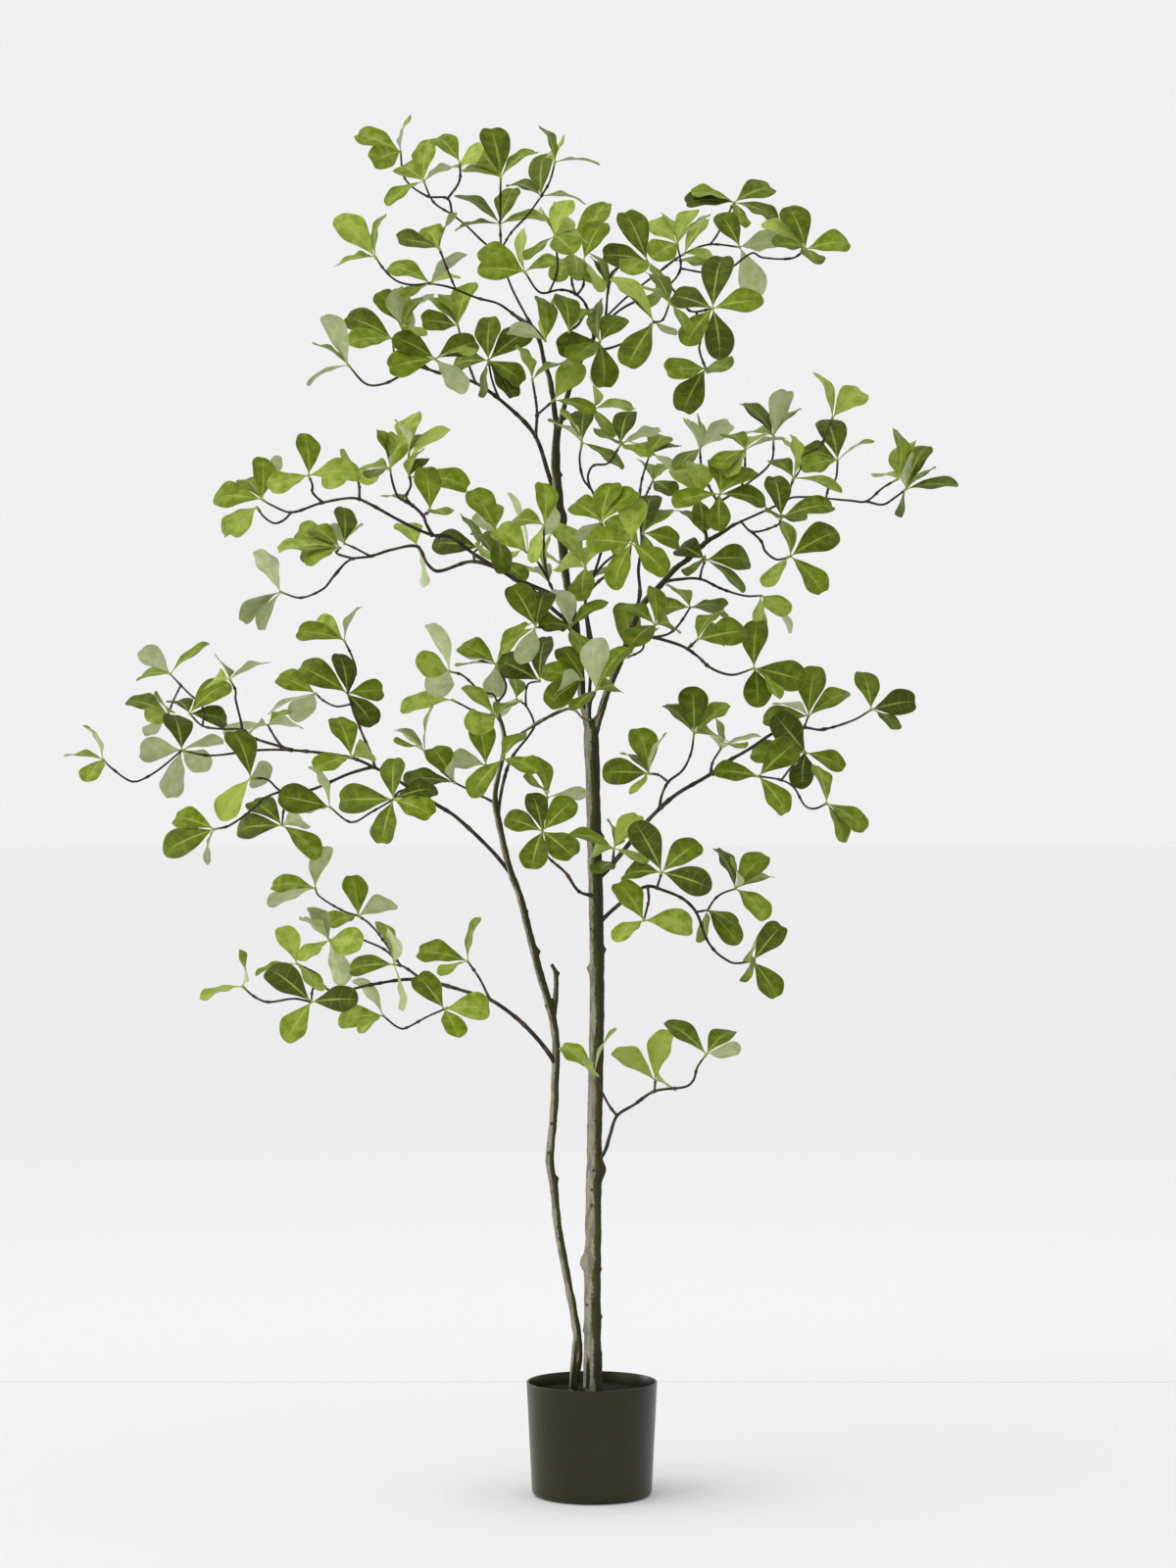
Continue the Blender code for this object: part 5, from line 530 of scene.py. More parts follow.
        (-14, [(-41.3, 78.5), (-43, 78.3), (-43.4, 76.1)],
         [(-50.2, 81.5, 1, "V"), (-47.2, 69.9, .95, "M"), (-36, 76.4, .9, "V")]),
        (-8, [(-43.4, 76.1), (-46, 76.6), (-50.2, 76.1), (-52.3, 77), (-54, 78.5)],
         [(-60.6, 76.4, .35, "L"), (-54.2, 83.4, .12, "P")]),
    ],
    "branch_left_main": [
        (-4, [(-12.6, 95.8), (-15.5, 99.5), (-21, 104.7), (-24, 106.6), (-29.6, 110.1), (-33.5, 112.3),
              (-37.4, 113.9), (-46, 115), (-52, 115), (-59, 114.2), (-63.4, 115)],
         [(-70.2, 114.6, .9, "P"), (-59.3, 112, .95, "P"), (-64.8, 107.2, .8, "P"), (-56.7, 116.3, .4, "P"),
          (-64.5, 120.7, .95, "V")]),
        (-9, [(-63.4, 115), (-67, 112), (-70, 110.3), (-71.5, 110.3), (-74.3, 112.3), (-75.6, 113.6)],
         [(-81.5, 114.1, .35, "M"), (-77.9, 110.3, .75, "M"), (-78.3, 119.2, .12, "P")]),
        (7, [(-46.5, 115), (-48.2, 115.6), (-52.5, 117), (-54.1, 118.2), (-57, 118.3), (-60.2, 118.8),
             (-62.2, 120.7)],
         [(-56.3, 125.8, .75, "M"), (-56, 119.7, .85, "D"), (-64.7, 122.9, .6, "V")]),
        (13, [(-60.2, 118.8), (-60, 121), (-60.6, 122.3), (-62.3, 123.8), (-65.2, 126.8)],
         [(-69.7, 130.9, .9, "P"), (-69.7, 126.3, .5, "M"), (-59, 131.4, .2, "M")]),
        (2, [(-63.4, 125.1), (-64.7, 122.7), (-65.5, 120.6)],
         [(-72, 122.7, .55, "D"), (-68.8, 119.8, .7, "L"), (-68, 117.4, .4, "P"), (-67.1, 122.5, .15, "P")]),
        (-3, [(-54.1, 118.2), (-54.2, 119.2), (-55.1, 123), (-55.1, 124.3), (-56, 126)],
         [(-57.9, 129, .35, "M"), (-59.3, 125.4, .7, "L"), (-49.5, 128.6, .35, "P")]),
        (13, [(-47.9, 115.3), (-49, 117), (-50.1, 118.9)],
         [(-57, 117.5, .4, "P"), (-53, 117.8, .3, "P"), (-45, 118.9, .5, "P"), (-46, 121.3, .3, "M")]),
        (-16, [(-36.2, 113.4), (-37.2, 114)],
         [(-39.4, 120.5, .85, "M"), (-42.8, 112, .6, "M"), (-34.2, 114.8, .9, "L")]),
        (6, [(-33.5, 112.4), (-34, 114), (-35.8, 118.3), (-37.8, 123.8)],
         [(-38.9, 130.1, .9, "V"), (-45.5, 128.3, .9, "D"), (-32, 124.2, .9, "M"), (-33.6, 118.6, .95, "V")]),
        (14, [(-37.3, 122), (-39.5, 121.8), (-41.5, 122.7), (-42.7, 123.8)],
         [(-48.7, 126.6, .9, "M"), (-50.2, 120.4, .12, "P"), (-45.8, 119.7, .85, "P")]),
        (-2, [(-37.8, 123.8), (-36.5, 127), (-37, 129.3), (-38.3, 132)],
         [(-43.2, 134.8, .9, "L"), (-45.8, 133.3, .15, "M"), (-35.9, 137.6, .15, "P")]),
        (-12, [(-33.5, 112.3), (-37.5, 111.4), (-43.8, 108.8), (-48, 108.7), (-50.2, 110.5), (-52.8, 110.7)],
         [(-55.2, 118.5, .75, "D"), (-57.4, 104.2, .8, "L"), (-50, 111, .9, "P")]),
        (-18, [(-48.1, 108.7), (-50.7, 107.6), (-52, 106.3), (-56, 103.4), (-58.4, 102.8)],
         [(-66.2, 99.2, 1, "D"), (-64.7, 105.1, .8, "M"), (-59.2, 97.9, .12, "P")]),
        (-5, [(-46.5, 108.7), (-47.6, 106), (-47.9, 103.4)],
         [(-52.8, 107.3, .7, "D"), (-55.2, 102.6, .9, "D"), (-42, 98.4, .7, "M"), (-44.3, 104.4, .9, "P")]),
        (-14, [(-28, 109.2), (-29.8, 108.6), (-30.7, 107.4)],
         [(-30.3, 114.1, .9, "D"), (-39.5, 106.9, 1, "D"), (-32.5, 100.2, .9, "D"), (-24.6, 104.7, .85, "M"),
          (-23.9, 109.3, .7, "V")]),
        (-8, [(-30.7, 107.4), (-34, 105.5), (-37.2, 103.9), (-40.5, 106.2)],
         [(-48.6, 107.9, .95, "D"), (-44.6, 105.4, .3, "P"), (-43.4, 112.8, .25, "P")]),
    ],
    "branch_stem_left": [
        (8, [(-14.8, 106.9), (-16, 107.4), (-20, 109.4), (-21.2, 110)],
         [(-24.8, 115.8, .95, "M"), (-29.3, 110.3, .6, "V"), (-21.2, 114.7, .3, "P")]),
        (15, [(-21.2, 110), (-24, 112.5), (-25.8, 114.7)],
         [(-30.2, 118.5, .4, "P"), (-29.9, 116, .1, "P"), (-24.4, 122.3, .1, "P")]),
    ],
    "branch_stem_mid": [
        (10, [(-14.1, 113.2), (-15.2, 112.6), (-16.4, 112.7)],
         [(-22, 113.5, .35, "P"), (-17.6, 119.9, .95, "M")]),
    ],
    "branch_stem_front": [
        (-10, [(-14.1, 113.1), (-13.9, 113.6)],
         [(-18.7, 107.8, .8, "M"), (-8.4, 111.9, .6, "M"), (-10.6, 117.7, .55, "M")]),
    ],
    "branch_stem_top": [
        (-8, [(-14.5, 121.5), (-15.2, 123.6), (-17, 124), (-20, 126.6), (-22, 127.2)],
         [(-27.5, 128.7, .9, "L"), (-25.4, 134.9, .4, "P"), (-24.7, 123.7, .95, "P")]),
        (0, [(-14.4, 122.3), (-13.5, 123.8), (-13.3, 125.3), (-14.8, 128.3)],
         [(-20.3, 131.7, .75, "M"), (-20.3, 129.6, .15, "P"), (-21.1, 127.8, .35, "D"), (-14.9, 122.8, .85, "P")]),
    ],
    "branch_stem_back": [
        (5, [(-14.5, 120.2), (-18, 121), (-20, 122), (-21.6, 122.8)],
         [(-29.7, 121.3, .6, "L")]),
    ],
    "branch_stem_low": [
        (-16, [(-14.4, 119.6), (-14.8, 120.2)],
         [(-20.2, 124.8, .5, "L"), (-12.2, 122.4, .45, "M"), (-19.1, 118.3, .85, "L")]),
    ],
    "branch_stem_right": [
        (9, [(-14.5, 104.8), (-13.7, 110), (-12.4, 113.8), (-9.6, 117.5), (-8.9, 119), (-10.2, 121.9),
             (-11.7, 122.9)],
         [(-12.4, 127, .75, "M"), (-14.2, 120.3, .35, "P")]),
        (3, [(-10, 122.2), (-10.2, 124), (-9.8, 125.3), (-8, 125.7)],
         [(-14.6, 129.2, .95, "V"), (-7.2, 132.9, .7, "V")]),
    ],
    "branch_left_inner": [
        (-10, [(-0.6, 92.3), (-2, 93.2), (-4, 96), (-7.3, 99.2), (-7.7, 102.5)],
         [(-9.3, 108.6, .95, "V"), (-2.6, 107.3, .95, "D"), (-13.6, 104.5, .85, "D"), (-9.5, 96.4, .95, "D"),
          (-2.7, 98.1, .9, "D")]),
        (-3, [(-7.7, 102.5), (-7.3, 105), (-6.9, 107.7)],
         [(-8.6, 114.4, .65, "M"), (-9.9, 110.7, .1, "P"), (-1, 107.8, .25, "P")]),
    ],
    "branch_fork_left": [
        (-11, [(-1.7, 127.5), (-1.4, 126)],
         [(-4.6, 131, .9, "D"), (-8.1, 127.2, .85, "M"), (-7, 122, .9, "D"), (-5.4, 124.6, .5, "P")]),
    ],
}


def push(x, z, y):
    """Real place in metres of what the front view shows at x, z and that lies y behind the trunk (cm)."""
    scale = (EYE_DISTANCE + y) / EYE_DISTANCE
    return Vector((EYE_X + (x - EYE_X) * scale, y, EYE_HEIGHT + (z - EYE_HEIGHT) * scale)) * CM


def stem_points(stem):
    """Centre points and radii in metres of a stem listed as (x, z, depth, diameter)."""
    points = [push(x, z, depth) for x, z, depth, _ in stem]
    radii = [diameter * CM / 2 for _, _, _, diameter in stem]
    return points, radii


def tangents(points):
    """Unit directions of a path at each of its points."""
    result = []
    last = len(points) - 1
    for index in range(len(points)):
        before = points[max(index - 1, 0)]
        after = points[min(index + 1, last)]
        result.append((after - before).normalized())
    return result


def tube(points, radii, sides, end_cap=0.0):
    """Closed tube along a path, as vertices and triangles; end_cap is the height of its pointed end."""
    directions = tangents(points)
    side = directions[0].orthogonal().normalized()
    vertices = []
    for point, radius, direction in zip(points, radii, directions):
        side = (side - direction * side.dot(direction)).normalized()
        other = direction.cross(side)
        for step in range(sides):
            angle = 2 * math.pi * step / sides
            vertices.append(point + (side * math.cos(angle) + other * math.sin(angle)) * radius)
    faces = []
    for ring in range(len(points) - 1):
        for step in range(sides):
            a = ring * sides + step
            b = ring * sides + (step + 1) % sides
            faces.append((a, b, b + sides))
            faces.append((a, b + sides, a + sides))
    for step in range(1, sides - 1):
        faces.append((0, step + 1, step))
    top = (len(points) - 1) * sides
    apex = len(vertices)
    vertices.append(points[-1] + directions[-1] * end_cap)
    for step in range(sides):
        faces.append((top + step, top + (step + 1) % sides, apex))
    return vertices, faces


def knot(place, diameter):
    """Small rounded knot as vertices and triangles: a twenty-sided ball, longer upwards."""
    ball = bmesh.new()
    bmesh.ops.create_icosphere(ball, subdivisions=1, radius=1.0)
    vertices = []
    for vert in ball.verts:
        vertices.append(place + Vector((vert.co.x, vert.co.y, vert.co.z * KNOT_STRETCH)) * diameter / 2)
    faces = [tuple(v.index for v in face.verts) for face in ball.faces]
    ball.free()
    return vertices, faces


def stem_solids(stems, knots, swell):
    """The solids that make up a stem, each swelled outwards by the same amount."""
    solids = []
    for stem, sides in stems:
        points, radii = stem_points(stem)
        outward = swell / math.cos(math.pi / sides)
        solids.append(tube(points, [radius + outward for radius in radii], sides, STEM_CAP + swell))
    for x, z, depth, diameter in knots:
        solids.append(knot(push(x, z, depth), diameter * CM + KNOT_SWELL * swell))
    return solids


def trunk_solids(swell=0.0):
    return stem_solids(TRUNK_STEMS, TRUNK_KNOTS, swell)


def side_stem_solids(swell=0.0):
    return stem_solids(SIDE_STEMS, SIDE_STEM_KNOTS, swell)


def nearest_on_route(route, x, z):
    """Nearest place to x, z on a route listed as (x, z, depth, radius), and how far off it is."""
    best = None
    for (ax, az, ay, ar), (bx, bz, by, br) in zip(route, route[1:]):
        run = (bx - ax) ** 2 + (bz - az) ** 2
        share = 0.0
        if run > 0:
            share = max(0.0, min(1.0, ((x - ax) * (bx - ax) + (z - az) * (bz - az)) / run))
        place = tuple(a + (b - a) * share for a, b in zip((ax, az, ay, ar), (bx, bz, by, br)))
        distance = math.hypot(place[0] - x, place[1] - z)
        if best is None or distance < best[0]:
            best = (distance, place)
    return best


def nearest_parent(routes, x, z):
    """The nearest place to x, z on any of the routes."""
    return min((nearest_on_route(route, x, z) for route in routes), key=lambda found: found[0])[1]


def stem_routes():
    """Every stem that a branch can grow from, as routes of (x, z, depth, radius in metres)."""
    stems = [stem for stem, _ in TRUNK_STEMS] + [SIDE_STEM]
    return [[(x, z, depth, diameter * CM / 2) for x, z, depth, diameter in stem] for stem in stems]


def route_lengths(route):
    """Distance run along a flat route at each of its points, in cm."""
    lengths = [0.0]
    for (ax, az), (bx, bz) in zip(route, route[1:]):
        lengths.append(lengths[-1] + math.hypot(bx - ax, bz - az))
    return lengths


def simple_route(route):
    """The points of a flat route that it needs to stay within ROUTE_TOLERANCE of its course."""
    (ax, az), (bx, bz) = route[0], route[-1]
    chord = [(ax, az, 0.0, 0.0), (bx, bz, 0.0, 0.0)]
    strays = [nearest_on_route(chord, x, z)[0] for x, z in route]
    furthest = max(range(len(route)), key=lambda index: strays[index])
    if strays[furthest] < ROUTE_TOLERANCE:
        return [route[0], route[-1]]
    return simple_route(route[:furthest + 1])[:-1] + simple_route(route[furthest:])


def twig_route(route, foot, end_depth, foot_radius_limit):
    """Route of one twig as (x, z, depth, radius), from its foot on the parent to its leafy end."""
    flat = [(foot[0], foot[1])] + route[1:]
    lengths = route_lengths(flat)
    whole = lengths[-1]
    turn_limit = DEPTH_TURN_BASE + DEPTH_TURN_SHARE * whole
    turn = max(-turn_limit, min(turn_limit, end_depth - foot[2]))
    full = math.hypot(whole, turn)
    foot_radius = min(TIP_RADIUS + LIMB_RADIUS_GROWTH * full, LIMB_RADIUS_LIMIT)
    result = []
    for (x, z), length in zip(flat, lengths):
        share = length / whole
        radius = foot_radius + (TIP_RADIUS - foot_radius) * share
        result.append((x, z, foot[2] + turn * share, radius))
    x, z, depth, radius = result[0]
    result[0] = (x, z, depth, min(radius, foot_radius_limit))
    return result


def twig_solid(route, swell=0.0, start=0.0):
    """Solid of a twig with a small knob at its leafy end; start leaves out the first part of its run."""
    points = [push(x, z, depth) for x, z, depth, _ in route]
    radii = [radius * FEW_SIDES_SWELL + swell for _, _, _, radius in route]
    radii[-1] = KNOB_RADIUS + swell
    while start > 0 and len(points) > 1:
        run = (points[1] - points[0]).length
        if run > start:
            share = start / run
            points[0] = points[0].lerp(points[1], share)
            radii[0] = radii[0] + (radii[1] - radii[0]) * share
            break
        start -= run
        points = points[1:]
        radii = radii[1:]
    if len(points) < 2:
        return None
    return tube(points, radii, TWIG_SIDES, KNOB_CAP + swell)


class Obstacles:
    """Placed solids, each with its owner, box and search tree, to find what a new solid would cross."""

    def __init__(self):
        self.items = []

    def add(self, owner, solid):
        self.items.append((owner, solid_box(solid), solid_tree(solid)))

    def crossed(self, solid):
        """Owners of the placed solids that this one crosses."""
        low, high = solid_box(solid)
        tree = None
        owners = []
        for owner, (other_low, other_high), other_tree in self.items:
            if any(low[i] > other_high[i] or high[i] < other_low[i] for i in range(3)):
                continue
            if tree is None:
                tree = solid_tree(solid)
            if tree.overlap(other_tree):
                owners.append(owner)
        return owners


def solid_box(solid):
    vertices = solid[0]
    low = [min(v[i] for v in vertices) for i in range(3)]
    high = [max(v[i] for v in vertices) for i in range(3)]
    return low, high


def solid_tree(solid):
    return BVHTree.FromPolygons(solid[0], solid[1])


def leaf_half_width(share):
    """Half the blade's breadth along its length, as a share of the widest: an inverted egg shape."""
    if share < LEAF_WIDEST:
        return math.sin(math.pi / 2 * share / LEAF_WIDEST) ** LEAF_BASE_POWER
    return math.sqrt(max(0.0, 1 - ((share - LEAF_WIDEST) / (1 - LEAF_WIDEST)) ** 2))


def leaf_frame(base, tip, breadth, underside, roll):
    """Directions of a leaf: along it, across it and out of its upper face."""
    along = (tip - base).normalized()
    to_eye = (EYE - base).normalized()
    across = along.cross(to_eye)
    if across.length < ALONG_SIGHT:
        across = Vector((1.0, 0.0, 0.0))
    across = (across - along * across.dot(along)).normalized()
    toward = across.cross(along)
    if toward.dot(to_eye) < 0:
        toward = -toward
    best = None
    for sign in (1, -1):
        angle = sign * math.acos(min(breadth, BREADTH_LIMIT)) + roll
        upper = toward * math.cos(angle) - across * math.sin(angle)
        if underside:
            upper = -upper
        if best is None or upper.z > best.z:
            best = upper
    upper = best.normalized()
    return along, upper.cross(along).normalized(), upper


def leaf_point(leaf, share, side):
    """Place on the middle of a blade: share runs from base to tip, side from -1 to 1 across it."""
    base, along, across, upper, length, width = leaf
    half = width / 2 * leaf_half_width(share)
    lift = LEAF_ARCH * length * 4 * share * (1 - share) + LEAF_FOLD * half * abs(side)
    return base + along * (share * length) + across * (side * half) + upper * lift


def leaf_solid(leaf, thickness=LEAF_THICKNESS, swell=0.0):
    """Thin closed blade from a narrow base: six edge points, one raised point above and a keel below."""
    base, along, across, upper, length, width = leaf
    leaf = (base, along, across, upper, length + swell, width + 2 * swell)
    ring = [leaf_point(leaf, share, -1) for share in LEAF_RING]
    ring += [leaf_point(leaf, share, 1) for share in reversed(LEAF_RING)]
    above = leaf_point(leaf, LEAF_MIDDLE, 0) + upper * thickness / 2
    below = leaf_point(leaf, LEAF_KEEL, 0) - upper * thickness / 2
    vertices = [base + along * LEAF_ROOT] + ring + [above, below]
    faces = [(0, 1, 6), (0, 6, 8), (0, 8, 1)]
    for first in range(1, 7):
        after = first % 6 + 1
        faces.append((7, first, after))
        if after != 1:
            faces.append((8, after, first))
    return vertices, faces


def outer_part(solid):
    """The blade without the faces at its base, which always lie in the twig."""
    vertices, faces = solid
    return vertices, [face for face in faces if 0 not in face]


def leaf_choices():
    """Small changes to try for a leaf, the least first: lean, swing, roll and turn in depth."""
    choices = []
    for flip in (1, -1):
        for swing in LEAF_SWINGS:
            for roll in LEAF_ROLLS:
                for depth in LEAF_TURNS:
                    cost = SWING_COST * abs(swing) + ROLL_COST * abs(roll) + TURN_COST * abs(depth)
                    if flip < 0:
                        cost += FLIP_COST
                    choices.append((cost, flip, swing, roll, depth))
    choices.sort(key=lambda choice: choice[0])
    return [choice[1:] for choice in choices]


LEAF_CHOICES = leaf_choices()


def make_leaf(hub, reading, length, width_share, side_of_depth, choice):
    """A leaf from its reading, changed a little by one of the choices."""
    flip, swing, roll, depth = choice
    hub_x, hub_z, hub_y = hub
    x, z, breadth, tone = reading
    run_x = x - hub_x
    run_z = z - hub_z
    turned_x = run_x * math.cos(swing) - run_z * math.sin(swing)
    turned_z = run_x * math.sin(swing) + run_z * math.cos(swing)
    seen = math.hypot(run_x, run_z)
    true_length = max(seen * LEAST_TURN, length)
    rise = flip * side_of_depth * math.sqrt(max(true_length ** 2 - seen ** 2, 0.0)) + depth
    base = push(hub_x, hub_z, hub_y)
    tip = push(hub_x + turned_x, hub_z + turned_z, hub_y + rise)
    along, across, upper = leaf_frame(base, tip, breadth, tone == "P", roll)
    true_length = (tip - base).length
    width = max(min(true_length, WIDTH_LENGTHS[1]), WIDTH_LENGTHS[0]) * width_share
    return base, along, across, upper, true_length, width


def place_leaf(name, hub, reading, obstacles, chance):
    """The first choice for a leaf that crosses nothing, or else the one that crosses least."""
    _, z, _, tone = reading
    length = LEAF_LENGTH + chance.uniform(-LEAF_LENGTH_SPREAD, LEAF_LENGTH_SPREAD)
    width_share = LEAF_WIDTH_SHARE + chance.uniform(-LEAF_WIDTH_SPREAD, LEAF_WIDTH_SPREAD)
    side_of_depth = chance.choice((1, -1))
    run_z = z - hub[1]
    if abs(run_z) > LEVEL_RUN:
        side_of_depth = math.copysign(1, run_z)
        if tone == "P":
            side_of_depth = -side_of_depth
    best = None
    for choice in LEAF_CHOICES:
        leaf = make_leaf(hub, reading, length, width_share, side_of_depth, choice)
        swelled = leaf_solid(leaf, LEAF_THICKNESS + 2 * TEST_SWELL, TEST_SWELL)
        if any(owner != name for owner in obstacles.crossed(swelled)):
            continue
        own = obstacles.crossed(outer_part(swelled)).count(name)
        if best is None or own < best[0]:
            best = (own, leaf, swelled)
        if own == 0:
            break
    return best


def place_twig(name, row, routes, first, obstacles):
    """Route of one twig: its depth is nudged until it crosses no other branch."""
    end_depth, readings, _ = row
    route = simple_route(readings)
    spread = end_depth * DEPTH_SPREAD
    start_x, start_z = route[0]
    foot = nearest_parent(routes, start_x, start_z)
    foot_limit = foot[3] * (LIMB_SHARE if first else 1.0)
    end_x, end_z = route[-1]
    root_x, root_z = SPRAYS[name][0][1][0]
    out = min(math.hypot(end_x - root_x, end_z - root_z) / SWING_REACH, SWING_LIMIT)
    spread += SWING[name] * out
    best = None
    for nudge in DEPTH_NUDGES:
        path = twig_route(route, foot, spread + nudge, foot_limit)
        clear_start = foot[3] + SEAT_RUN if first else 0.0
        solid = twig_solid(path, TEST_SWELL, clear_start)
        crossed = [] if solid is None else obstacles.crossed(solid)
        others = sum(1 for owner in crossed if owner != name)
        own = max(0, crossed.count(name) - 1)
        if best is None or (others, own) < best[0]:
            best = ((others, own), path)
        if others == 0 and own == 0:
            break
    return best[1]


def place_sprays():
    """Settle every twig and then every leaf: a list of (name, twig routes, leaves), and the obstacles."""
    chance = random.Random(LEAF_SEED)
    obstacles = Obstacles()
    for owner, solids in (("trunk", trunk_solids(GAP)), ("side_stem", side_stem_solids(GAP))):
        for solid in solids:
            obstacles.add(owner, solid)
    sprays = []
    for name, rows in SPRAYS.items():
        routes = stem_routes()
        twigs = []
        for row in rows:
            first = not twigs
            path = place_twig(name, row, routes, first, obstacles)
            if first:
                routes = []
            routes.append(path)
            twigs.append(path)
            obstacles.add(name, twig_solid(path, TEST_SWELL))
        sprays.append((name, twigs, []))
    for name, twigs, leaves in sprays:
        for path, (_, _, readings) in zip(twigs, SPRAYS[name]):
            hub = path[-1][:3]
            for reading in readings:
                placed = place_leaf(name, hub, reading, obstacles, chance)
                if placed is None:
                    continue
                _, leaf, swelled = placed
                obstacles.add(name, swelled)
                leaves.append((leaf, reading[3]))
    return sprays, obstacles


def from_pixels(point):
    """Place in cm at the trunk's depth of a pixel of the photograph."""
    return (point[0] - TRUNK_PIXEL) / PIXELS_PER_CM, (FLOOR_PIXEL - point[1]) / PIXELS_PER_CM


def add_leaves(sprays, obstacles):
    """Put each of the extra leaves on the twig that passes nearest to its base."""
    chance = random.Random(LEAF_SEED + 1)
    for hub, readings in MORE_LEAVES:
        x, z = from_pixels(hub)
        found = []
        for name, twigs, leaves in sprays:
            for twig in twigs:
                distance, place = nearest_on_route(twig, x, z)
                found.append((distance, name, place, leaves))
        _, name, place, leaves = min(found, key=lambda item: item[0])
        for tip_x, tip_y, breadth, tone in readings:
            reading = (*from_pixels((tip_x, tip_y)), breadth, tone)
            placed = place_leaf(name, place[:3], reading, obstacles, chance)
            if placed is None:
                continue
            _, leaf, swelled = placed
            obstacles.add(name, swelled)
            leaves.append((leaf, tone))


# Fine shapes

# Columns across a fine blade from edge to edge, and rows along it; the last row is the single tip point
BLADE_COLUMNS = (-1.0, -0.84, -0.62, -0.36, -0.11, 0.0, 0.11, 0.36, 0.62, 0.84, 1.0)
BLADE_ROWS = 22
BLADE_THICKNESS = 0.55 * MM
BLADE_SIDE_SHARE = 0.56
FINE_WIDTH = 1.05
NOTCHES = (0.0, 0.02, 0.04, 0.06)
WAVE_SIZES = (1.0 * MM, 3.2 * MM)
PETIOLE_HALF_WIDTH = 1.1 * MM
PETIOLE_THICKNESS = 1.5 * MM
PETIOLE_SHARE = 0.09
VEIN_LEAN = 0.11
VEIN_PAIRS = 6
VEIN_QUILT = 0.28 * MM
MIDRIB_WIDTH = 1.3 * MM
MIDRIB_GROOVE = 0.45 * MM
MIDRIB_RIDGE = 0.8 * MM
# Ramp places of the tones V, D, M, L and P: painted light and shade besides each leaf's own colour
TONES = {"V": 0.05, "D": 0.3, "M": 0.6, "L": 0.92, "P": 0.7}

TWIG_ROUND_SIDES = 8
TWIG_STEP = 4 * MM
HUB_GREEN_LENGTH = 16 * MM
STEM_SIDES = 28
STEM_STEP = 4 * MM


def smooth(value):
    """Rises gently from 0 to 1 as value does, for arrays and numbers."""
    value = np.clip(value, 0.0, 1.0)
    return value * value * (3 - 2 * value)


def blade_outline(notch):
    """Rows of a blade from base to tip: the edge's place along it, its half breadth, and the midrib's place."""
    t = np.linspace(0.0, 1.0, BLADE_ROWS + 1)
    turn = np.clip((t - BLADE_SIDE_SHARE) / (1 - BLADE_SIDE_SHARE), 0, 1) * math.pi / 2
    side = np.minimum(t / BLADE_SIDE_SHARE, 1.0)
    along = np.where(turn > 0, LEAF_WIDEST + (1 - LEAF_WIDEST) * np.sin(turn), side * LEAF_WIDEST)
    breadth = np.where(turn > 0, np.cos(turn), np.sin(side * math.pi / 2) ** LEAF_BASE_POWER)
    along = along * (1 - notch * smooth(turn / (math.pi / 2) * 2.6 - 1.6))
    midrib = along - VEIN_LEAN * np.sin(math.pi * t)
    return t, along, breadth, midrib


def blade_faces():
    """Triangles of one fine blade, upper and under, with their material: 0 above and 1 below."""
    columns = len(BLADE_COLUMNS)
    inner = columns - 2
    first_under = BLADE_ROWS * columns
    tip = first_under + BLADE_ROWS * inner

    def above(row, column):
        return tip if row == BLADE_ROWS else row * columns + column

    def below(row, column):
        if row == BLADE_ROWS or column in (0, columns - 1):
            return above(row, column)
        return first_under + row * inner + column - 1

    faces = []
    sides = []
    for row in range(BLADE_ROWS):
        for column in range(columns - 1):
            for place, material in ((above, 0), (below, 1)):
                a, b = place(row, column), place(row, column + 1)
                c, d = place(row + 1, column + 1), place(row + 1, column)
                loops = [(a, b, c), (a, c, d)] if c != d else [(a, b, c)]
                for loop in loops:
                    faces.append(loop if material == 0 else loop[::-1])
                    sides.append(material)
    for column in range(columns - 1):
        a, b = above(0, column), above(0, column + 1)
        c, d = below(0, column + 1), below(0, column)
        for loop in ((a, d, c), (a, c, b)):
            if len(set(loop)) == 3:
                faces.append(loop)
                sides.append(1)
    return np.array(faces), np.array(sides)


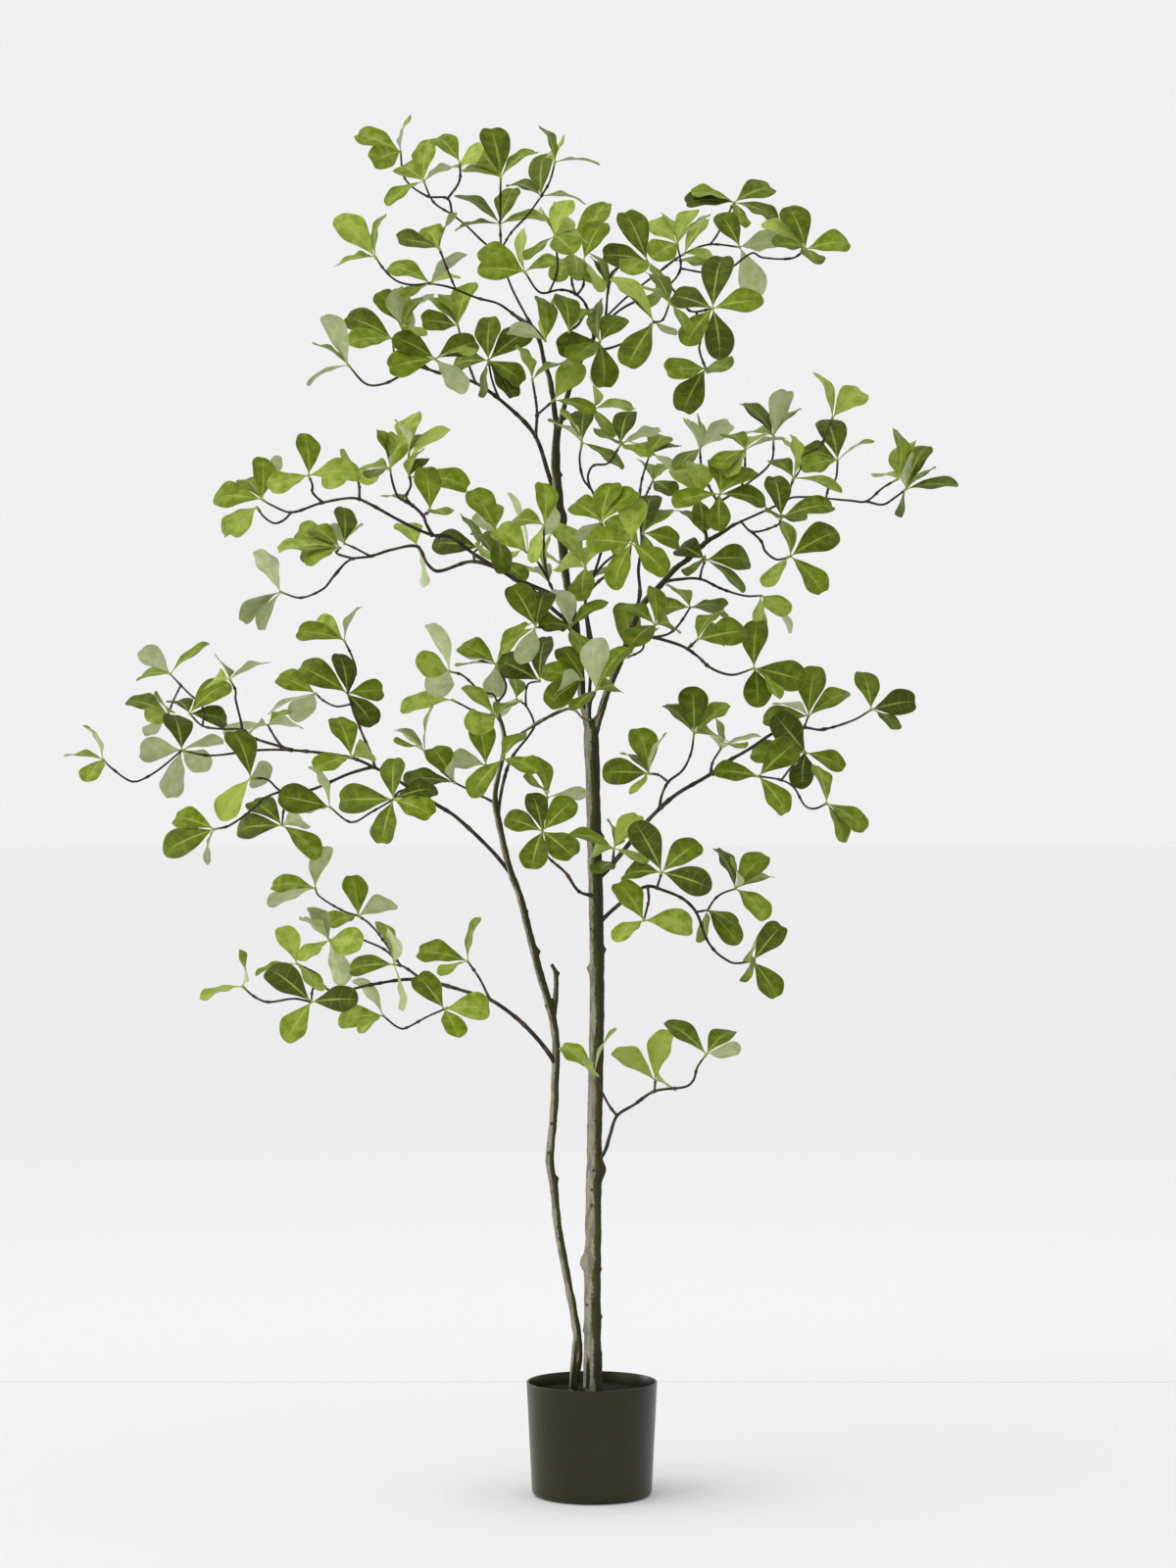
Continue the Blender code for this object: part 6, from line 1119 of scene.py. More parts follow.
def fine_blade(leaf, chance):
    """Points of one fine blade, and for each its vein row and its side; the order is that of blade_faces."""
    base, along, across, upper, length, width = leaf
    t, edge, breadth, midrib = blade_outline(chance.choice(NOTCHES))
    side = np.array(BLADE_COLUMNS)
    spread = np.abs(side)
    share = midrib[:, None] + (edge - midrib)[:, None] * spread ** 1.3
    half = np.maximum(width * FINE_WIDTH / 2 * breadth, PETIOLE_HALF_WIDTH * (1 - t ** 6))
    reach = half[:, None] * side
    lift = LEAF_ARCH * length * 4 * share * (1 - share)
    lift = lift + LEAF_FOLD * half[:, None] * (np.sqrt(spread ** 2 + 0.01) - 0.1)
    waves = chance.uniform(1.6, 2.6)
    for sign in (1, -1):
        size = chance.uniform(*WAVE_SIZES)
        start = chance.uniform(0, 2 * math.pi)
        wave = size * np.sin(2 * math.pi * waves * t + start) * smooth(t * 3) * breadth
        lift = lift + wave[:, None] * np.clip(side * sign, 0, 1) ** 2
    lift = lift - chance.uniform(-0.02, 0.09) * length * smooth((share - 0.55) / 0.45) ** 2
    quilt = np.cos(2 * math.pi * VEIN_PAIRS * t)[:, None] * np.sin(math.pi * spread)
    lift = lift + VEIN_QUILT * quilt * breadth[:, None]
    reach = reach + chance.uniform(-0.05, 0.05) * length * share ** 2
    twist = chance.uniform(-0.25, 0.25) * share
    near = np.exp(-(half[:, None] * side / MIDRIB_WIDTH) ** 2) * smooth(t * 8)[:, None] * (1 - 0.7 * share)
    stalk = 1 - smooth(t / PETIOLE_SHARE)
    thick = BLADE_THICKNESS + (PETIOLE_THICKNESS - BLADE_THICKNESS) * stalk
    body = thick[:, None] * np.sqrt(np.clip(1 - spread ** 4, 0, 1)) / 2
    sheets = []
    for height in (lift + body - MIDRIB_GROOVE * near, lift - body - MIDRIB_RIDGE * near):
        out = reach * np.cos(twist) - height * np.sin(twist)
        rise = reach * np.sin(twist) + height * np.cos(twist)
        place = np.array(base) + share[..., None] * length * np.array(along)
        sheets.append(place + out[..., None] * np.array(across) + rise[..., None] * np.array(upper))
    top = sheets[0][:BLADE_ROWS].reshape(-1, 3)
    under = sheets[1][:BLADE_ROWS, 1:-1].reshape(-1, 3)
    tip = (sheets[0][BLADE_ROWS, 5] + sheets[1][BLADE_ROWS, 5]) / 2
    rows = np.repeat(t[:, None], len(side), axis=1)
    columns = np.repeat(side[None, :], len(t), axis=0)
    marks = np.stack([rows, columns], axis=-1)
    marks = np.concatenate([marks[:BLADE_ROWS].reshape(-1, 2), marks[:BLADE_ROWS, 1:-1].reshape(-1, 2), [[1, 0]]])
    return np.concatenate([top, under, [tip]]), marks


def mesh_piece(name, points, faces, materials, face_materials=None, marks=None):
    """A piece from arrays of points and triangles; marks are values that its materials read at each point."""
    mesh = bpy.data.meshes.new(name)
    mesh.from_pydata([tuple(point) for point in points], [], [tuple(face) for face in faces])
    for material in materials:
        mesh.materials.append(material)
    if face_materials is not None:
        mesh.polygons.foreach_set("material_index", np.array(face_materials, dtype=np.int32))
    for label, values in (marks or {}).items():
        layer = mesh.attributes.new(label, "FLOAT_VECTOR", "POINT")
        layer.data.foreach_set("vector", np.array(values, dtype=np.float32).ravel())
    mesh.shade_smooth()
    mesh.set_sharp_from_angle(angle=math.radians(55))
    mesh.update()
    piece = bpy.data.objects.new(name, mesh)
    bpy.context.scene.collection.objects.link(piece)
    return piece


def leaves_piece(name, leaves, materials, chance):
    """All the fine blades of a branch in one piece."""
    template, template_sides = blade_faces()
    points = []
    faces = []
    sides = []
    blade_marks = []
    tone_marks = []
    count = 0
    for leaf, tone in leaves:
        blade, marks = fine_blade(leaf, chance)
        # The leaf's tone, with its painted light or shade, a little varied
        shade = TONES[tone] + chance.uniform(-0.1, 0.1)
        points.append(blade)
        faces.append(template + count)
        sides.append(template_sides)
        blade_marks.append(np.column_stack([marks, np.full(len(blade), shade)]))
        tone_marks.append(np.tile([chance.random(), chance.random(), chance.random()], (len(blade), 1)))
        count += len(blade)
    return mesh_piece(name, np.concatenate(points), np.concatenate(faces), materials, np.concatenate(sides),
                      {"blade": np.concatenate(blade_marks), "chance": np.concatenate(tone_marks)})


def curve_through(points, radii, step):
    """Smooth curve through the points, with its radius and the distance run, at about one step apart."""
    points = [np.array(point, dtype=float) for point in points]
    runs = [max(np.linalg.norm(b - a), 1e-6) for a, b in zip(points, points[1:])]
    last = len(points) - 1
    slopes = []
    for index in range(len(points)):
        before, after = max(index - 1, 0), min(index + 1, last)
        slopes.append((points[after] - points[before]) / sum(runs[before:after]))
    places = []
    widths = []
    for index, run in enumerate(runs):
        pieces = max(2, round(run / step))
        for part in range(pieces):
            u = part / pieces
            start = (2 * u ** 3 - 3 * u ** 2 + 1) * points[index] + (u ** 3 - 2 * u ** 2 + u) * run * slopes[index]
            end = (3 * u ** 2 - 2 * u ** 3) * points[index + 1] + (u ** 3 - u ** 2) * run * slopes[index + 1]
            places.append(start + end)
            widths.append(radii[index] + (radii[index + 1] - radii[index]) * u)
    places.append(points[-1])
    widths.append(radii[-1])
    places = np.array(places)
    lengths = np.concatenate([[0.0], np.cumsum(np.linalg.norm(np.diff(places, axis=0), axis=1))])
    return places, np.array(widths), lengths


def round_tube(places, widths, sides):
    """Points and triangles of a round tube along a dense curve, closed by a point at each end."""
    directions = np.gradient(places, axis=0)
    directions /= np.linalg.norm(directions, axis=1)[:, None]
    side = np.array(Vector(directions[0]).orthogonal().normalized())
    angles = 2 * math.pi * np.arange(sides) / sides
    rings = []
    for place, width, direction in zip(places, widths, directions):
        side = side - direction * side.dot(direction)
        side /= np.linalg.norm(side)
        other = np.cross(direction, side)
        rings.append(place + width * (np.cos(angles)[:, None] * side + np.sin(angles)[:, None] * other))
    count = len(places)
    a = (np.arange(count - 1)[:, None] * sides + np.arange(sides)).ravel()
    b = (np.arange(count - 1)[:, None] * sides + (np.arange(sides) + 1) % sides).ravel()
    faces = [np.column_stack([a, b, b + sides]), np.column_stack([a, b + sides, a + sides])]
    start, end = count * sides, count * sides + 1
    first = np.arange(sides)
    after = (first + 1) % sides
    faces.append(np.column_stack([after, first, np.full(sides, start)]))
    top = (count - 1) * sides
    faces.append(np.column_stack([first + top, after + top, np.full(sides, end)]))
    points = np.concatenate([*rings, [places[0] - directions[0] * widths[0] * 0.3],
                             [places[-1] + directions[-1] * widths[-1] * 0.8]])
    return points, np.concatenate(faces)


def nearest_on_curves(curves, place):
    """Nearest point to a place on any of some dense curves, and the radius there."""
    best = None
    for places, widths, _ in curves:
        gaps = np.linalg.norm(places - place, axis=1)
        index = int(np.argmin(gaps))
        if best is None or gaps[index] < best[0]:
            best = (gaps[index], places[index], widths[index])
    return best[1], best[2]


def twig_curve(readings, path, parents, chance):
    """Smooth course of one twig: through its route's points, from the parent's middle to its leafy end."""
    foot, parent_width = nearest_on_curves(parents, np.array(push(*path[0][:3])))
    flat = [path[0][:2]] + list(readings[1:])
    lengths = route_lengths(flat)
    whole = max(lengths[-1], 0.01)
    points = [foot]
    radii = [min(path[0][3], parent_width)]
    for (x, z), length in list(zip(flat, lengths))[1:]:
        share = length / whole
        points.append(push(x, z, path[0][2] + (path[-1][2] - path[0][2]) * share))
        radii.append(path[0][3] + (path[-1][3] - path[0][3]) * share)
    places, widths, run = curve_through(points, radii, TWIG_STEP)
    start = chance.uniform(0, 9)
    for index in range(len(places)):
        widths[index] *= 1 + 0.16 * noise.noise(Vector((start, run[index] * 45, 0)))
    widths += 0.5 * widths[0] * np.exp(-run / (parent_width + 2 * MM))
    for _ in range(max(1, int(run[-1] / 0.06))):
        node = chance.uniform(0.15, 0.95) * run[-1]
        widths += 0.9 * MM * np.exp(-((run - node) / (3 * MM)) ** 2)
    to_end = run[-1] - run
    widths += 0.9 * MM * np.exp(-(to_end / (4 * MM)) ** 2)
    return places, widths, run


def stem_curve(stem):
    points, radii = stem_points(stem)
    return curve_through(points, radii, STEM_STEP)


def twigs_piece(name, rows, paths, parents, material, chance):
    """All the twigs of a branch in one piece, with marks that turn their leafy ends green."""
    curves = []
    points = []
    faces = []
    marks = []
    count = 0
    for row, path in zip(rows, paths):
        places, widths, run = twig_curve(row[1], path, curves or parents, chance)
        curves.append((places, widths, run))
        tube_points, tube_faces = round_tube(places, widths, TWIG_ROUND_SIDES)
        to_end = run[-1] - run
        green = np.repeat(1 - smooth(to_end / HUB_GREEN_LENGTH), TWIG_ROUND_SIDES)
        green = np.concatenate([green, [0.0, 1.0]])
        along = np.concatenate([np.repeat(run, TWIG_ROUND_SIDES), [0.0, run[-1]]])
        points.append(tube_points)
        faces.append(tube_faces + count)
        marks.append(np.column_stack([green, along, np.zeros(len(green))]))
        count += len(tube_points)
    return mesh_piece(name, np.concatenate(points), np.concatenate(faces), [material],
                      marks={"twig": np.concatenate(marks)})


def stem_piece(name, stems, knots, nubs, material):
    """Stems grown into each other, with bark relief, knots and nubs."""
    points = []
    faces = []
    count = 0
    for stem in stems:
        places, widths, _ = stem_curve(stem)
        stem_points_, stem_faces = round_tube(places, widths, STEM_SIDES)
        points.append(stem_points_)
        faces.append(stem_faces + count)
        count += len(stem_points_)
    piece = mesh_piece(name, np.concatenate(points), np.concatenate(faces), [material])
    grow_together(piece)
    raise_bark(piece.data, [stem_curve(stem) for stem in stems], knots, nubs)
    return piece


VOXEL = 1.5 * MM

# How a knot spreads beyond its radius, and how much less along the stem than across it
KNOT_SPREAD = 1.15
KNOT_SHAPE = np.array([1.0, 1.0, 0.5])
KNOT_LEAST = 1.5 * MM
SCAR_SPREAD = 0.55
SCAR_DEPTH = 0.45
NUB_RADIUS = 3.3 * MM

# The side of the stems turned from the key light, where shade is painted on the bark, and how far the painted shade
# reaches round the stem at some heights in metres
SHADE_SIDE = np.array([1.0, 0.3, 0.0])
SHADE_RISE = ((0.0, 0.2, 0.55, 0.75, 1.12, 1.17, 1.24, 1.3), (0.35, 0.25, 0.25, 0.6, 0.65, 0.3, 0.3, 0.85))


def grow_together(piece):
    """Join the overlapping tubes of a piece in one softened skin."""
    remesh = piece.modifiers.new("skin", "REMESH")
    remesh.mode = "VOXEL"
    remesh.voxel_size = VOXEL
    soften = piece.modifiers.new("soften", "SMOOTH")
    soften.factor = 0.5
    soften.iterations = 5
    bpy.context.view_layer.update()
    depsgraph = bpy.context.evaluated_depsgraph_get()
    mesh = bpy.data.meshes.new_from_object(piece.evaluated_get(depsgraph))
    piece.modifiers.clear()
    old = piece.data
    piece.data = mesh
    bpy.data.meshes.remove(old)


def front_of_stem(curves, pixel):
    """The place on a stem's bark that the front view shows at a pixel of the photograph."""
    x, z = from_pixels(pixel)
    seen = np.array(push(x, z, 0.0))
    middle, width = nearest_on_curves(curves, seen)
    out = max(-width, min(width, seen[0] - middle[0]))
    return np.array([middle[0] + out, middle[1] - math.sqrt(width ** 2 - out ** 2), seen[2]])


def raise_bark(mesh, curves, knots, nubs):
    """Raise the bark and its knots, and mark each point with how far it lies on the side of painted shade, and with
    its knot scars.
    """
    count = len(mesh.vertices)
    places = np.zeros(count * 3)
    normals = np.zeros(count * 3)
    mesh.vertices.foreach_get("co", places)
    mesh.vertex_normals.foreach_get("vector", normals)
    places = places.reshape(-1, 3)
    normals = normals.reshape(-1, 3)
    relief = np.array([bark_height(Vector(place)) for place in places])
    scars = np.zeros(count)
    for x, z, depth, diameter in knots:
        centre = np.array(push(x, z, depth))
        radius = diameter * CM / 2
        middle, width = nearest_on_curves(curves, centre)
        away = centre - middle
        height = max(np.linalg.norm(away) + radius - width, KNOT_LEAST)
        crest = centre + away / max(np.linalg.norm(away), MM) * radius
        swell = np.exp(-((places - centre) / (radius * KNOT_SPREAD)) ** 2 @ KNOT_SHAPE)
        scar = np.exp(-(np.linalg.norm(places - crest, axis=1) / (radius * SCAR_SPREAD)) ** 2)
        relief += height * swell - SCAR_DEPTH * height * scar
        scars = np.maximum(scars, scar)
    for nub_x, nub_y, height in nubs:
        bump = front_of_stem(curves, (nub_x, nub_y))
        scar = np.exp(-(np.linalg.norm(places - bump, axis=1) / NUB_RADIUS) ** 2)
        relief += height * MM * scar
        scars = np.maximum(scars, scar)
    # Painted shade: how far each point faces away from the key light, widened round the stem at some heights
    shaded_facing = normals @ SHADE_SIDE
    shaded_facing = shaded_facing + np.interp(places[:, 2], *SHADE_RISE)
    places += normals * relief[:, None]
    mesh.vertices.foreach_set("co", places.ravel())
    aspect = mesh.attributes.new("aspect", "FLOAT_VECTOR", "POINT")
    values = np.column_stack([shaded_facing, scars, np.zeros(count)])
    aspect.data.foreach_set("vector", values.astype(np.float32).ravel())
    mesh.shade_smooth()
    mesh.update()


def bark_height(place):
    """Height of the bark at a place: long shallow ridges, broken by lumps and small pits."""
    ridges = noise.noise(Vector((place.x * 260, place.y * 260, place.z * 60)))
    lumps = noise.noise(place * 48)
    pits = noise.noise(place * 190 + Vector((7, 0, 0)))
    return 0.4 * MM * ridges + 0.9 * MM * lumps + 0.35 * MM * pits


def pot_outer_radius(height):
    """Radius of the pot's straight outer side at a height."""
    return POT_BASE_RADIUS + (POT_RIM_RADIUS - POT_BASE_RADIUS) * height / POT_HEIGHT


POT_FINE_SIDES = 128
POT_LIP = 1.1 * MM


def pot_profile():
    """The pot's fine profile as (radius, height), from the middle of its base over the rim to its inner floor."""
    profile = [(0.0, 0.0), (POT_BASE_RADIUS * 0.5, 0.0)]
    centre = pot_outer_radius(POT_EDGE_RADIUS) - POT_EDGE_RADIUS
    for degrees in range(0, 89, 8):
        angle = math.radians(degrees)
        profile.append((centre + POT_EDGE_RADIUS * math.sin(angle), POT_EDGE_RADIUS * (1 - math.cos(angle))))
    for step in range(1, 14):
        height = POT_EDGE_RADIUS + (POT_HEIGHT - POT_LIP - POT_EDGE_RADIUS) * step / 13
        profile.append((pot_outer_radius(height), height))
    for degrees in range(15, 180, 15):
        angle = math.radians(degrees)
        middle = POT_RIM_RADIUS - POT_WALL / 2
        profile.append((middle + POT_WALL / 2 * math.cos(angle), POT_HEIGHT - POT_LIP + POT_LIP * math.sin(angle)))
    for step in range(10):
        height = POT_HEIGHT - POT_LIP - (POT_HEIGHT - POT_LIP - POT_INNER_EASE) * step / 9
        profile.append((pot_outer_radius(height) - POT_WALL, height))
    profile.append((pot_outer_radius(POT_FLOOR) - POT_WALL - POT_EDGE_RADIUS / 2, POT_FLOOR))
    profile.append((0.0, POT_FLOOR))
    return profile


def turned(profile, sides):
    """Points and triangles turned round the upright axis from a profile, bottom centre to top centre."""
    angles = 2 * math.pi * np.arange(sides) / sides
    points = [np.array([[0.0, 0.0, profile[0][1]]])]
    for radius, height in profile[1:-1]:
        points.append(np.column_stack([radius * np.cos(angles), radius * np.sin(angles), np.full(sides, height)]))
    points.append(np.array([[0.0, 0.0, profile[-1][1]]]))
    rings = len(profile) - 2
    first = np.arange(sides)
    after = (first + 1) % sides
    faces = [np.column_stack([np.zeros(sides, int), 1 + after, 1 + first])]
    for ring in range(rings - 1):
        low, high = 1 + ring * sides, 1 + (ring + 1) * sides
        faces.append(np.column_stack([low + first, low + after, high + after]))
        faces.append(np.column_stack([low + first, high + after, high + first]))
    last = 1 + (rings - 1) * sides
    faces.append(np.column_stack([last + first, last + after, np.full(sides, 1 + rings * sides)]))
    return np.concatenate(points), np.concatenate(faces)


FILL_SIDES = 160
FILL_RINGS = 44
FILL_LUMP = 2.2 * MM


def make_filling(material):
    """Crumbly filling: a lumpy top over a plain side."""
    inner_base = pot_outer_radius(POT_FLOOR) - POT_WALL - POT_EDGE_RADIUS / 2 - GAP
    top_radius = pot_outer_radius(FILL_TOP) - POT_WALL - GAP
    profile = [(0.0, POT_FLOOR + GAP), (inner_base, POT_FLOOR + GAP)]
    profile.append((pot_outer_radius(POT_INNER_EASE) - POT_WALL - GAP, POT_INNER_EASE))
    for ring in range(FILL_RINGS):
        share = 1 - ring / FILL_RINGS
        profile.append((top_radius * share, FILL_TOP + FILL_CROWN * (1 - share)))
    profile.append((0.0, FILL_TOP + FILL_CROWN))
    points, faces = turned(profile, FILL_SIDES)
    for point in points:
        radius = math.hypot(point[0], point[1])
        if point[2] > FILL_TOP - MM and radius < top_radius - MM:
            place = Vector(point)
            lump = abs(noise.noise(place * 75)) + 0.5 * abs(noise.noise(place * 190))
            point[2] += FILL_LUMP * (lump * 2 - 0.6)
    return mesh_piece("filling_crumb", points, faces, [material])


# Materials

# Upper leaf colours from the darkest tone to the lightest, holding painted shade and light as well as the leaf's own
# colour
LEAF_TONES = [(0.0, (0.056, 0.074, 0.002)), (0.35, (0.11, 0.155, 0.003)), (0.65, (0.18, 0.255, 0.008)),
              (1.0, (0.35, 0.44, 0.07))]
UNDER_TONES = [(0.0, (0.21, 0.27, 0.08)), (0.5, (0.38, 0.44, 0.2)), (1.0, (0.55, 0.6, 0.38))]
RIB_COLOUR = (0.42, 0.49, 0.12)
STALK_COLOUR = (0.3, 0.37, 0.06)
TWIG_COLOUR = (0.034, 0.029, 0.017)
TWIG_LIGHT = (0.11, 0.092, 0.066)
BARK_DARK = (0.04, 0.036, 0.022)
BARK_GREY = (0.22, 0.198, 0.148)
BARK_LIGHT = (0.34, 0.31, 0.24)
# Olive for the moss flecks on the lit bark and for the painted shade on the shaded side
BARK_MOSS_AND_SHADE = (0.066, 0.074, 0.014)

# The painted shade on the stems' shaded side is darkest from the filling up to here, in metres
FOOT_LOW = 0.2
FOOT_TOP = 0.25


class Graph:
    """Short calls to lay out a material's nodes."""

    def __init__(self, name, roughness, specular=0.5):
        self.material = bpy.data.materials.new(name)
        self.material.use_nodes = True
        self.tree = self.material.node_tree
        self.shader = self.tree.nodes["Principled BSDF"]
        self.shader.inputs["Roughness"].default_value = roughness
        self.shader.inputs["Specular IOR Level"].default_value = specular

    def link(self, value, socket):
        """Feed a socket from another one, or set it to a number, a colour or a vector."""
        if isinstance(value, bpy.types.NodeSocket):
            self.tree.links.new(value, socket)
        elif socket.type == "RGBA":
            socket.default_value = (*value, 1.0)
        else:
            socket.default_value = value

    def attribute(self, name):
        """The three values that a piece carries at each point."""
        node = self.tree.nodes.new("ShaderNodeAttribute")
        node.attribute_name = name
        split = self.tree.nodes.new("ShaderNodeSeparateXYZ")
        self.tree.links.new(node.outputs["Vector"], split.inputs[0])
        return split.outputs

    def maths(self, operation, *values):
        node = self.tree.nodes.new("ShaderNodeMath")
        node.operation = operation
        for value, socket in zip(values, node.inputs):
            self.link(value, socket)
        return node.outputs[0]

    def step(self, value, low, high, out_low=0.0, out_high=1.0):
        """Smooth change from out_low to out_high as value passes from low to high."""
        node = self.tree.nodes.new("ShaderNodeMapRange")
        node.interpolation_type = "SMOOTHSTEP"
        for name, number in (("Value", value), ("From Min", low), ("From Max", high), ("To Min", out_low),
                             ("To Max", out_high)):
            self.link(number, node.inputs[name])
        return node.outputs[0]

    def mix(self, share, first, second, blend="MIX"):
        node = self.tree.nodes.new("ShaderNodeMix")
        node.data_type = "RGBA"
        node.blend_type = blend
        self.link(share, node.inputs["Factor"])
        for value, socket in zip((first, second), [s for s in node.inputs if s.type == "RGBA"]):
            self.link(value, socket)
        return next(s for s in node.outputs if s.type == "RGBA")

    def ramp(self, value, stops):
        node = self.tree.nodes.new("ShaderNodeValToRGB")
        ramp = node.color_ramp
        while len(ramp.elements) < len(stops):
            ramp.elements.new(0.5)
        for element, (place, colour) in zip(ramp.elements, stops):
            element.position = place
            element.color = (*colour, 1.0)
        self.link(value, node.inputs[0])
        return node.outputs["Color"]

    def place(self):
        """The three coordinates in the object's own space."""
        node = self.tree.nodes.new("ShaderNodeTexCoord")
        split = self.tree.nodes.new("ShaderNodeSeparateXYZ")
        self.tree.links.new(node.outputs["Object"], split.inputs[0])
        return split.outputs

    def noise(self, scale, detail=3.0, stretch=(1.0, 1.0, 1.0)):
        """Noise in the object's own space, stretched along its axes."""
        place = self.tree.nodes.new("ShaderNodeTexCoord")
        mapping = self.tree.nodes.new("ShaderNodeMapping")
        mapping.inputs["Scale"].default_value = stretch
        node = self.tree.nodes.new("ShaderNodeTexNoise")
        node.inputs["Scale"].default_value = scale
        node.inputs["Detail"].default_value = detail
        self.tree.links.new(place.outputs["Object"], mapping.inputs["Vector"])
        self.tree.links.new(mapping.outputs["Vector"], node.inputs["Vector"])
        return node.outputs[0]

    def bump(self, height, distance, strength=1.0):
        node = self.tree.nodes.new("ShaderNodeBump")
        node.inputs["Distance"].default_value = distance
        node.inputs["Strength"].default_value = strength
        self.link(height, node.inputs["Height"])
        self.link(node.outputs[0], self.shader.inputs["Normal"])

    def finish(self, colour, roughness=None):
        self.link(colour, self.shader.inputs["Base Color"])
        if roughness is not None:
            self.link(roughness, self.shader.inputs["Roughness"])
        return self.material


def leaf_material(name, tones, roughness, vein_share):
    """A leaf face: its tone, which holds painted light and shade, a pale midrib that fades to the tip, faint forward
    veins and a pale stalk.
    """
    graph = Graph(name, roughness, 0.16)
    row, side, tone = graph.attribute("blade")
    chance = graph.attribute("chance")
    out = graph.maths("ABSOLUTE", side)
    mottle = graph.noise(75, 4.0)
    shade = graph.maths("ADD", tone, graph.step(mottle, 0.34, 0.66, -0.15, 0.15))
    shade = graph.maths("ADD", shade, graph.step(out, 0.0, 1.0, 0.06, -0.06))
    colour = graph.ramp(shade, tones)
    warm = graph.maths("MULTIPLY", chance[0], 0.25)
    colour = graph.mix(warm, colour, (0.22, 0.26, 0.02), "SOFT_LIGHT")
    phase = graph.maths("FRACT", graph.maths("MULTIPLY", row, float(VEIN_PAIRS)))
    vein = graph.step(graph.maths("ABSOLUTE", graph.maths("SUBTRACT", phase, 0.5)), 0.06, 0.0)
    vein = graph.maths("MULTIPLY", vein, graph.step(out, 0.95, 0.5, 0.0, vein_share))
    colour = graph.mix(vein, colour, RIB_COLOUR)
    reach = graph.step(row, 0.0, 1.0, 0.17, 0.03)
    rib = graph.step(graph.maths("DIVIDE", out, reach), 1.0, 0.2, 0.0, 0.6)
    rib = graph.maths("MULTIPLY", rib, graph.step(row, 1.0, 0.55, 0.15, 1.0))
    colour = graph.mix(rib, colour, RIB_COLOUR)
    edge = graph.step(out, 0.93, 1.0, 0.0, 0.35)
    colour = graph.mix(edge, colour, RIB_COLOUR)
    stalk = graph.step(row, 0.16, 0.04, 0.0, 0.9)
    colour = graph.mix(stalk, colour, STALK_COLOUR)
    fine = graph.noise(420, 3.0)
    graph.bump(graph.maths("ADD", graph.maths("MULTIPLY", fine, 0.4), vein), 0.5 * MM, 0.5)
    return graph.finish(colour, graph.step(mottle, 0.25, 0.75, roughness - 0.06, roughness + 0.1))


def twig_material():
    """Thin dark bark that turns green at the leafy ends."""
    graph = Graph("twig_bark", 0.8, 0.15)
    green = graph.attribute("twig")[0]
    patches = graph.noise(60, 4.0)
    colour = graph.mix(graph.step(patches, 0.45, 0.75), TWIG_COLOUR, TWIG_LIGHT)
    colour = graph.mix(graph.step(graph.noise(320, 3.0), 0.35, 0.7, 0.0, 0.5), colour, TWIG_COLOUR)
    colour = graph.mix(green, colour, STALK_COLOUR)
    graph.bump(graph.noise(500, 4.0), 0.6 * MM, 0.6)
    return graph.finish(colour)


def stem_material():
    """Taupe bark on the lit side and dark olive painted shade on the side turned from the key light, with dark knot
    scars and furrows.
    """
    graph = Graph("stem_bark", 0.88, 0.1)
    streaks = graph.noise(150, 5.0, (1.0, 1.0, 0.22))
    flakes = graph.noise(45, 5.0, (1.0, 1.0, 0.4))
    specks = graph.noise(420, 3.0)
    shaded_facing, scar, _ = graph.attribute("aspect")
    # Painted shade deepens towards the stem's foot
    foot = graph.step(graph.place()[2], FOOT_TOP, FOOT_LOW, 0.0, 0.85)
    # Bark on the lit side; the shaded side below is painted shade
    lit_bark = graph.mix(graph.step(streaks, 0.4, 0.56), BARK_GREY, BARK_LIGHT)
    lit_bark = graph.mix(graph.step(specks, 0.5, 0.64, 0.0, 0.35), lit_bark, BARK_MOSS_AND_SHADE)
    lit_bark = graph.mix(graph.step(flakes, 0.58, 0.74, 0.0, 0.5), lit_bark, BARK_MOSS_AND_SHADE)
    edge = graph.maths("ADD", shaded_facing, graph.step(flakes, 0.3, 0.7, -0.22, 0.22))
    edge = graph.maths("ADD", edge, graph.step(specks, 0.35, 0.65, -0.08, 0.08))
    shaded_bark = graph.mix(graph.step(edge, 0.2, 0.75), BARK_MOSS_AND_SHADE, BARK_DARK)
    shaded_bark = graph.mix(graph.step(streaks, 0.47, 0.6, 0.0, 0.8), shaded_bark, BARK_DARK)
    shaded_bark = graph.mix(foot, shaded_bark, BARK_DARK)
    # Painted shade: the bark turns dark olive on the side turned from the key light
    colour = graph.mix(graph.step(edge, -0.12, 0.12), lit_bark, shaded_bark)
    colour = graph.mix(graph.step(specks, 0.62, 0.78, 0.0, 0.5), colour, BARK_DARK)
    colour = graph.mix(graph.step(scar, 0.25, 0.8, 0.0, 0.9), colour, BARK_DARK)
    graph.bump(graph.maths("ADD", streaks, graph.maths("MULTIPLY", specks, 0.5)), 0.9 * MM, 0.7)
    return graph.finish(colour)


def pot_material():
    """Satin near-black plastic with a fine even grain."""
    graph = Graph("pot_satin", 0.32, 0.3)
    grain = graph.noise(900, 2.0)
    cloud = graph.noise(9, 3.0)
    colour = graph.mix(graph.step(cloud, 0.35, 0.65), (0.017, 0.015, 0.002), (0.022, 0.019, 0.004))
    graph.bump(grain, 0.2 * MM, 0.35)
    return graph.finish(colour, graph.step(cloud, 0.3, 0.7, 0.29, 0.35))


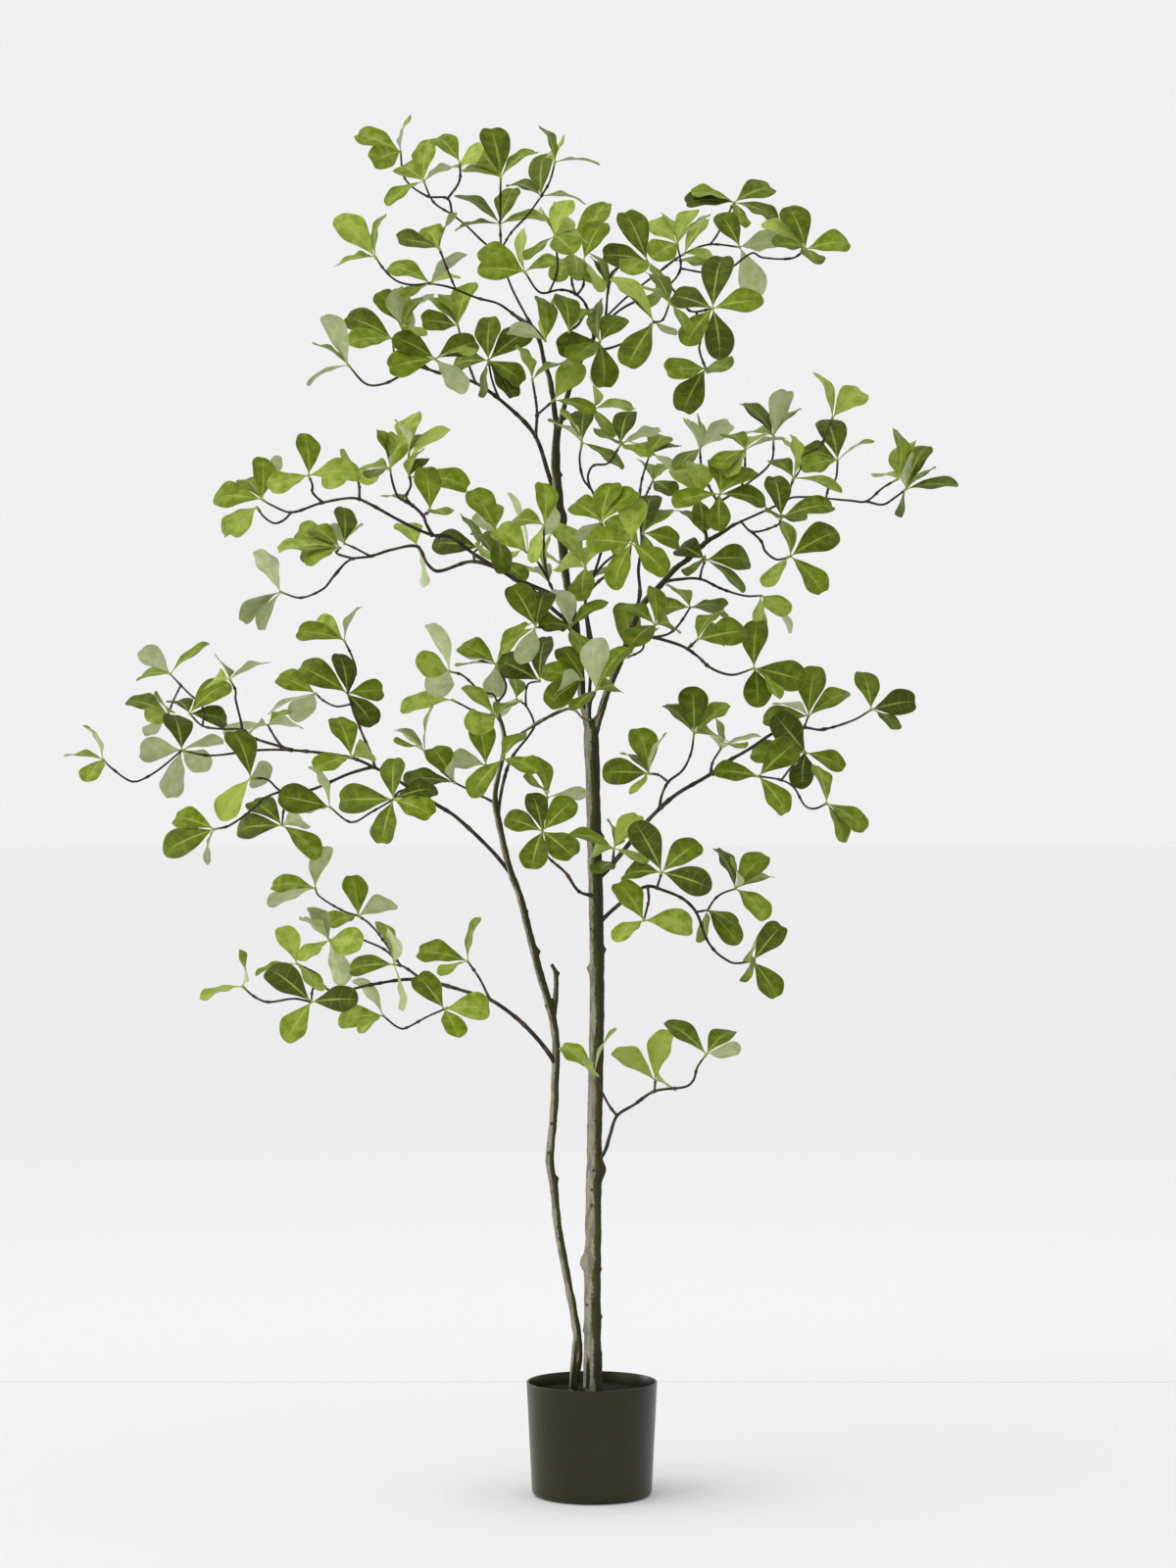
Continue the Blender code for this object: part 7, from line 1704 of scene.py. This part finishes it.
def filling_material():
    """Dark crumbly soil, its colour darkened further as painted shade inside the pot."""
    graph = Graph("filling_soil", 0.95, 0.2)
    crumbs = graph.noise(230, 5.0)
    flecks = graph.noise(620, 2.0)
    colour = graph.mix(graph.step(crumbs, 0.38, 0.66), (0.008, 0.007, 0.004), (0.022, 0.019, 0.012))
    colour = graph.mix(graph.step(flecks, 0.68, 0.76, 0.0, 0.5), colour, (0.05, 0.043, 0.03))
    graph.bump(crumbs, 2.0 * MM, 0.9)
    return graph.finish(colour)


# Studio

FLOOR_RADIUS = 60.0
FLOOR_SIDES = 64
# The floor's paint near the tree, brighter as painted light, and far off
FLOOR_NEAR = (0.835, 0.835, 0.835)
FLOOR_FAR = (0.762, 0.762, 0.764)
FLOOR_SEAM = (0.73, 0.73, 0.725)
SEAM_BEHIND = 1.09
SEAM_WIDTH = 0.012
SKY_COLOUR = (0.872, 0.872, 0.88)
KEY_FROM = Vector((-0.74, -0.32, 0.6))
KEY_STRENGTH = 1.1
KEY_ANGLE = 64
EDGE_FROM = Vector((-0.9, 0.42, 0.07))
EDGE_STRENGTH = 0.75
EDGE_ANGLE = 24


def make_floor():
    """A round floor that meets the sky in the same shade."""
    angles = 2 * math.pi * np.arange(FLOOR_SIDES) / FLOOR_SIDES
    rim = np.column_stack([np.cos(angles), np.sin(angles), np.zeros(FLOOR_SIDES)]) * FLOOR_RADIUS
    first = np.arange(FLOOR_SIDES)
    faces = np.column_stack([first, (first + 1) % FLOOR_SIDES, np.full(FLOOR_SIDES, FLOOR_SIDES)])
    points = np.concatenate([rim, [[0.0, 0.0, 0.0]]])
    mesh_piece("floor", points, faces, [floor_material()])


def floor_material():
    """Matt white paint, with painted light that makes it a little brighter round the tree, and a faint seam behind it.
    """
    graph = Graph("floor_paint", 1.0, 0.0)
    along, back, _ = graph.place()
    far = graph.maths("SQRT", graph.maths("ADD", graph.maths("POWER", along, 2.0), graph.maths("POWER", back, 2.0)))
    # Painted light: brighter paint near the tree, fading to the far paint between 1.5 and 7 m out
    colour = graph.mix(graph.step(far, 1.5, 7.0), FLOOR_NEAR, FLOOR_FAR)
    off = graph.maths("ABSOLUTE", graph.maths("SUBTRACT", back, SEAM_BEHIND))
    return graph.finish(graph.mix(graph.step(off, SEAM_WIDTH, 0.0), colour, FLOOR_SEAM))


def make_sun(name, from_side, strength, angle):
    data = bpy.data.lights.new(name, "SUN")
    data.energy = strength
    data.angle = math.radians(angle)
    sun = bpy.data.objects.new(name, data)
    sun.rotation_euler = (-from_side).to_track_quat("-Z", "Y").to_euler()
    bpy.context.scene.collection.objects.link(sun)


def make_studio():
    """An even white room with a wide soft light from the left, and a weaker one from behind the left side."""
    scene = bpy.context.scene
    scene.view_settings.view_transform = "Standard"
    world = bpy.data.worlds.new("studio")
    world.use_nodes = True
    sky = world.node_tree.nodes["Background"]
    sky.inputs["Color"].default_value = (*SKY_COLOUR, 1.0)
    sky.inputs["Strength"].default_value = 1.0
    scene.world = world
    make_sun("key", KEY_FROM, KEY_STRENGTH, KEY_ANGLE)
    make_sun("edge", EDGE_FROM, EDGE_STRENGTH, EDGE_ANGLE)


def make_camera():
    data = bpy.data.cameras.new("camera")
    data.sensor_width = SENSOR
    data.lens = SENSOR * FOCAL_PIXELS / PHOTO_HEIGHT
    camera = bpy.data.objects.new("camera", data)
    camera.location = EYE
    camera.rotation_euler = (math.pi / 2, 0.0, 0.0)
    bpy.context.scene.collection.objects.link(camera)
    bpy.context.scene.camera = camera


def seat(piece, slot, *nodes):
    """The piece hides the CAD parts of its nodes and moves with the tree; slot is not used."""
    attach(piece, "root")
    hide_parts(*nodes)


def main():
    make_camera()
    make_studio()
    make_floor()
    points, faces = turned(pot_profile(), POT_FINE_SIDES)
    seat(mesh_piece("pot_shell", points, faces, [pot_material()]), "pot_plastic", "pot")
    seat(make_filling(filling_material()), "filling", "potting_fill")
    bark = stem_material()
    stems = [TRUNK, LEFT_LEADER, RIGHT_LEADER, MIDDLE_PRONG, TOP_LEFT_LEADER, TOP_RIGHT_LEADER]
    trunk_bark = stem_piece("trunk_bark", stems + TRUNK_ROOTS + [CROSSING_TWIG], TRUNK_KNOTS, TRUNK_NUBS, bark)
    seat(trunk_bark, "bark", "trunk")
    side_stems = [SIDE_STEM, DEAD_STUB] + SIDE_STEM_ROOTS
    side_bark = stem_piece("side_stem_bark", side_stems, SIDE_STEM_KNOTS, SIDE_STEM_NUBS, bark)
    seat(side_bark, "bark", "side_stem")
    parents = [stem_curve(stem) for stem in stems + [SIDE_STEM]]
    twig_bark = twig_material()
    faces_of_leaf = [leaf_material("leaf_upper", LEAF_TONES, 0.5, 0.22),
                     leaf_material("leaf_under", UNDER_TONES, 0.62, 0.4)]
    chance = random.Random(11)
    sprays, obstacles = place_sprays()
    add_leaves(sprays, obstacles)
    for name, paths, leaves in sprays:
        twigs = twigs_piece(name + "_twigs", SPRAYS[name], paths, parents, twig_bark, chance)
        seat(twigs, "bark", name)
        blades = leaves_piece(name + "_leaves", leaves, faces_of_leaf, chance)
        seat(blades, "foliage", name)


main()
